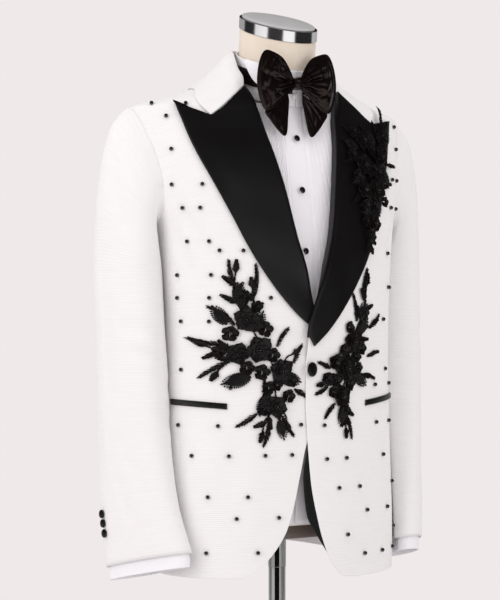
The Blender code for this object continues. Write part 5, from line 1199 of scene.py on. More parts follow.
def gorge_row(side, share, out):
    """A point of the collar's end, along the gorge and just above the lapel."""
    x, z = (np.interp(share, (0.0, 1.0), (top, notch)) for top, notch in zip(GORGE_TOP, NOTCH))
    slope = math.atan2(NOTCH[0] - GORGE_TOP[0], GORGE_TOP[1] - NOTCH[1])
    seam = GORGE_SEAM * (1.8 - 0.8 * share)
    return front_point(side, side * (x + seam * math.cos(slope)), z + seam * math.sin(slope), out)


def collar_grids(count=19):
    """Outer and inner grids: edge, fall, fold and stand, from the right end to the left."""
    s = np.linspace(-1, 1, count)
    col = {name: curve_through(COLLAR_SECTIONS, i)(1 - np.abs(s))
           for i, name in enumerate(COLLAR_COLUMNS) if i}
    side = np.sign(s)
    fold, foot = [np.stack([side * col[f"{row}_x"], col[f"{row}_y"], col[f"{row}_z"]], axis=-1)
                  for row in ("fold", "foot")]
    angle = np.radians(np.where(side == 0, 1.0, side) * col["edge_angle"])
    edge = JACKET.out(angle, col["edge_z"], np.full(count, EDGE_OFF))
    for end, at in ((0, -1), (-1, 1)):
        fold[end], edge[end] = gorge_row(at, 0.0, 0.004), gorge_row(at, 1.0, GORGE_OUTER)
    across = edge - fold
    swell = unit(np.cross(across, np.gradient(fold + edge, axis=0)))
    swell = swell * np.sign(swell[:, 2:3])
    away = unit(across * np.array([1.0, 1.0, 0.0]))
    up = np.array([0.0, 0.0, 1.0])
    faces = []
    for which, (first, last) in enumerate(((edge, foot),
                                           (edge - swell * COLLAR_CLOTH, foot + away * COLLAR_CLOTH))):
        rows = [fold + across * a + swell * b + away * c + up * d
                for a, b, c, d in (row[which] for row in COLLAR_ROWS)]
        faces.append(np.stack([first, *rows, last], axis=1))
    outer, inner = faces
    for end, at in ((0, -1), (-1, 1)):
        beyond = -across[end] / np.linalg.norm(across[end])
        for row, reach in ((4, 0.0012), (5, 0.0024), (6, 0.0036)):
            outer[end, row] = fold[end] + beyond * reach
            inner[end, row] = fold[end] + beyond * reach - swell[end] * 0.0018
        for row, share in ((0, 1.0), (1, 0.66), (2, 0.33), (3, 0.1)):
            outer[end, row] = gorge_row(at, share, GORGE_OUTER)
            inner[end, row] = gorge_row(at, share, GORGE_INNER)
    return [spline(spline(grid, 7), 8, axis=1) for grid in (outer, inner)]


collar = settle(wall("collar", *collar_grids(), WHITE_CLOTH), "white_cloth", "jacket_collar")
print(collar.name, "quads", len(collar.data.polygons))


# %% [markdown]
# ## Lining, pocket welts and buttons
# The cutaway shows a strip of black lining. Its black is partly the lining's own and partly painted shade: it
# stands in for the shadow in the gap between the fronts. A welt is a narrow satin band that is turned in at
# both ends and stands slightly off the cloth. The buttons are
# domes covered in satin, whose cloth is gathered under the rim, so a faint
# ring of tucks shows at the edge.

# %% Lining and welts
LINING_EDGE = (
    (0.835, 0.016), (0.868, -0.007), (0.887, -0.0175), (0.915, -0.0215), (0.9405, -0.0225),
    (0.965, -0.0185), (0.985, -0.0125), (1.0, -0.004), (1.03, 0.012),
)
lining_z = np.linspace(0.835, 1.03, 60)[:, None]
lining_x = curve_through(LINING_EDGE)(lining_z) + 0.095 * stations(30, 0.01)[None, :]
lining_z = lining_z + 0 * lining_x
# the lining sits where the gap between the fronts lies in shadow, so its black is partly satin and partly
# painted shade
middle = front_point(1, lining_x, lining_z, -CLOTH - 0.0016 - 0.0004 * np.sin(lining_x * 90.0))
lining = cloth("lining_left", middle, 0.0012, LINING_SATIN_AND_GAP_SHADE, np.array([0.0, -1.0, 0.0]))
settle(lining, "black_lining", "jacket_lining_left")

WELT_HEIGHT = 0.0085
WELT_END = 0.02                        # share of its length that rounds off
# x and height of both ends
WELTS = {-1: (0.129, 0.1808, 1.04, 1.045), 1: (0.09, 0.165, 1.04, 1.047)}


def welt_piece(side):
    """A satin band with softly rounded long edges: a half ellipse across."""
    near_x, far_x, near_z, far_z = WELTS[side]
    share = stations(50, WELT_END)[None, :]
    lift = np.linspace(0, 1, 13)[:, None]
    bent = 1 - (1 - share) ** 2
    x = side * (near_x + (far_x - near_x) * bent) + 0 * lift
    z = near_z + (far_z - near_z) * bent + WELT_HEIGHT * lift
    ends = np.sqrt(1 - (1 - np.clip(np.minimum(share, 1 - share) / WELT_END, 0, 1)) ** 2)
    oval = np.sqrt(np.maximum(1 - (2 * lift - 1) ** 4, 0.0))
    bulge = (0.0006 + 0.0016 * oval) * (0.3 + 0.7 * ends)
    faces = [front_point(side, x, z, ON_PANEL + off)[:, ::-side] for off in (bulge, -0.0002 + 0 * x)]
    return wall(f"pocket_welt_{SIDE_NAMES[side]}", *faces, LAPEL_SATIN)


for side, hand in SIDE_NAMES.items():
    settle(welt_piece(side), "black_satin", f"jacket_welt_{hand}")


# %% Discs, domes and rings
def disc(centre, normal, radius, profile, around=40, tucks=0.0, tuck_count=0):
    """Corners, quads and triangles of a turned form: rows of (share of radius,
    height) from its foot to its top, closed at both ends. tucks is the depth of
    the gathers on its rim, strongest low down."""
    normal = unit(np.asarray(normal, float))
    side = unit(np.cross(normal, (0.0, 0.0, 1.0)))
    rise = np.cross(side, normal)
    a = np.linspace(0, 2 * math.pi, around, endpoint=False)
    rows = np.asarray(profile, float)
    height = rows[:, 1][:, None]
    low = 1 - ease(height / rows[-1, 1])
    share = rows[:, 0][:, None] * (1 + tucks * np.cos(a * tuck_count) * low)
    spoke = side * np.cos(a)[None, :, None] + rise * np.sin(a)[None, :, None]
    ring = np.asarray(centre) + normal * height[..., None] + spoke * (radius * share)[..., None]
    verts, quads, triangles = stack(ring)
    return verts, quads[:, ::-1], triangles[:, ::-1]


def dome(height):
    """A covered button's profile: a short straight side, then a flat ellipse."""
    side = [(0.7, 0.0006), (0.94, 0.0014), (1.0, 0.0026)]
    top = [(math.cos(a) ** 0.75 * 0.98 + 0.002, 0.0028 + (height - 0.0006 - 0.0022) * math.sin(a))
           for a in np.linspace(0, math.pi / 2, 9)[1:]]
    return np.array(side + top)


# %% Buttons
FRONT_BUTTON = (-0.011, 1.095, 0.0105)
CUFF_BUTTON_Z = (0.889, 0.876, 0.862)
CUFF_BUTTON_ANGLE = math.radians(-44)
CUFF_BUTTON_RADIUS = 0.0062
BUTTON_HEIGHT = 0.006
FRONT_BUTTON_FACES = (0.36, -0.93, 0.0)

x, z, radius = FRONT_BUTTON
angle = JACKET.front_angle(np.array(x), np.array(z))
centre = JACKET.out(angle, np.array(z), LAP + ON_PANEL)
part = disc(centre, FRONT_BUTTON_FACES, radius, dome(BUTTON_HEIGHT), 54, 0.02, 18)
settle(joined("front_button", [part], BUTTON_SATIN), "black_satin", "jacket_front_button")

for side, hand in SIDE_NAMES.items():
    parts = []
    for z in CUFF_BUTTON_Z:
        place = arm_oval(np.full(3, z), CUFF_BUTTON_ANGLE + np.array([-0.02, 0.0, 0.02]))
        away = unit(np.cross(place[2] - place[0], (0.0, 0.0, 1.0)))
        away = away * np.sign(away[0])
        parts.append(disc((place[1] + away * 0.0006) * MIRROR[side], away * MIRROR[side],
                          CUFF_BUTTON_RADIUS, dome(BUTTON_HEIGHT), 40, 0.025, 14))
    buttons = joined(f"cuff_buttons_{hand}", parts, BUTTON_SATIN)
    settle(buttons, "black_satin", *[f"cuff_button_{hand}_{i}" for i in (1, 2, 3)])
print("buttons sewn on")


# %% [markdown]
# ## Black pearl beads
# Round beads of about six millimetres are sewn over both fronts, wide apart and
# in no strict order. A bead is a small sphere that sinks slightly into the
# cloth.

# %% Beads
BEAD_ROWS = (
    (-1, 1.47, (-0.205, -0.165)), (-1, 1.452, (-0.192,)), (-1, 1.405, (-0.19,)),
    (-1, 1.355, (-0.19, -0.157)),
    (-1, 1.322, (-0.16, -0.179)), (-1, 1.275, (-0.172, -0.15)), (-1, 1.262, (-0.138, -0.108)),
    (-1, 1.228, (-0.178, -0.148)), (-1, 1.196, (-0.177, -0.15, -0.072)), (-1, 1.163, (-0.15, -0.174)),
    (-1, 1.15, (-0.05,)), (-1, 1.095, (-0.174,)), (-1, 1.07, (-0.125,)),
    (-1, 1.017, (-0.178, -0.14, -0.025)),
    (-1, 0.975, (-0.168, -0.128, -0.08, -0.04)), (-1, 0.918, (-0.153, -0.105)),
    (-1, 0.888, (-0.062, -0.12)),
    (-1, 0.84, (-0.155, -0.092)), (1, 1.455, (0.198,)), (1, 1.42, (0.192,)), (1, 1.372, (0.186, 0.168)),
    (1, 1.33, (0.16, 0.185)), (1, 1.262, (0.152, 0.182)), (1, 1.212, (0.175, 0.15)),
    (1, 1.165, (0.132,)),
    (1, 1.092, (0.142,)), (1, 1.07, (0.112, 0.156)), (1, 1.015, (0.012, 0.115, 0.152)),
    (1, 0.967, (0.05, 0.015, 0.13)), (1, 0.925, (0.075, 0.035, 0.158)), (1, 0.89, (0.138, 0.09)),
    (1, 0.858, (0.05, 0.165)), (1, 0.828, (0.125, 0.085, 0.16)),
)
BEAD_RADIUS = 0.0031
BEAD_RISE = 0.62                       # height of its middle, in radii

for side, hand in SIDE_NAMES.items():
    places = np.array([(x, z) for at, z, xs in BEAD_ROWS if at == side for x in xs])
    centres = front_point(side, places[:, 0], places[:, 1], BEAD_RADIUS * BEAD_RISE)
    beads = joined(f"pearls_{hand}", [balls(centres, BEAD_RADIUS, 14, 7)], BEAD)
    settle(beads, "black_lace")
    print(beads.name, len(centres))


# %% [markdown]
# ## The dress shirt
# A dress shirt is cut like the jacket but lighter: two fronts, a back below a
# yoke in two halves, a stiff placket, a bib of fine tucks and a wing collar. The
# tucks are a saw-tooth across the bib: each rises slowly and drops in a third of
# a millimetre, so that side light draws a fine line at every tuck.

# %% Shirt panels
CENTRE_X = -0.006
SHIRT_CLOTH = 0.0012
SHIRT_RIM = 0.0008                     # radius of its turned edges
SHIRT_HEM_Z, SHIRT_ARM_Z, SHIRT_SHOULDER_Z = 0.873, 1.27, 1.45
SHIRT_NECK_Z, SHIRT_NECK_BACK_Z, SHIRT_FRONT_NECK_Z = 1.4985, 1.505, 1.474
YOKE_Z = 1.396
SHIRT_FOLDS = ((-0.04, 0.99, -0.02, 0.88, 0.012, 0.0016), (0.028, 1.0, 0.034, 0.88, 0.012, 0.0018),
               (-0.09, 1.1, -0.12, 0.9, 0.016, 0.0018), (0.085, 1.08, 0.11, 0.89, 0.016, 0.0016),
               (0.004, 0.96, 0.006, 0.876, 0.008, 0.001))


def shirt_ridge(z):
    """The angle of the side and shoulder seams, by height."""
    return math.pi / 2 - 0.0012 / SHIRT.sizes(z)[0]


def shirt_front_grid(side, v, u):
    """A shirt front: its inner edge is the centre line, then the neckline."""
    share, neck_share = 8 / 14, 11 / 14

    def right(v):
        z = np.interp(v, (0.0, share, 1.0), (SHIRT_HEM_Z, SHIRT_ARM_Z, SHIRT_SHOULDER_Z))
        t = np.clip((z - SHIRT_ARM_Z) / (SHIRT_SHOULDER_Z - SHIRT_ARM_Z), 0, 1)
        return side * (shirt_ridge(z) - math.radians(20) * np.sin(math.pi * t)), z

    def left(v):
        z = np.interp(v, (0.0, share, neck_share), (SHIRT_HEM_Z, 1.29, SHIRT_FRONT_NECK_Z))
        centre = SHIRT.front_angle(CENTRE_X + side * SEAM / 2 + 0 * z, z)
        around = past(v, neck_share)
        z = z + (SHIRT_NECK_Z - SHIRT_FRONT_NECK_Z) * around**2
        return centre + (side * shirt_ridge(SHIRT_NECK_Z) - centre) * around, z
    bottom = straight((end_of(left, 0.0)[0], SHIRT_HEM_Z), (end_of(right, 0.0)[0], SHIRT_HEM_Z))
    top = along(shirt_ridge, side, SHIRT_NECK_Z, SHIRT_SHOULDER_Z)
    return patch(left, right, bottom, top, v, u)


def yoke_grid(side, v, u):
    """Half of the yoke: its inner edge is the centre seam, then the neckline."""
    centre, neck_share = math.pi - SEAM / 2 / 0.1, 1 - 3 / 5
    low = YOKE_Z + SEAM

    def behind(z):
        return math.pi - shirt_ridge(z)

    def left(v):
        around = past(v, neck_share)
        z = np.interp(v, (0.0, neck_share), (low, SHIRT_NECK_BACK_Z))
        z = z + (SHIRT_NECK_Z - SHIRT_NECK_BACK_Z) * around**2
        return side * (centre + (behind(SHIRT_NECK_Z) - centre) * around), z
    right = along(behind, side, low, SHIRT_SHOULDER_Z)
    bottom = straight((side * centre, low), (side * behind(YOKE_Z), low))
    top = along(behind, side, SHIRT_NECK_Z, SHIRT_SHOULDER_Z)
    return patch(left, right, bottom, top, v, u)


def shirt_panel(name, node, angle, z):
    """A shirt panel from angles and heights, with its soft folds."""
    across = SHIRT.at(angle, z)[..., 0]
    soft = np.where(np.cos(angle) > 0, folds(across, z, SHIRT_FOLDS), 0.0)
    middle = SHIRT.out(angle, z, soft - SHIRT_CLOTH / 2)
    piece = cloth(name, middle, SHIRT_CLOTH, SHIRT_COTTON, away_from_core(middle), edge=SHIRT_RIM)
    return settle(piece, "shirt_cloth", node)


for side, hand in SIDE_NAMES.items():
    grid = shirt_front_grid(side, stations(56, 0.0015), stations(36, 0.004))
    shirt_panel(f"shirt_front_panel_{hand}", f"shirt_front_{hand}", grid[..., 0], grid[..., 1])
    grid = yoke_grid(side, stations(22, 0.004), stations(26, 0.004))
    shirt_panel(f"shirt_yoke_half_{hand}", f"shirt_yoke_{hand}", grid[..., 0], grid[..., 1])
ridge = float(shirt_ridge(np.array(YOKE_Z)))
angle = math.pi + (2 * stations(60, 0.002) - 1)[None, :] * ridge
z = (SHIRT_HEM_Z + (YOKE_Z - SEAM - SHIRT_HEM_Z) * stations(40, 0.0015))[:, None]
shirt_panel("shirt_back_panel", "shirt_back", *np.broadcast_arrays(angle, z))


# %% Bib, placket and their stitching
TUCKS = 24
TUCK_PITCH = 0.0024
TUCK_HEIGHT = 0.00105
TUCK_SHARES = np.array([0.0, 0.03, 0.4, 0.82, 0.87])
TUCK_RISES = (0.0, 0.18, 0.65, 1.0, 0.92)
BIB_START = 0.0185
UNDER_PLACKET = 0.003                 # how far the first tuck starts under it
BIB_LOW_Z, BIB_HIGH_Z = 1.13, 1.4715


def shirt_point(x, z, out):
    """A point over the shirt's front."""
    x, z = np.broadcast_arrays(np.asarray(x, float), np.asarray(z, float))
    return SHIRT.out(SHIRT.front_angle(x, z), z, out)


def bib_piece(side):
    """A tuck rises over 86 % of its pitch and drops over the rest; each is a
    little uneven along its length."""
    steps = (np.arange(TUCKS)[:, None] + TUCK_SHARES[None, :]).reshape(-1)
    rise = np.tile(TUCK_RISES, TUCKS) * TUCK_HEIGHT
    z = np.linspace(BIB_LOW_Z, BIB_HIGH_Z, 50)[:, None]
    x = CENTRE_X + side * (BIB_START + TUCK_PITCH * steps)[None, :]
    x = x + 0.00012 * np.sin(z * 55.0 + steps[None, :] * 1.7)
    z = z + 0 * x
    uneven = 1 + 0.18 * np.sin(z * 83.0 + np.floor(steps)[None, :] * 2.1)
    x[:, 0] -= side * UNDER_PLACKET
    outer = shirt_point(x, z, 0.0027 + 0.0003 + rise[None, :] * uneven)
    inner = shirt_point(x, z, 0.0017 + 0 * x)
    if side < 0:
        outer, inner = outer[:, ::-1], inner[:, ::-1]
    return wall(f"pleated_bib_{SIDE_NAMES[side]}", outer, inner, SHIRT_COTTON, sharp=52)


for side, hand in SIDE_NAMES.items():
    settle(bib_piece(side), "shirt_cloth", f"shirt_bib_{hand}")

PLACKET_HALF = 0.0175
PLACKET_HIGH_Z = 1.4738
PLACKET_CLOTH = 0.0022


def placket_rise(z):
    """The placket stands off a little more under the bow."""
    return 0.0016 * ramp(z, *BOW_OVER)


def placket_piece():
    """A folded band with an edge stitched down 6 mm in: a shallow groove at
    each side, exp(-(d / 0.6 mm)^2) deep."""
    share = stations(44, 0.02)
    across = (2 * share - 1)[None, :] * PLACKET_HALF
    z = np.linspace(SHIRT_HEM_Z + 0.002, PLACKET_HIGH_Z, 90)[:, None] + 0 * across
    groove = 0.0002 * np.exp(-((np.abs(across) - (PLACKET_HALF - 0.006)) / 0.0006) ** 2)
    slope = np.where(across > 0, 0.008, 0.0016)
    room = np.clip((PLACKET_HALF - np.abs(across)) / slope, 0, 1)
    body = PLACKET_CLOTH * np.sqrt(1 - (1 - room) ** 2).clip(0.12)
    off = ON_PANEL + placket_rise(z)
    x = CENTRE_X + across + 0 * z
    faces = [shirt_point(x, z, lift) for lift in (off + body - groove, off + 0 * z)]
    return wall("placket", *faces, SHIRT_COTTON)


settle(placket_piece(), "shirt_cloth", "shirt_placket")


# %% Studs
STUDS = (1.423, 1.349, 1.262)
STUD_RADIUS = 0.0048
STUD_RIM = ((0.55, -0.0014), (0.6, 0.0002), (0.97, 0.0004), (1.0, 0.0009), (1.0, 0.0019),
            (0.96, 0.0024), (0.84, 0.0026))
STUD_FACE = ((0.8, 0.0022), (0.88, 0.0028), (0.8, 0.0035), (0.6, 0.004), (0.3, 0.0043))
for i, z in enumerate(STUDS):
    angle = SHIRT.front_angle(np.array(CENTRE_X), np.array(z))
    normal = SHIRT.normal(angle, np.array(z))
    centre = shirt_point(CENTRE_X, z, 2 * ON_PANEL + PLACKET_CLOTH + 0.0004 + placket_rise(z))
    rim = disc(centre, normal, STUD_RADIUS * 1.04, STUD_RIM)
    face = disc(centre, normal, STUD_RADIUS, STUD_FACE)
    settle(joined(f"stud_rim_{i + 1}", [rim], SILVER, sharp=40), "stud", f"shirt_stud_{i + 1}")
    settle(joined(f"stud_face_{i + 1}", [face], ONYX), "stud")


# %% [markdown]
# ## Neck band, wings and cuffs
# The collar is a stiff band round the neck, higher at the back, whose two front
# corners are folded out as wings. The wings lie over the bow tie's band. Cuffs
# are plain bands inside the sleeves' ends, and only their lowest part shows.

# %% Shirt collar and cuffs
def neck_middle(z):
    """The neck's axis leans forward as it rises."""
    return 0.006 - 0.009 * (z - 1.49) / 0.1


def neck_band(name, radius, low, high, back_rise, thickness, gap, material, bulge=0.0):
    """An open band round the neck, with its ends `gap` apart at the front."""
    a = (gap + (2 * math.pi - 2 * gap) * stations(96, 0.004))[None, :]
    up = stations(16, 0.03)[:, None]
    rise = (1 - np.cos(a)) / 2
    z = low + back_rise[0] * rise + (high - low + (back_rise[1] - back_rise[0]) * rise) * up
    r = radius - thickness / 2 + bulge * np.sin(math.pi * up)
    middle = np.stack([r * np.sin(a), neck_middle(z) - r * np.cos(a), z], axis=-1)
    return cloth(name, middle, thickness, material, away_from_core(middle), edge=0.0012)


BAND_RADIUS = 0.0605
BACK_RISE = 0.043                      # how much higher the band's top is at the back
band = neck_band("shirt_band", BAND_RADIUS, 1.4724, 1.5235, (0.039, BACK_RISE), 0.0018, 0.004, SHIRT_COTTON)
settle(band, "shirt_cloth", "shirt_collar_band")

WING_START = {-1: 16.0, 1: 9.0}        # degrees from the front
WING_TURNS = (26.0, 37.0, 48.0, 60.0, 74.0)
WING_DROPS = np.array((0.0315, 0.033, 0.0345, 0.033, 0.025, 0.004))
WING_TOP_Z, WING_RADIUS, WING_FLARE = 1.5255, 0.0649, 0.0045
for side, hand in SIDE_NAMES.items():
    angles = np.radians((WING_START[side], *WING_TURNS))
    tops = WING_TOP_Z + BACK_RISE * (1 - np.cos(angles)) / 2
    rows = []
    for share in (1.0, 0.5, 0.0):
        z = tops - WING_DROPS * share
        radius = WING_RADIUS + WING_FLARE * share
        rows.append(np.stack([side * radius * np.sin(angles),
                              neck_middle(z) - radius * np.cos(angles), z], axis=-1))
    grid = spline(spline(np.array(rows), 12), 14, axis=1)
    wing = cloth(f"collar_wing_{hand}", grid, SHIRT_CLOTH, SHIRT_COTTON, away_from_core(grid), edge=SHIRT_RIM)
    settle(wing, "shirt_cloth", f"shirt_collar_wing_{hand}")

COLLAR_BUTTON_Z = 1.486
BUTTON_PROFILE = ((0.75, 0.0), (0.97, 0.0002), (1.0, 0.0008), (0.96, 0.0014), (0.86, 0.0017), (0.76, 0.0013),
                  (0.66, 0.0012), (0.6, 0.0016), (0.3, 0.0017))
centre = (CENTRE_X / 2, neck_middle(COLLAR_BUTTON_Z) - BAND_RADIUS - ON_PANEL / 2, COLLAR_BUTTON_Z)
part = disc(centre, (0.0, -1.0, 0.0), STUD_RADIUS, BUTTON_PROFILE, 36)
settle(joined("collar_button", [part], SHIRT_PEARL), "shirt_button", "shirt_collar_button")


CUFF_SHOWS, CUFF_LENGTH, CUFF_INSET = 0.0185, 0.075, 0.005 + 0.0008
ARM_INSET = 0.01


def cuff_grid(around=88):
    """The middle grid of a shirt cuff for the wearer's left arm."""
    angle = np.linspace(0, 2 * math.pi, around, endpoint=False)
    share = stations(26, 0.012)[:, None]
    level = SLEEVE_HEM_Z - CUFF_SHOWS + CUFF_LENGTH * share + 0 * angle
    held = np.maximum(level, ARM_SECTIONS[0][0])
    ring = arm_oval(held, angle[None, :] + 0 * held, CUFF_INSET)
    ring[..., 2] = level - SLEEVE_HEM_FALL * (ring[..., 1] - ARM["y"](held))
    return JACKET.hold_outside(ring, SLEEVE_CLEARANCE + CUFF_INSET)


def shirt_sleeve_grid(around=44):
    """The shirt's sleeve, a plain tube inside the jacket's."""
    rings = sleeve_rings(around, ARM_INSET, SLEEVE_CLEARANCE + ARM_INSET)[0]
    return spline(rings[[5, 7, 9, 11, 12]], 10)


for side, hand in SIDE_NAMES.items():
    grid = cuff_grid() * MIRROR[side]
    cuff = cloth(f"cuff_{hand}", grid, 0.0016, SHIRT_COTTON, away_from_arm(grid), around=True)
    settle(cuff, "shirt_cloth", f"shirt_cuff_{hand}")
    grid = shirt_sleeve_grid() * MIRROR[side]
    grid = grid - unit(away_from_arm(grid)) * SHIRT_CLOTH / 2
    tube = cloth(f"shirt_arm_{hand}", grid, SHIRT_CLOTH, SHIRT_COTTON, away_from_arm(grid), around=True)
    settle(tube, "shirt_cloth", f"shirt_sleeve_{hand}")
print("shirt pieces done")


# %% [markdown]
# ## The bow tie
# A bow is one strip, folded into loops and pinched by its knot. So each loop is
# ruled: lines run from the short pinched edge at the knot to every place on the
# outline. Along such a line the loop rises fast, is fullest past the middle and
# closes at its rim. Gathers are valleys along chosen lines, deepest near the
# knot, and a seam runs round the loop some four millimetres inside its rim.

# %% Bow
KNOT = np.array([-0.0085, -0.066, 1.503])
WING_OUTLINE = (
    (-0.0075, 0.009), (-0.013, 0.022), (-0.024, 0.0365), (-0.04, 0.044), (-0.052, 0.045),
    (-0.06, 0.034),
    (-0.065, 0.015), (-0.066, -0.006), (-0.062, -0.025), (-0.054, -0.04), (-0.042, -0.038),
    (-0.028, -0.028), (-0.017, -0.017), (-0.0075, -0.009),
)
TAIL_OUTLINE = (
    (-0.013, -0.015), (-0.026, -0.023), (-0.04, -0.033), (-0.052, -0.042), (-0.043, -0.056),
    (-0.033, -0.068), (-0.023, -0.076), (-0.018, -0.069), (-0.015, -0.05), (-0.012, -0.031),
)
# share of the way round, half width in shares, depth in mm, and where along the line it's deepest
WING_GATHERS = {-1: (
    (0.22, 0.02, 2.6, 0.35), (0.31, 0.03, 3.4, 0.4), (0.4, 0.018, 2.0, 0.3), (0.49, 0.034, 4.2, 0.45),
    (0.585, 0.02, 2.2, 0.3), (0.66, 0.03, 3.2, 0.42), (0.75, 0.022, 2.4, 0.36), (0.83, 0.018, 1.6, 0.3),
), 1: (
    (0.19, 0.02, 2.2, 0.34), (0.28, 0.026, 3.0, 0.42), (0.37, 0.02, 2.4, 0.3), (0.45, 0.03, 3.8, 0.4),
    (0.545, 0.022, 2.4, 0.34), (0.63, 0.034, 4.0, 0.46), (0.73, 0.02, 2.2, 0.32),
    (0.81, 0.022, 2.0, 0.34),
)}
TAIL_GATHERS = {-1: ((0.3, 0.035, 1.1, 0.3), (0.47, 0.045, 1.5, 0.45), (0.62, 0.03, 1.0, 0.35)),
                1: ((0.26, 0.035, 1.0, 0.35), (0.42, 0.04, 1.5, 0.4), (0.57, 0.04, 1.2, 0.5),
                    (0.7, 0.025, 0.8, 0.3))}


# dents of the satin: centre, half sizes, turn in degrees and depth in millimetres
WING_DENTS = {-1: ((-0.027, 0.019, 0.0085, 0.006, 35.0, 7.5), (-0.043, -0.002, 0.012, 0.006, 20.0, 7.0),
                   (-0.05, 0.03, 0.014, 0.0022, 62.0, 3.4), (-0.04, 0.03, 0.012, 0.002, 40.0, 3.0),
                   (-0.03, -0.017, 0.013, 0.0024, -30.0, 4.0),
                   (-0.048, -0.021, 0.012, 0.0026, -62.0, 4.2),
                   (-0.056, 0.012, 0.0024, 0.014, 6.0, 2.8), (-0.019, 0.002, 0.007, 0.0016, -8.0, 3.0)),
              1: ((-0.028, 0.002, 0.006, 0.0085, 10.0, 6.5), (-0.039, 0.018, 0.003, 0.011, -24.0, 4.6),
                  (-0.048, -0.016, 0.003, 0.013, 12.0, 4.2), (-0.032, -0.021, 0.01, 0.0022, -42.0, 4.0),
                  (-0.05, 0.026, 0.012, 0.0022, 60.0, 3.2), (-0.056, 0.004, 0.002, 0.013, -4.0, 2.6),
                  (-0.02, 0.014, 0.009, 0.0018, 44.0, 3.4), (-0.019, -0.006, 0.007, 0.0016, 14.0, 3.0))}
TAIL_DENTS = {-1: ((-0.027, -0.046, 0.016, 0.005, 62.0, 2.2), (-0.037, -0.04, 0.012, 0.0022, 48.0, 1.6),
                   (-0.02, -0.033, 0.009, 0.002, 70.0, 1.6)),
              1: ((-0.025, -0.042, 0.017, 0.0024, 70.0, 1.8),
                  (-0.034, -0.044, 0.012, 0.0026, 52.0, 1.7),
                  (-0.022, -0.06, 0.01, 0.002, 80.0, 1.5))}


def dents_at(flat, dents):
    """How deep the dents are at each point of a flat grid."""
    deep = np.zeros(flat.shape[:-1])
    for cx, cz, rx, rz, turn, depth in dents:
        c, s = math.cos(math.radians(turn)), math.sin(math.radians(turn))
        dx, dz = flat[..., 0] - cx, flat[..., 1] - cz
        along, across = dx * c + dz * s, -dx * s + dz * c
        bent = across + 0.18 * along**2 / max(rx, rz)
        deep += depth * 0.001 * np.exp(-(along / rx) ** 2 - (bent / rz) ** 2)
    return deep


def outline_curve(outline, count):
    """An outline walked evenly, and smoothed a little at its corners."""
    fine = spline(np.asarray(outline, float), 12)
    walked = arc(fine[None], 1)[0]
    t = np.linspace(0, walked[-1], count)
    return np.stack([np.interp(t, walked, fine[:, k]) for k in (0, 1)], axis=-1)


def distance_to(line, points):
    """The least distance from each point of a grid to a line of short steps."""
    return np.min(np.linalg.norm(points[..., None, :] - line[None, None], axis=-1), axis=-1)


SEAM_DEPTH, SEAM_INSET = 0.0006, 0.0042
# how far inside its rim a loop is full, its gathers are deep and its dents are
FULL_REACH, ROOM_REACH, DENT_REACH = 0.021, 0.006, 0.009
MM, RIDGE_MM = 0.001, 0.0004
CREASES = 9
CREASE_LOW, CREASE_HIGH = (0.12, 0.01, 0.5, 0.2), (0.88, 0.022, 1.5, 0.8)


def bow_piece(name, side, outline, root, gathers, dents, puff, pinch, depth, lean, rim=0.0016):
    """A loop or tail between a short root edge at the knot and its outline."""
    rows, cols = (130, 44) if "loop" in name else (90, 32)
    edge = outline_curve(outline, rows)
    u = np.linspace(0, 1, rows)[:, None]
    high, low = np.asarray(root)
    start = high + (low - high) * u
    v = (1 - (1 - np.linspace(0, 1, cols)) ** 1.25)[None, :]
    flat = start[:, None] + (edge - start)[:, None] * v[..., None]
    reach = distance_to(outline_curve(outline, 420), flat)
    full = ease(reach / FULL_REACH) ** 0.85
    swell = rim * 0.5 + (puff - rim * 0.5) * full * (pinch + (1 - pinch) * ease(v / 0.5))
    cut, ridge = np.zeros_like(swell), np.zeros_like(swell)
    for at, width, deep, peak in gathers:
        q = (u - at - 0.012 * np.sin(v * 5.0 + at * 40.0)) / width
        along = np.exp(-((v - peak) / 0.34) ** 2) * (0.35 + 0.65 * np.sin(math.pi * v.clip(0, 1)) ** 0.6)
        cut += deep * MM * along * np.exp(-q**2)
        ridge += deep * RIDGE_MM * along * np.exp(-(np.abs(q) - 1.6) ** 2)
    room = np.clip(reach / ROOM_REACH, 0, 1)
    seam = (SEAM_DEPTH * np.exp(-((reach - SEAM_INSET) / 0.0007) ** 2)
            - SEAM_DEPTH / 2 * np.exp(-((reach - 0.0026) / 0.0012) ** 2))
    cut += dents_at(flat, dents) * ease(reach / DENT_REACH)
    rng = np.random.default_rng(len(name) + 5)
    for at, width, deep, peak in rng.uniform(CREASE_LOW, CREASE_HIGH, (CREASES, 4)):
        q = (u - at - 0.03 * np.sin(v * 4.0 + at * 55.0)) / width
        cut += deep * MM * np.exp(-((v - peak) / 0.16) ** 2 - q**2)
    front = np.maximum(swell - cut * room, rim * 0.35) + ridge * room - seam * (v > 0.25)
    back = swell * 0.55
    x = KNOT[0] - side * flat[..., 0]
    y = KNOT[1] + depth + lean * flat[..., 1]
    z = KNOT[2] + flat[..., 1]
    faces = [np.stack([x, y + off, z], axis=-1)[:, ::side] for off in (-front, back)]
    return wall(name, *faces, BOW_SATIN)


# the edge at the knot, then fullness, its share at the knot, place behind it and lean
WING_SHAPE = ((-0.006, 0.008), (-0.006, -0.008)), (0.0128, 0.46, -0.004, 0.03)
TAIL_SHAPE = ((-0.012, -0.014), (-0.0115, -0.026)), (0.0042, 0.8, 0.0035, 0.14, 0.002)
for side, hand in SIDE_NAMES.items():
    for kind, outline, (root, shape), gathers, dents, node in (
            ("loop", WING_OUTLINE, WING_SHAPE, WING_GATHERS, WING_DENTS, "wing"),
            ("end", TAIL_OUTLINE, TAIL_SHAPE, TAIL_GATHERS, TAIL_DENTS, "tail")):
        part = bow_piece(f"bow_{kind}_{hand}", side, outline, root, gathers[side], dents[side], *shape)
        settle(part, "bow_satin", f"bow_{node}_{hand}")


# share of the way forward, half width and half height
KNOT_PROFILE = ((0.0, 0.007, 0.0062), (0.15, 0.0098, 0.0086), (0.6, 0.0102, 0.0092),
                (0.9, 0.0082, 0.0074), (1.0, 0.004, 0.004))


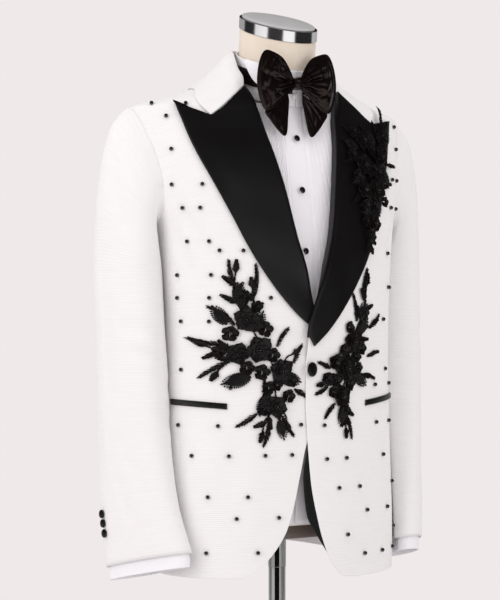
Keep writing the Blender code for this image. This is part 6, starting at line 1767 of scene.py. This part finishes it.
def knot_piece():
    """A wrapped knot: an oval band with three soft folds that run across it."""
    a = np.linspace(0, 2 * math.pi, 72, endpoint=False)[None, :]
    profile = spline(np.array(KNOT_PROFILE), 11)[:-1]
    share, half_x, half_z = [profile[:, i][:, None] for i in range(3)]
    t = np.linspace(0, 1, len(share))[:, None]
    crease = 1 + 0.045 * np.sin(a * 3 + 0.6 + 2.0 * t) * np.abs(np.cos(a))
    x = KNOT[0] + half_x * np.cos(a) * crease
    z = KNOT[2] + half_z * np.sin(a) * (1 + 0.03 * np.cos(a * 4))
    level = np.sin(a) * half_z
    pull = (0.0012 * np.exp(-((level - 0.0015) / 0.0016) ** 2)
            + 0.0008 * np.exp(-((level + 0.0042) / 0.0013) ** 2))
    y = KNOT[1] + 0.004 - 0.02 * share + pull * share
    verts, quads, triangles = stack(np.stack(np.broadcast_arrays(x, y, z), axis=-1), inward=True)
    corners = np.concatenate([quads.reshape(-1), triangles.reshape(-1)])
    return make_piece("bow_centre", verts, quads, triangles, BOW_SATIN, uv=verts[corners][:, [0, 2]])


settle(knot_piece(), "bow_satin", "bow_knot")
strap = neck_band("bow_neck_strap", 0.0645, 1.489, 1.511, (0.046, 0.046), 0.0018, 0.13, BOW_SATIN)
settle(strap, "bow_satin", "bow_band")
print("bow tied")


# %% [markdown]
# ## Floral work
# The appliques are lace flowers sewn on by hand. They are drawn flat, in metres
# across and up the front, and then carried onto the cloth with a height above
# it. Everything in them is a blade: a petal, leaf or bristle that starts at its
# root, points one way, is widest at a share of its length and closes with a blunt
# or a sharp tip, width = half sin(pi t^k)^blunt with k = ln 0.5 / ln peak. Its tip
# rises, its sides cup and its rim ruffles. Small glossy beads fill some leaves.

# %% Blades
BLADE_COLUMNS = ("x", "z", "way", "length", "half", "peak", "blunt", "low", "high", "cup", "ruffle", "phase")
BLADE_T = np.array([0.02, 0.17, 0.38, 0.6, 0.78, 0.92, 0.985])
BRISTLE_T = np.array([0.03, 0.3, 0.64, 0.93])
BRISTLE_HALF = 0.0016          # what is no wider than this needs few corners
BLADE_THICKNESS = 0.0007
VEIN_DEPTH, VEIN_SHARE = 0.00045, 0.28


def blades(rows, shares=BLADE_T, across=6):
    """Upper and lower grids of many blades in the flat: count, rows, columns, (x, z, height)."""
    rows = np.asarray(rows, float)
    x, z, way, length, half, peak, blunt, low, high, cup, ruffle, phase = rows.T[:, :, None, None]
    t = shares[None, :, None]
    s = np.linspace(-1, 1, across)[None, None, :]
    width = half * np.sin(math.pi * t ** (math.log(0.5) / np.log(peak))) ** blunt
    swing = ruffle * np.sin(s * 4.6 + phase) * t**2
    along = length * t * (1 - 0.1 * s**2 * t) + 0.4 * swing
    beside = width * s + 0.02 * length * np.sin(phase + t * 3.0)
    px = x + along * np.cos(way) + beside * np.sin(way)
    pz = z + along * np.sin(way) - beside * np.cos(way)
    height = low + (high - low) * t**1.3 + cup * s**2 * np.sin(math.pi * t) + swing
    height = height - VEIN_DEPTH * np.exp(-(s / VEIN_SHARE) ** 2) * (1 - t)
    height = np.maximum(height, BLADE_THICKNESS + 0.0002)
    return np.stack([px, pz, height], axis=-1), np.stack([px, pz, height - BLADE_THICKNESS], axis=-1)


def moved(x, z, way, ahead, left=0.0):
    """A point carried ahead along a way in degrees, and to its left."""
    c, s = math.cos(math.radians(way)), math.sin(math.radians(way))
    return x + ahead * c - left * s, z + ahead * s + left * c


def blade(x, z, way, length, half, peak, blunt, low, high, cup=0.0, ruffle=0.0, phase=0.0):
    """One row for blades(), with the angle in degrees."""
    return (x, z, math.radians(way), length, half, peak, blunt, low, high, cup, ruffle, phase)


# petals of a ring, first turn and its play, sizes in radii, half width in sizes,
# bluntness, height of root and tip, play of the tip, cup and ruffle
FLOWER_RINGS = (
    (5, 0.0, 7, (0.97, 1.09), 0.46, 0.66, 0.0022, 0.0026, 0.0012, 0.001, 0.0011),
    (5, 36.0, 9, (0.58, 0.7), 0.44, 0.62, 0.0034, 0.005, 0.001, 0.0012, 0.0008),
    (4, 0.0, 12, (0.34, 0.34), 0.5, 0.5, 0.0046, 0.0064, 0.0, 0.0008, 0.0004),
)
# size in radii, and petals
ROSE_RINGS = ((1.0, 5), (0.74, 4), (0.42, 3))


def flower_blades(x, z, radius, turn, rng):
    """Five ruffled petals, five shorter ones between them, and a few in the middle."""
    rows = []
    for count, turned, play, sizes, half, blunt, low, high, more, cup, ruffle in FLOWER_RINGS:
        for i in range(count):
            way = turn + turned + 360.0 / count * i + rng.uniform(-play, play)
            size = radius * (rng.uniform(*sizes) if sizes[1] > sizes[0] else sizes[0])
            tip = high + rng.uniform(0, more) if more else high
            rows.append(blade(x, z, way, size, size * half, 0.6, blunt, low, tip, cup, ruffle,
                              rng.uniform(0, 6.28)))
    return rows


def rosette_blades(x, z, radius, rng):
    """A small rose: three rings of upright cupped petals, each turned on."""
    rows = []
    for ring, (share, count) in enumerate(ROSE_RINGS):
        for i in range(count):
            way = 360.0 * i / count + 31.0 * ring + rng.uniform(-8, 8)
            rows.append(blade(*moved(x, z, way, 0.16 * radius * share), way, radius * share * 0.96,
                              radius * share * 0.5, 0.66, 0.55, 0.0016 + 0.0009 * ring,
                              0.0034 + 0.0011 * ring, -0.0006, 0.0006, rng.uniform(0, 6.28)))
    return rows


def sprig_blades(x, z, way, length, bend, rng):
    """A thin bent stem with bristles that slant forward from both sides."""
    rows = []
    steps = max(3, int(length / 0.0019))
    for i in range(steps):
        t = i / steps
        now = way + bend * (t - 0.5)
        spot = moved(x, z, way, length * t, bend / 60 * length * t * (1 - t))
        rows.append(blade(*spot, now, 0.0046, 0.00062, 0.5, 0.35, 0.0011, 0.0013))
        reach = (0.0086 - 0.0046 * t) * rng.uniform(0.8, 1.1) * min(1.0, 0.45 + 3 * t)
        for hand in (-1, 1):
            rows.append(blade(*spot, now + hand * (38 + rng.uniform(-7, 7)), reach, 0.00082, 0.55, 0.75,
                              0.0012, 0.0017 + rng.uniform(0, 0.0008)))
    rows.append(blade(*spot, way + bend / 2, 0.0062, 0.001, 0.5, 0.9, 0.0012, 0.0016))
    return rows


LEAF_ROOT, LOBE_PITCH = 0.003, 0.0028


def stem_blades(x0, z0, x1, z1, bend, leaves, leaf_length, rng):
    """The frame's stems: a bent stem, leaves by turns, and one at the tip."""
    share = np.linspace(0, 1, 3)
    run = np.array([x1 - x0, z1 - z0])
    length = float(np.linalg.norm(run))
    run = run / length
    across = np.array([-run[1], run[0]])
    path = (np.array([x0, z0]) + run * (length * share)[:, None]
            + across * (bend * 4 * share * (1 - share))[:, None])
    ahead = unit(np.gradient(path, axis=0))

    def on_stem(at):
        (px, pz), lead = [[np.interp(at, share, table[:, k]) for k in (0, 1)] for table in (path, ahead)]
        return px, pz, math.degrees(math.atan2(lead[1], lead[0]))
    pieces = max(2, int(length / 0.006))
    rows = [blade(*on_stem(i / pieces), length / pieces * 1.35, 0.0012, 0.5, 0.35, 0.0013, 0.0015)
            for i in range(pieces)]
    for i in range(leaves):
        last = i == leaves - 1
        at = 1.0 if last else 0.22 + 0.7 * i / max(leaves - 1, 1)
        px, pz, way = on_stem(at)
        way += 0.0 if last else 46.0 * (1 if i % 2 else -1)
        size = leaf_length * (1.0 - 0.25 * at)
        root = moved(px, pz, way, -LEAF_ROOT)
        rows.append(blade(*root, way, size, 0.0034, 0.45, 1.05, 0.0016,
                          0.0024 + rng.uniform(0, 0.001), 0.0007, 0.0004, rng.uniform(0, 6.28)))
        lobes = max(5, int(size / LOBE_PITCH))
        for k in range(1, lobes):
            spot = moved(*root, way, size * k / lobes)
            for hand in (-1, 1):
                rows.append(blade(*spot, way + hand * (40 + rng.uniform(-7, 7)),
                                  0.0088 * (1.05 - k / lobes) ** 0.6, 0.0014, 0.5, 0.9, 0.0018,
                                  0.0026 + rng.uniform(0, 0.001), 0.0004, 0.0003, rng.uniform(0, 6.28)))
    return rows


LEAF_PEAK, LEAF_BLUNT = 0.48, 0.75
SEED_PITCH = 0.00112                   # between the beads on a leaf


def beaded_leaf(x, z, way, length, half, rng):
    """A leaf with a rim of small pointed lobes, and a close set of beads on it."""
    rows = [blade(x, z, way, length, half, LEAF_PEAK, LEAF_BLUNT, 0.0016, 0.0018)]
    beads = []
    k = math.log(0.5) / math.log(LEAF_PEAK)

    def width(t):
        return half * math.sin(math.pi * t**k) ** LEAF_BLUNT
    steps = int(length / 0.0026)
    for i in range(1, steps):
        t = i / steps
        for hand in (-1, 1):
            rows.append(blade(*moved(x, z, way, length * t, -hand * width(t) * 0.9), way - hand * 52.0,
                              0.0034, 0.00115, 0.45, 0.9, 0.0014, 0.0021 + rng.uniform(0, 0.0006)))
    rows.append(blade(*moved(x, z, way, length * 0.95), way, 0.0052, 0.0014, 0.4, 0.9, 0.0016, 0.0022))
    lines = int(length / 0.0021)
    for i in range(1, lines):
        t = i / lines
        count = int(width(t) * 0.86 / SEED_PITCH)
        for j in range(-count, count + 1):
            if (j + i) % 2 == 0:
                beads.append((*moved(x, z, way, length * t, -j * SEED_PITCH), 0.0026,
                              rng.uniform(0.00088, 0.00112)))
    return rows, beads


# %% Floral layouts
# name, side, lift, stems, flowers: as in the frame. Then rosettes (x, z, radius),
# sprigs (x, z, way, length, bend) and beaded leaves (x, z, way, length, half).
FLORALS = (
    ("applique_waist_right", -1, 0.0, (
        (-0.106, 1.164, -0.119, 1.232, 0.01, 5, 0.029), (-0.1, 1.168, -0.098, 1.211, -0.003, 3, 0.024),
        (-0.118, 1.12, -0.152, 1.129, 0.005, 3, 0.028), (-0.118, 1.112, -0.14, 1.092, -0.004, 2, 0.024),
        (-0.106, 1.164, -0.062, 1.044, 0.014, 2, 0.03), (-0.058, 1.098, -0.038, 1.118, 0.003, 2, 0.02),
        (-0.062, 1.044, -0.083, 1.008, -0.005, 4, 0.026), (-0.06, 1.046, -0.047, 1.02, 0.003, 2, 0.022),
    ), (
        (-0.106, 1.166, 0.0185, 10.0), (-0.088, 1.124, 0.0205, 40.0), (-0.1165, 1.118, 0.0165, 0.0),
        (-0.056, 1.094, 0.0175, 25.0), (-0.063, 1.044, 0.0165, 55.0),
    ), (
        (-0.126, 1.146, 0.0105), (-0.08, 1.152, 0.0105), (-0.069, 1.116, 0.01), (-0.04, 1.08, 0.009),
        (-0.084, 1.092, 0.011), (-0.045, 1.058, 0.0095), (-0.108, 1.198, 0.0085),
        (-0.139, 1.121, 0.0085),
        (-0.074, 1.07, 0.009), (-0.104, 1.098, 0.01), (-0.062, 1.074, 0.008), (-0.092, 1.184, 0.008),
        (-0.082, 1.04, 0.009),
    ), (
        (-0.11, 1.19, 106.0, 0.06, 18.0), (-0.098, 1.192, 84.0, 0.05, -16.0),
        (-0.128, 1.13, 166.0, 0.042, 14.0),
        (-0.126, 1.108, 216.0, 0.04, -12.0), (-0.072, 1.026, 254.0, 0.038, 14.0),
        (-0.054, 1.03, 302.0, 0.032, -10.0),
        (-0.038, 1.104, 62.0, 0.028, 12.0), (-0.12, 1.158, 142.0, 0.04, -18.0),
        (-0.064, 1.128, 54.0, 0.03, 14.0),
        (-0.09, 1.034, 212.0, 0.032, 10.0), (-0.08, 1.084, 262.0, 0.052, 16.0),
        (-0.036, 1.068, 328.0, 0.022, 8.0),
    ), (
        (-0.096, 1.148, 66.0, 0.03, 0.0074), (-0.06, 1.086, -14.0, 0.034, 0.0088),
        (-0.098, 1.086, 196.0, 0.038, 0.0092),
        (-0.112, 1.182, 98.0, 0.034, 0.0082), (-0.13, 1.158, 122.0, 0.03, 0.007),
        (-0.058, 1.026, -78.0, 0.028, 0.0064),
        (-0.072, 1.062, 236.0, 0.03, 0.0072),
    )),
    ("applique_waist_left", 1, 0.0, (
        (0.058, 1.136, 0.092, 1.215, -0.009, 5, 0.028), (0.066, 1.128, 0.102, 1.158, 0.005, 3, 0.026),
        (0.054, 1.136, 0.04, 1.058, 0.01, 2, 0.026), (0.056, 1.094, 0.088, 1.084, -0.004, 2, 0.022),
        (0.04, 1.056, 0.05, 1.009, 0.006, 4, 0.024), (0.045, 1.086, 0.01, 1.074, 0.004, 2, 0.022),
    ), (
        (0.062, 1.134, 0.018, 24.0), (0.05, 1.096, 0.0205, 50.0), (0.03, 1.105, 0.013, 5.0),
        (0.042, 1.056, 0.017, 30.0),
    ), (
        (0.08, 1.124, 0.0095), (0.043, 1.122, 0.009), (0.069, 1.112, 0.009), (0.032, 1.078, 0.0095),
        (0.058, 1.073, 0.0095), (0.086, 1.174, 0.008), (0.054, 1.154, 0.0085), (0.05, 1.036, 0.008),
        (0.074, 1.096, 0.0075), (0.016, 1.082, 0.0085), (0.026, 1.062, 0.008),
    ), (
        (0.084, 1.192, 76.0, 0.046, 16.0), (0.096, 1.152, 40.0, 0.03, -14.0),
        (0.08, 1.086, -14.0, 0.03, 12.0),
        (0.05, 1.032, -74.0, 0.038, 14.0), (0.03, 1.046, 232.0, 0.026, -12.0),
        (0.07, 1.162, 102.0, 0.04, -16.0),
        (0.092, 1.112, 10.0, 0.028, 14.0), (0.018, 1.07, 206.0, 0.022, 8.0),
        (0.022, 1.096, 158.0, 0.022, -8.0),
    ), (
        (0.07, 1.144, 44.0, 0.03, 0.0072), (0.046, 1.042, -102.0, 0.028, 0.0066),
        (0.066, 1.088, -36.0, 0.03, 0.0072),
        (0.078, 1.164, 68.0, 0.028, 0.0068), (0.036, 1.084, 196.0, 0.03, 0.007),
    )),
    ("applique_lapel_left", 1, 0.0064, (
        (0.134, 1.404, 0.156, 1.446, 0.004, 3, 0.022), (0.132, 1.4, 0.104, 1.302, -0.008, 3, 0.026),
        (0.132, 1.404, 0.094, 1.432, 0.004, 2, 0.022), (0.104, 1.3, 0.098, 1.27, -0.003, 3, 0.02),
    ), (
        (0.134, 1.402, 0.018, 20.0), (0.116, 1.352, 0.0175, 50.0), (0.106, 1.304, 0.014, 0.0),
        (0.104, 1.424, 0.015, 40.0), (0.098, 1.388, 0.0165, 10.0), (0.092, 1.352, 0.013, 30.0),
    ), (
        (0.124, 1.378, 0.0095), (0.11, 1.328, 0.0085), (0.15, 1.43, 0.008), (0.1, 1.284, 0.0075),
        (0.118, 1.41, 0.0075), (0.132, 1.336, 0.0075), (0.088, 1.436, 0.0085), (0.078, 1.402, 0.009),
        (0.082, 1.372, 0.0085), (0.116, 1.382, 0.0085), (0.092, 1.33, 0.008), (0.09, 1.306, 0.007),
    ), (
        (0.152, 1.44, 82.0, 0.034, 12.0), (0.122, 1.42, 118.0, 0.03, 10.0),
        (0.098, 1.284, 250.0, 0.024, -10.0),
        (0.13, 1.356, 16.0, 0.024, 12.0), (0.104, 1.336, 196.0, 0.022, 10.0),
        (0.14, 1.42, 104.0, 0.034, -10.0),
        (0.094, 1.432, 150.0, 0.026, 10.0), (0.148, 1.392, -8.0, 0.018, 10.0),
        (0.084, 1.398, 196.0, 0.026, 10.0),
        (0.088, 1.35, 222.0, 0.024, 10.0), (0.096, 1.3, 262.0, 0.034, 12.0),
        (0.086, 1.42, 172.0, 0.022, -8.0),
    ), (
        (0.126, 1.418, 118.0, 0.026, 0.0062), (0.112, 1.34, -72.0, 0.024, 0.0058),
        (0.138, 1.384, -74.0, 0.026, 0.006),
        (0.104, 1.318, 176.0, 0.02, 0.005), (0.15, 1.42, 60.0, 0.022, 0.0054),
        (0.092, 1.412, 158.0, 0.028, 0.0064),
        (0.096, 1.372, 204.0, 0.026, 0.0062), (0.102, 1.344, 250.0, 0.028, 0.0062),
        (0.1, 1.3, 268.0, 0.028, 0.0056),
    )),
)


def floral_work(name, side, lift, stems, flowers, roses, sprigs, leaves):
    """Lace and beads of one applique, carried onto its front."""
    rng = np.random.default_rng(len(name) * 7 + 3)
    rows, beads = [], []
    for row in stems:
        rows += stem_blades(*row, rng)
    for row in sprigs:
        rows += sprig_blades(*row, rng)
    for row in leaves:
        more, set_on = beaded_leaf(*row, rng)
        rows += more
        beads += set_on
    for x, z, radius in roses:
        rows += rosette_blades(x, z, radius, rng)
        beads.append((x, z, 0.0062, 0.0012))
    for x, z, radius, turn in flowers:
        rows += flower_blades(x, z, radius, turn, rng)
        beads.append((x, z, 0.0072, 0.0019))
        for i in range(7):
            beads.append((*moved(x, z, turn + 360 * i / 7, radius * 0.2), 0.0066, 0.0011))
    rows, beads = np.array(rows), np.array(beads)
    fine = rows[:, BLADE_COLUMNS.index("half")] <= BRISTLE_HALF

    def sewn(flat):
        return front_point(side, flat[..., 0], flat[..., 1], ON_PANEL * 0.3 + lift + flat[..., 2])
    parts = [walls_joined(*map(sewn, grids))
             for grids in (blades(rows[~fine]), blades(rows[fine], BRISTLE_T, 3))]
    settle(joined(name.replace("applique", "lace"), parts, PETAL), "black_lace", name)
    pearls = [balls(sewn(beads), beads[:, 3], 6, 3)]
    settle(joined(name.replace("applique", "beads"), pearls, BEAD), "black_lace")
    return len(rows), len(beads)


for layout in FLORALS:
    print(layout[0], "blades and beads:", floral_work(*layout))


# %% [markdown]
# ## Form and stand
# The form is smooth and whole: a torso, a neck with a mirror-bright ring, and a
# grey cap. A dark band closes it below, and a socket holds the pole, which has a
# groove down its front so that the form can be set at its height. The groove is
# not cut: a black strip on the pole paints the shade inside it.

# %% Form
FORM_LOW_Z, BAND_LOW_Z, LIP_Z = 0.8703, 0.8515, 0.802
NECK_TILT = 0.36


def level_ring(rx, ry, centre, count, tilt=0.0):
    """An oval ring whose height rises by tilt times the distance behind its centre."""
    a = np.linspace(0, 2 * math.pi, count, endpoint=False)
    y = -ry * np.cos(a)
    return np.stack([centre[0] + rx * np.sin(a), centre[1] + y, centre[2] + tilt * y], axis=-1)


def closed_tube(name, rings, finish_used, sharp):
    """A solid form through rings from low to high, with both ends closed flat."""
    rings = np.asarray(rings, float)
    rows, cols = rings.shape[:2]
    verts, quads, triangles = stack(rings)
    c = np.arange(cols)
    u = arc(np.concatenate([rings, rings[:, :1]], axis=1), 1).mean(axis=0)
    v = arc(rings, 0).mean(axis=1)
    at_u = np.tile(np.stack([u[c], u[c + 1], u[c + 1], u[c]], 1), (rows - 1, 1))
    at_v = np.repeat(np.stack([v[:-1], v[:-1], v[1:], v[1:]], 1), cols, axis=0)
    ends = verts[triangles.reshape(-1)][:, :2]
    uv = np.concatenate([np.stack([at_u, at_v], -1).reshape(-1, 2), ends])
    return make_piece(name, verts, quads, triangles, finish_used, uv, sharp)


AROUND = 84
# half width, half depth, middle, height and tilt of the rings from shoulder to neck
NECK_RINGS = ((0.155, 0.053, 0.025, 1.436, 0.0), (0.078, 0.048, 0.014, 1.468, 0.0),
              (0.0565, 0.0545, 0.008, 1.49, 0.0), (0.056, 0.056, neck_middle(1.52), 1.52, 0.0),
              (0.056, 0.056, neck_middle(1.55), 1.55, 0.15),
              (0.056, 0.056, neck_middle(1.583), 1.583, NECK_TILT))
angle = np.linspace(0, 2 * math.pi, AROUND, endpoint=False)
rings = [FORM.at(angle, np.full(AROUND, z)) for z in np.linspace(FORM_LOW_Z, 1.412, 30)]
neck = [level_ring(rx, ry, (0.0, y, z), AROUND, tilt) for rx, ry, y, z, tilt in NECK_RINGS]
upper = spline(np.array(rings[-2:] + neck), 8)[9:]
settle(closed_tube("form_body", rings + list(upper), FORM_JERSEY, sharp=60), "form_cloth", "form_torso")


def turned_form(name, profile, finish_used, slot, node, count=64, neck=False):
    """A turned form from rows of (radius, height), low to high, about the upright
    axis or about the leaning neck."""
    rows = [level_ring(r, r, (0.0, neck_middle(z) if neck else 0.0, z), count, NECK_TILT if neck else 0.0)
            for r, z in profile]
    settle(closed_tube(name, rows, finish_used, 30 if neck else 40), slot, node)


turned_form("neck_ring", ((0.0562, 1.5834), (0.0572, 1.5838), (0.0572, 1.5992), (0.0562, 1.5996)), CHROME,
            "chrome", "neck_cap_band", 160, neck=True)
turned_form("neck_cap", ((0.053, 1.6), (0.0536, 1.6004), (0.0536, 1.6016), (0.0528, 1.6024),
                         (0.05, 1.6034), (0.044, 1.6043), (0.032, 1.6051), (0.02, 1.6055),
                         (0.008, 1.6057)), CAP_GREY, "cap", "neck_cap_top", 160, neck=True)

band_rings = []
for inset, z in ((0.005, BAND_LOW_Z), (0.0016, 0.8522), (0.0003, 0.8545), (0.0, 0.86), (0.0002, 0.867),
                 (0.001, 0.8696), (0.0024, 0.87)):
    ring = Torso(SHIRT_SECTIONS, FORM_INSET + inset).at(angle, np.full(AROUND, 0.87))
    ring[:, 2] = z
    band_rings.append(ring)
settle(closed_tube("form_foot_band", band_rings, FORM_BAND, sharp=50), "form_band", "form_base_band")


# %% Stand
POLE_RADIUS, SOCKET_RADIUS = 0.0125, 0.0132
turned_form("pole_socket", ((0.0126, LIP_Z), (SOCKET_RADIUS, LIP_Z + 0.0005), (SOCKET_RADIUS, LIP_Z + 0.0012),
                            (0.0131, LIP_Z + 0.0018), (0.0131, BAND_LOW_Z - 0.0003)),
            POLE_METAL, "chrome", "stand_socket")
turned_form("pole", ((POLE_RADIUS, 0.0403), (POLE_RADIUS, LIP_Z - 0.0003)),
            POLE_METAL, "chrome", "stand_pole")
turned_form("pole_collar", ((0.03, 0.0123), (0.0302, 0.0135), (0.0301, 0.02), (0.0285, 0.026),
                            (0.0258, 0.037), (0.025, 0.0392), (0.0236, 0.04)),
            BASE_METAL, "chrome", "stand_collar", 96)
turned_form("base_plate", ((0.188, 0.0), (0.1893, 0.0004), (0.19, 0.0015), (0.19, 0.0068), (0.1894, 0.0086),
                           (0.1876, 0.0101), (0.184, 0.011), (0.1, 0.0116), (0.028, 0.012)),
            BASE_METAL, "chrome", "stand_base", 160)
GROOVE_TURN, GROOVE_HALF = math.radians(-31.0), 0.0034


def groove(name, radius, low, high):
    """A thin black strip on the pole's front, where the height is set: painted shade in place of the groove's
    dark inside.
    """
    a = GROOVE_TURN + np.linspace(-GROOVE_HALF, GROOVE_HALF, 9)[None, :] / radius
    z = np.linspace(low, high, 3)[:, None] + 0 * a
    faces = [np.stack([(radius + off) * np.sin(a) + 0 * z, -(radius + off) * np.cos(a) + 0 * z, z], axis=-1)
             for off in (0.0002, -0.0003)]
    settle(wall(name, *faces, POLE_GROOVE_SHADE, sharp=40), "chrome")


groove("pole_groove_low", POLE_RADIUS, 0.046, LIP_Z - 0.0005)
groove("pole_groove_high", SOCKET_RADIUS, LIP_Z + 0.0008, BAND_LOW_Z - 0.0006)
print("form and stand done")


# %% [markdown]
# ## The floor
# The stand needs ground below it: a disc of paper in the colour of the
# background, which fades out before its rim.

# %% Floor
FLOOR_RADIUS, FLOOR_Z, FLOOR_CORNERS = 2.6, -0.0004, 96
FLOOR_LOOKS = (("Base Color", (0.8, 0.76, 0.75, 1.0)), ("Roughness", 0.9), ("Specular IOR Level", 0.1))


def floor_disc():
    """A level disc, see-through towards its rim."""
    paper = bpy.data.materials.new("paper_floor")
    paper.use_nodes = True
    tree = paper.node_tree
    body = tree.nodes["Principled BSDF"]
    for label, value in FLOOR_LOOKS:
        body.inputs[label].default_value = value
    place = add(tree, "ShaderNodeTexCoord").outputs["Object"]
    away = add(tree, "ShaderNodeVectorMath", {0: place}, operation="LENGTH").outputs["Value"]
    fade = range_node(tree, away, (FLOOR_RADIUS * 0.25, FLOOR_RADIUS * 0.95), (1.0, 0.0),
                      interpolation_type="SMOOTHSTEP")
    tree.links.new(fade, body.inputs["Alpha"])
    a = np.linspace(0, 2 * math.pi, FLOOR_CORNERS, endpoint=False)
    ring = np.stack([FLOOR_RADIUS * np.sin(a), FLOOR_RADIUS * np.cos(a), 0 * a + FLOOR_Z], axis=-1)
    c = np.arange(FLOOR_CORNERS)
    faces = np.stack([(c + 1) % FLOOR_CORNERS, c, np.full(FLOOR_CORNERS, FLOOR_CORNERS)], 1)
    make_piece("paper_floor", np.concatenate([ring, [[0, 0, FLOOR_Z]]]), NO_QUADS, faces, paper)


floor_disc()


# %% [markdown]
# ## Triangles
# Every piece's triangles are counted and added up. The loops of the bow are closed
# round air, and count with both their layers.

# %% Measures
total = 0
for piece in sorted(bpy.data.objects, key=lambda one: one.name):
    if piece.type == "MESH" and len(piece.data.polygons) and piece.users_collection:
        count = sum(len(face.vertices) - 2 for face in piece.data.polygons)
        total += count
        print(f"{piece.name}: {count} triangles")
print("triangles in all:", total)
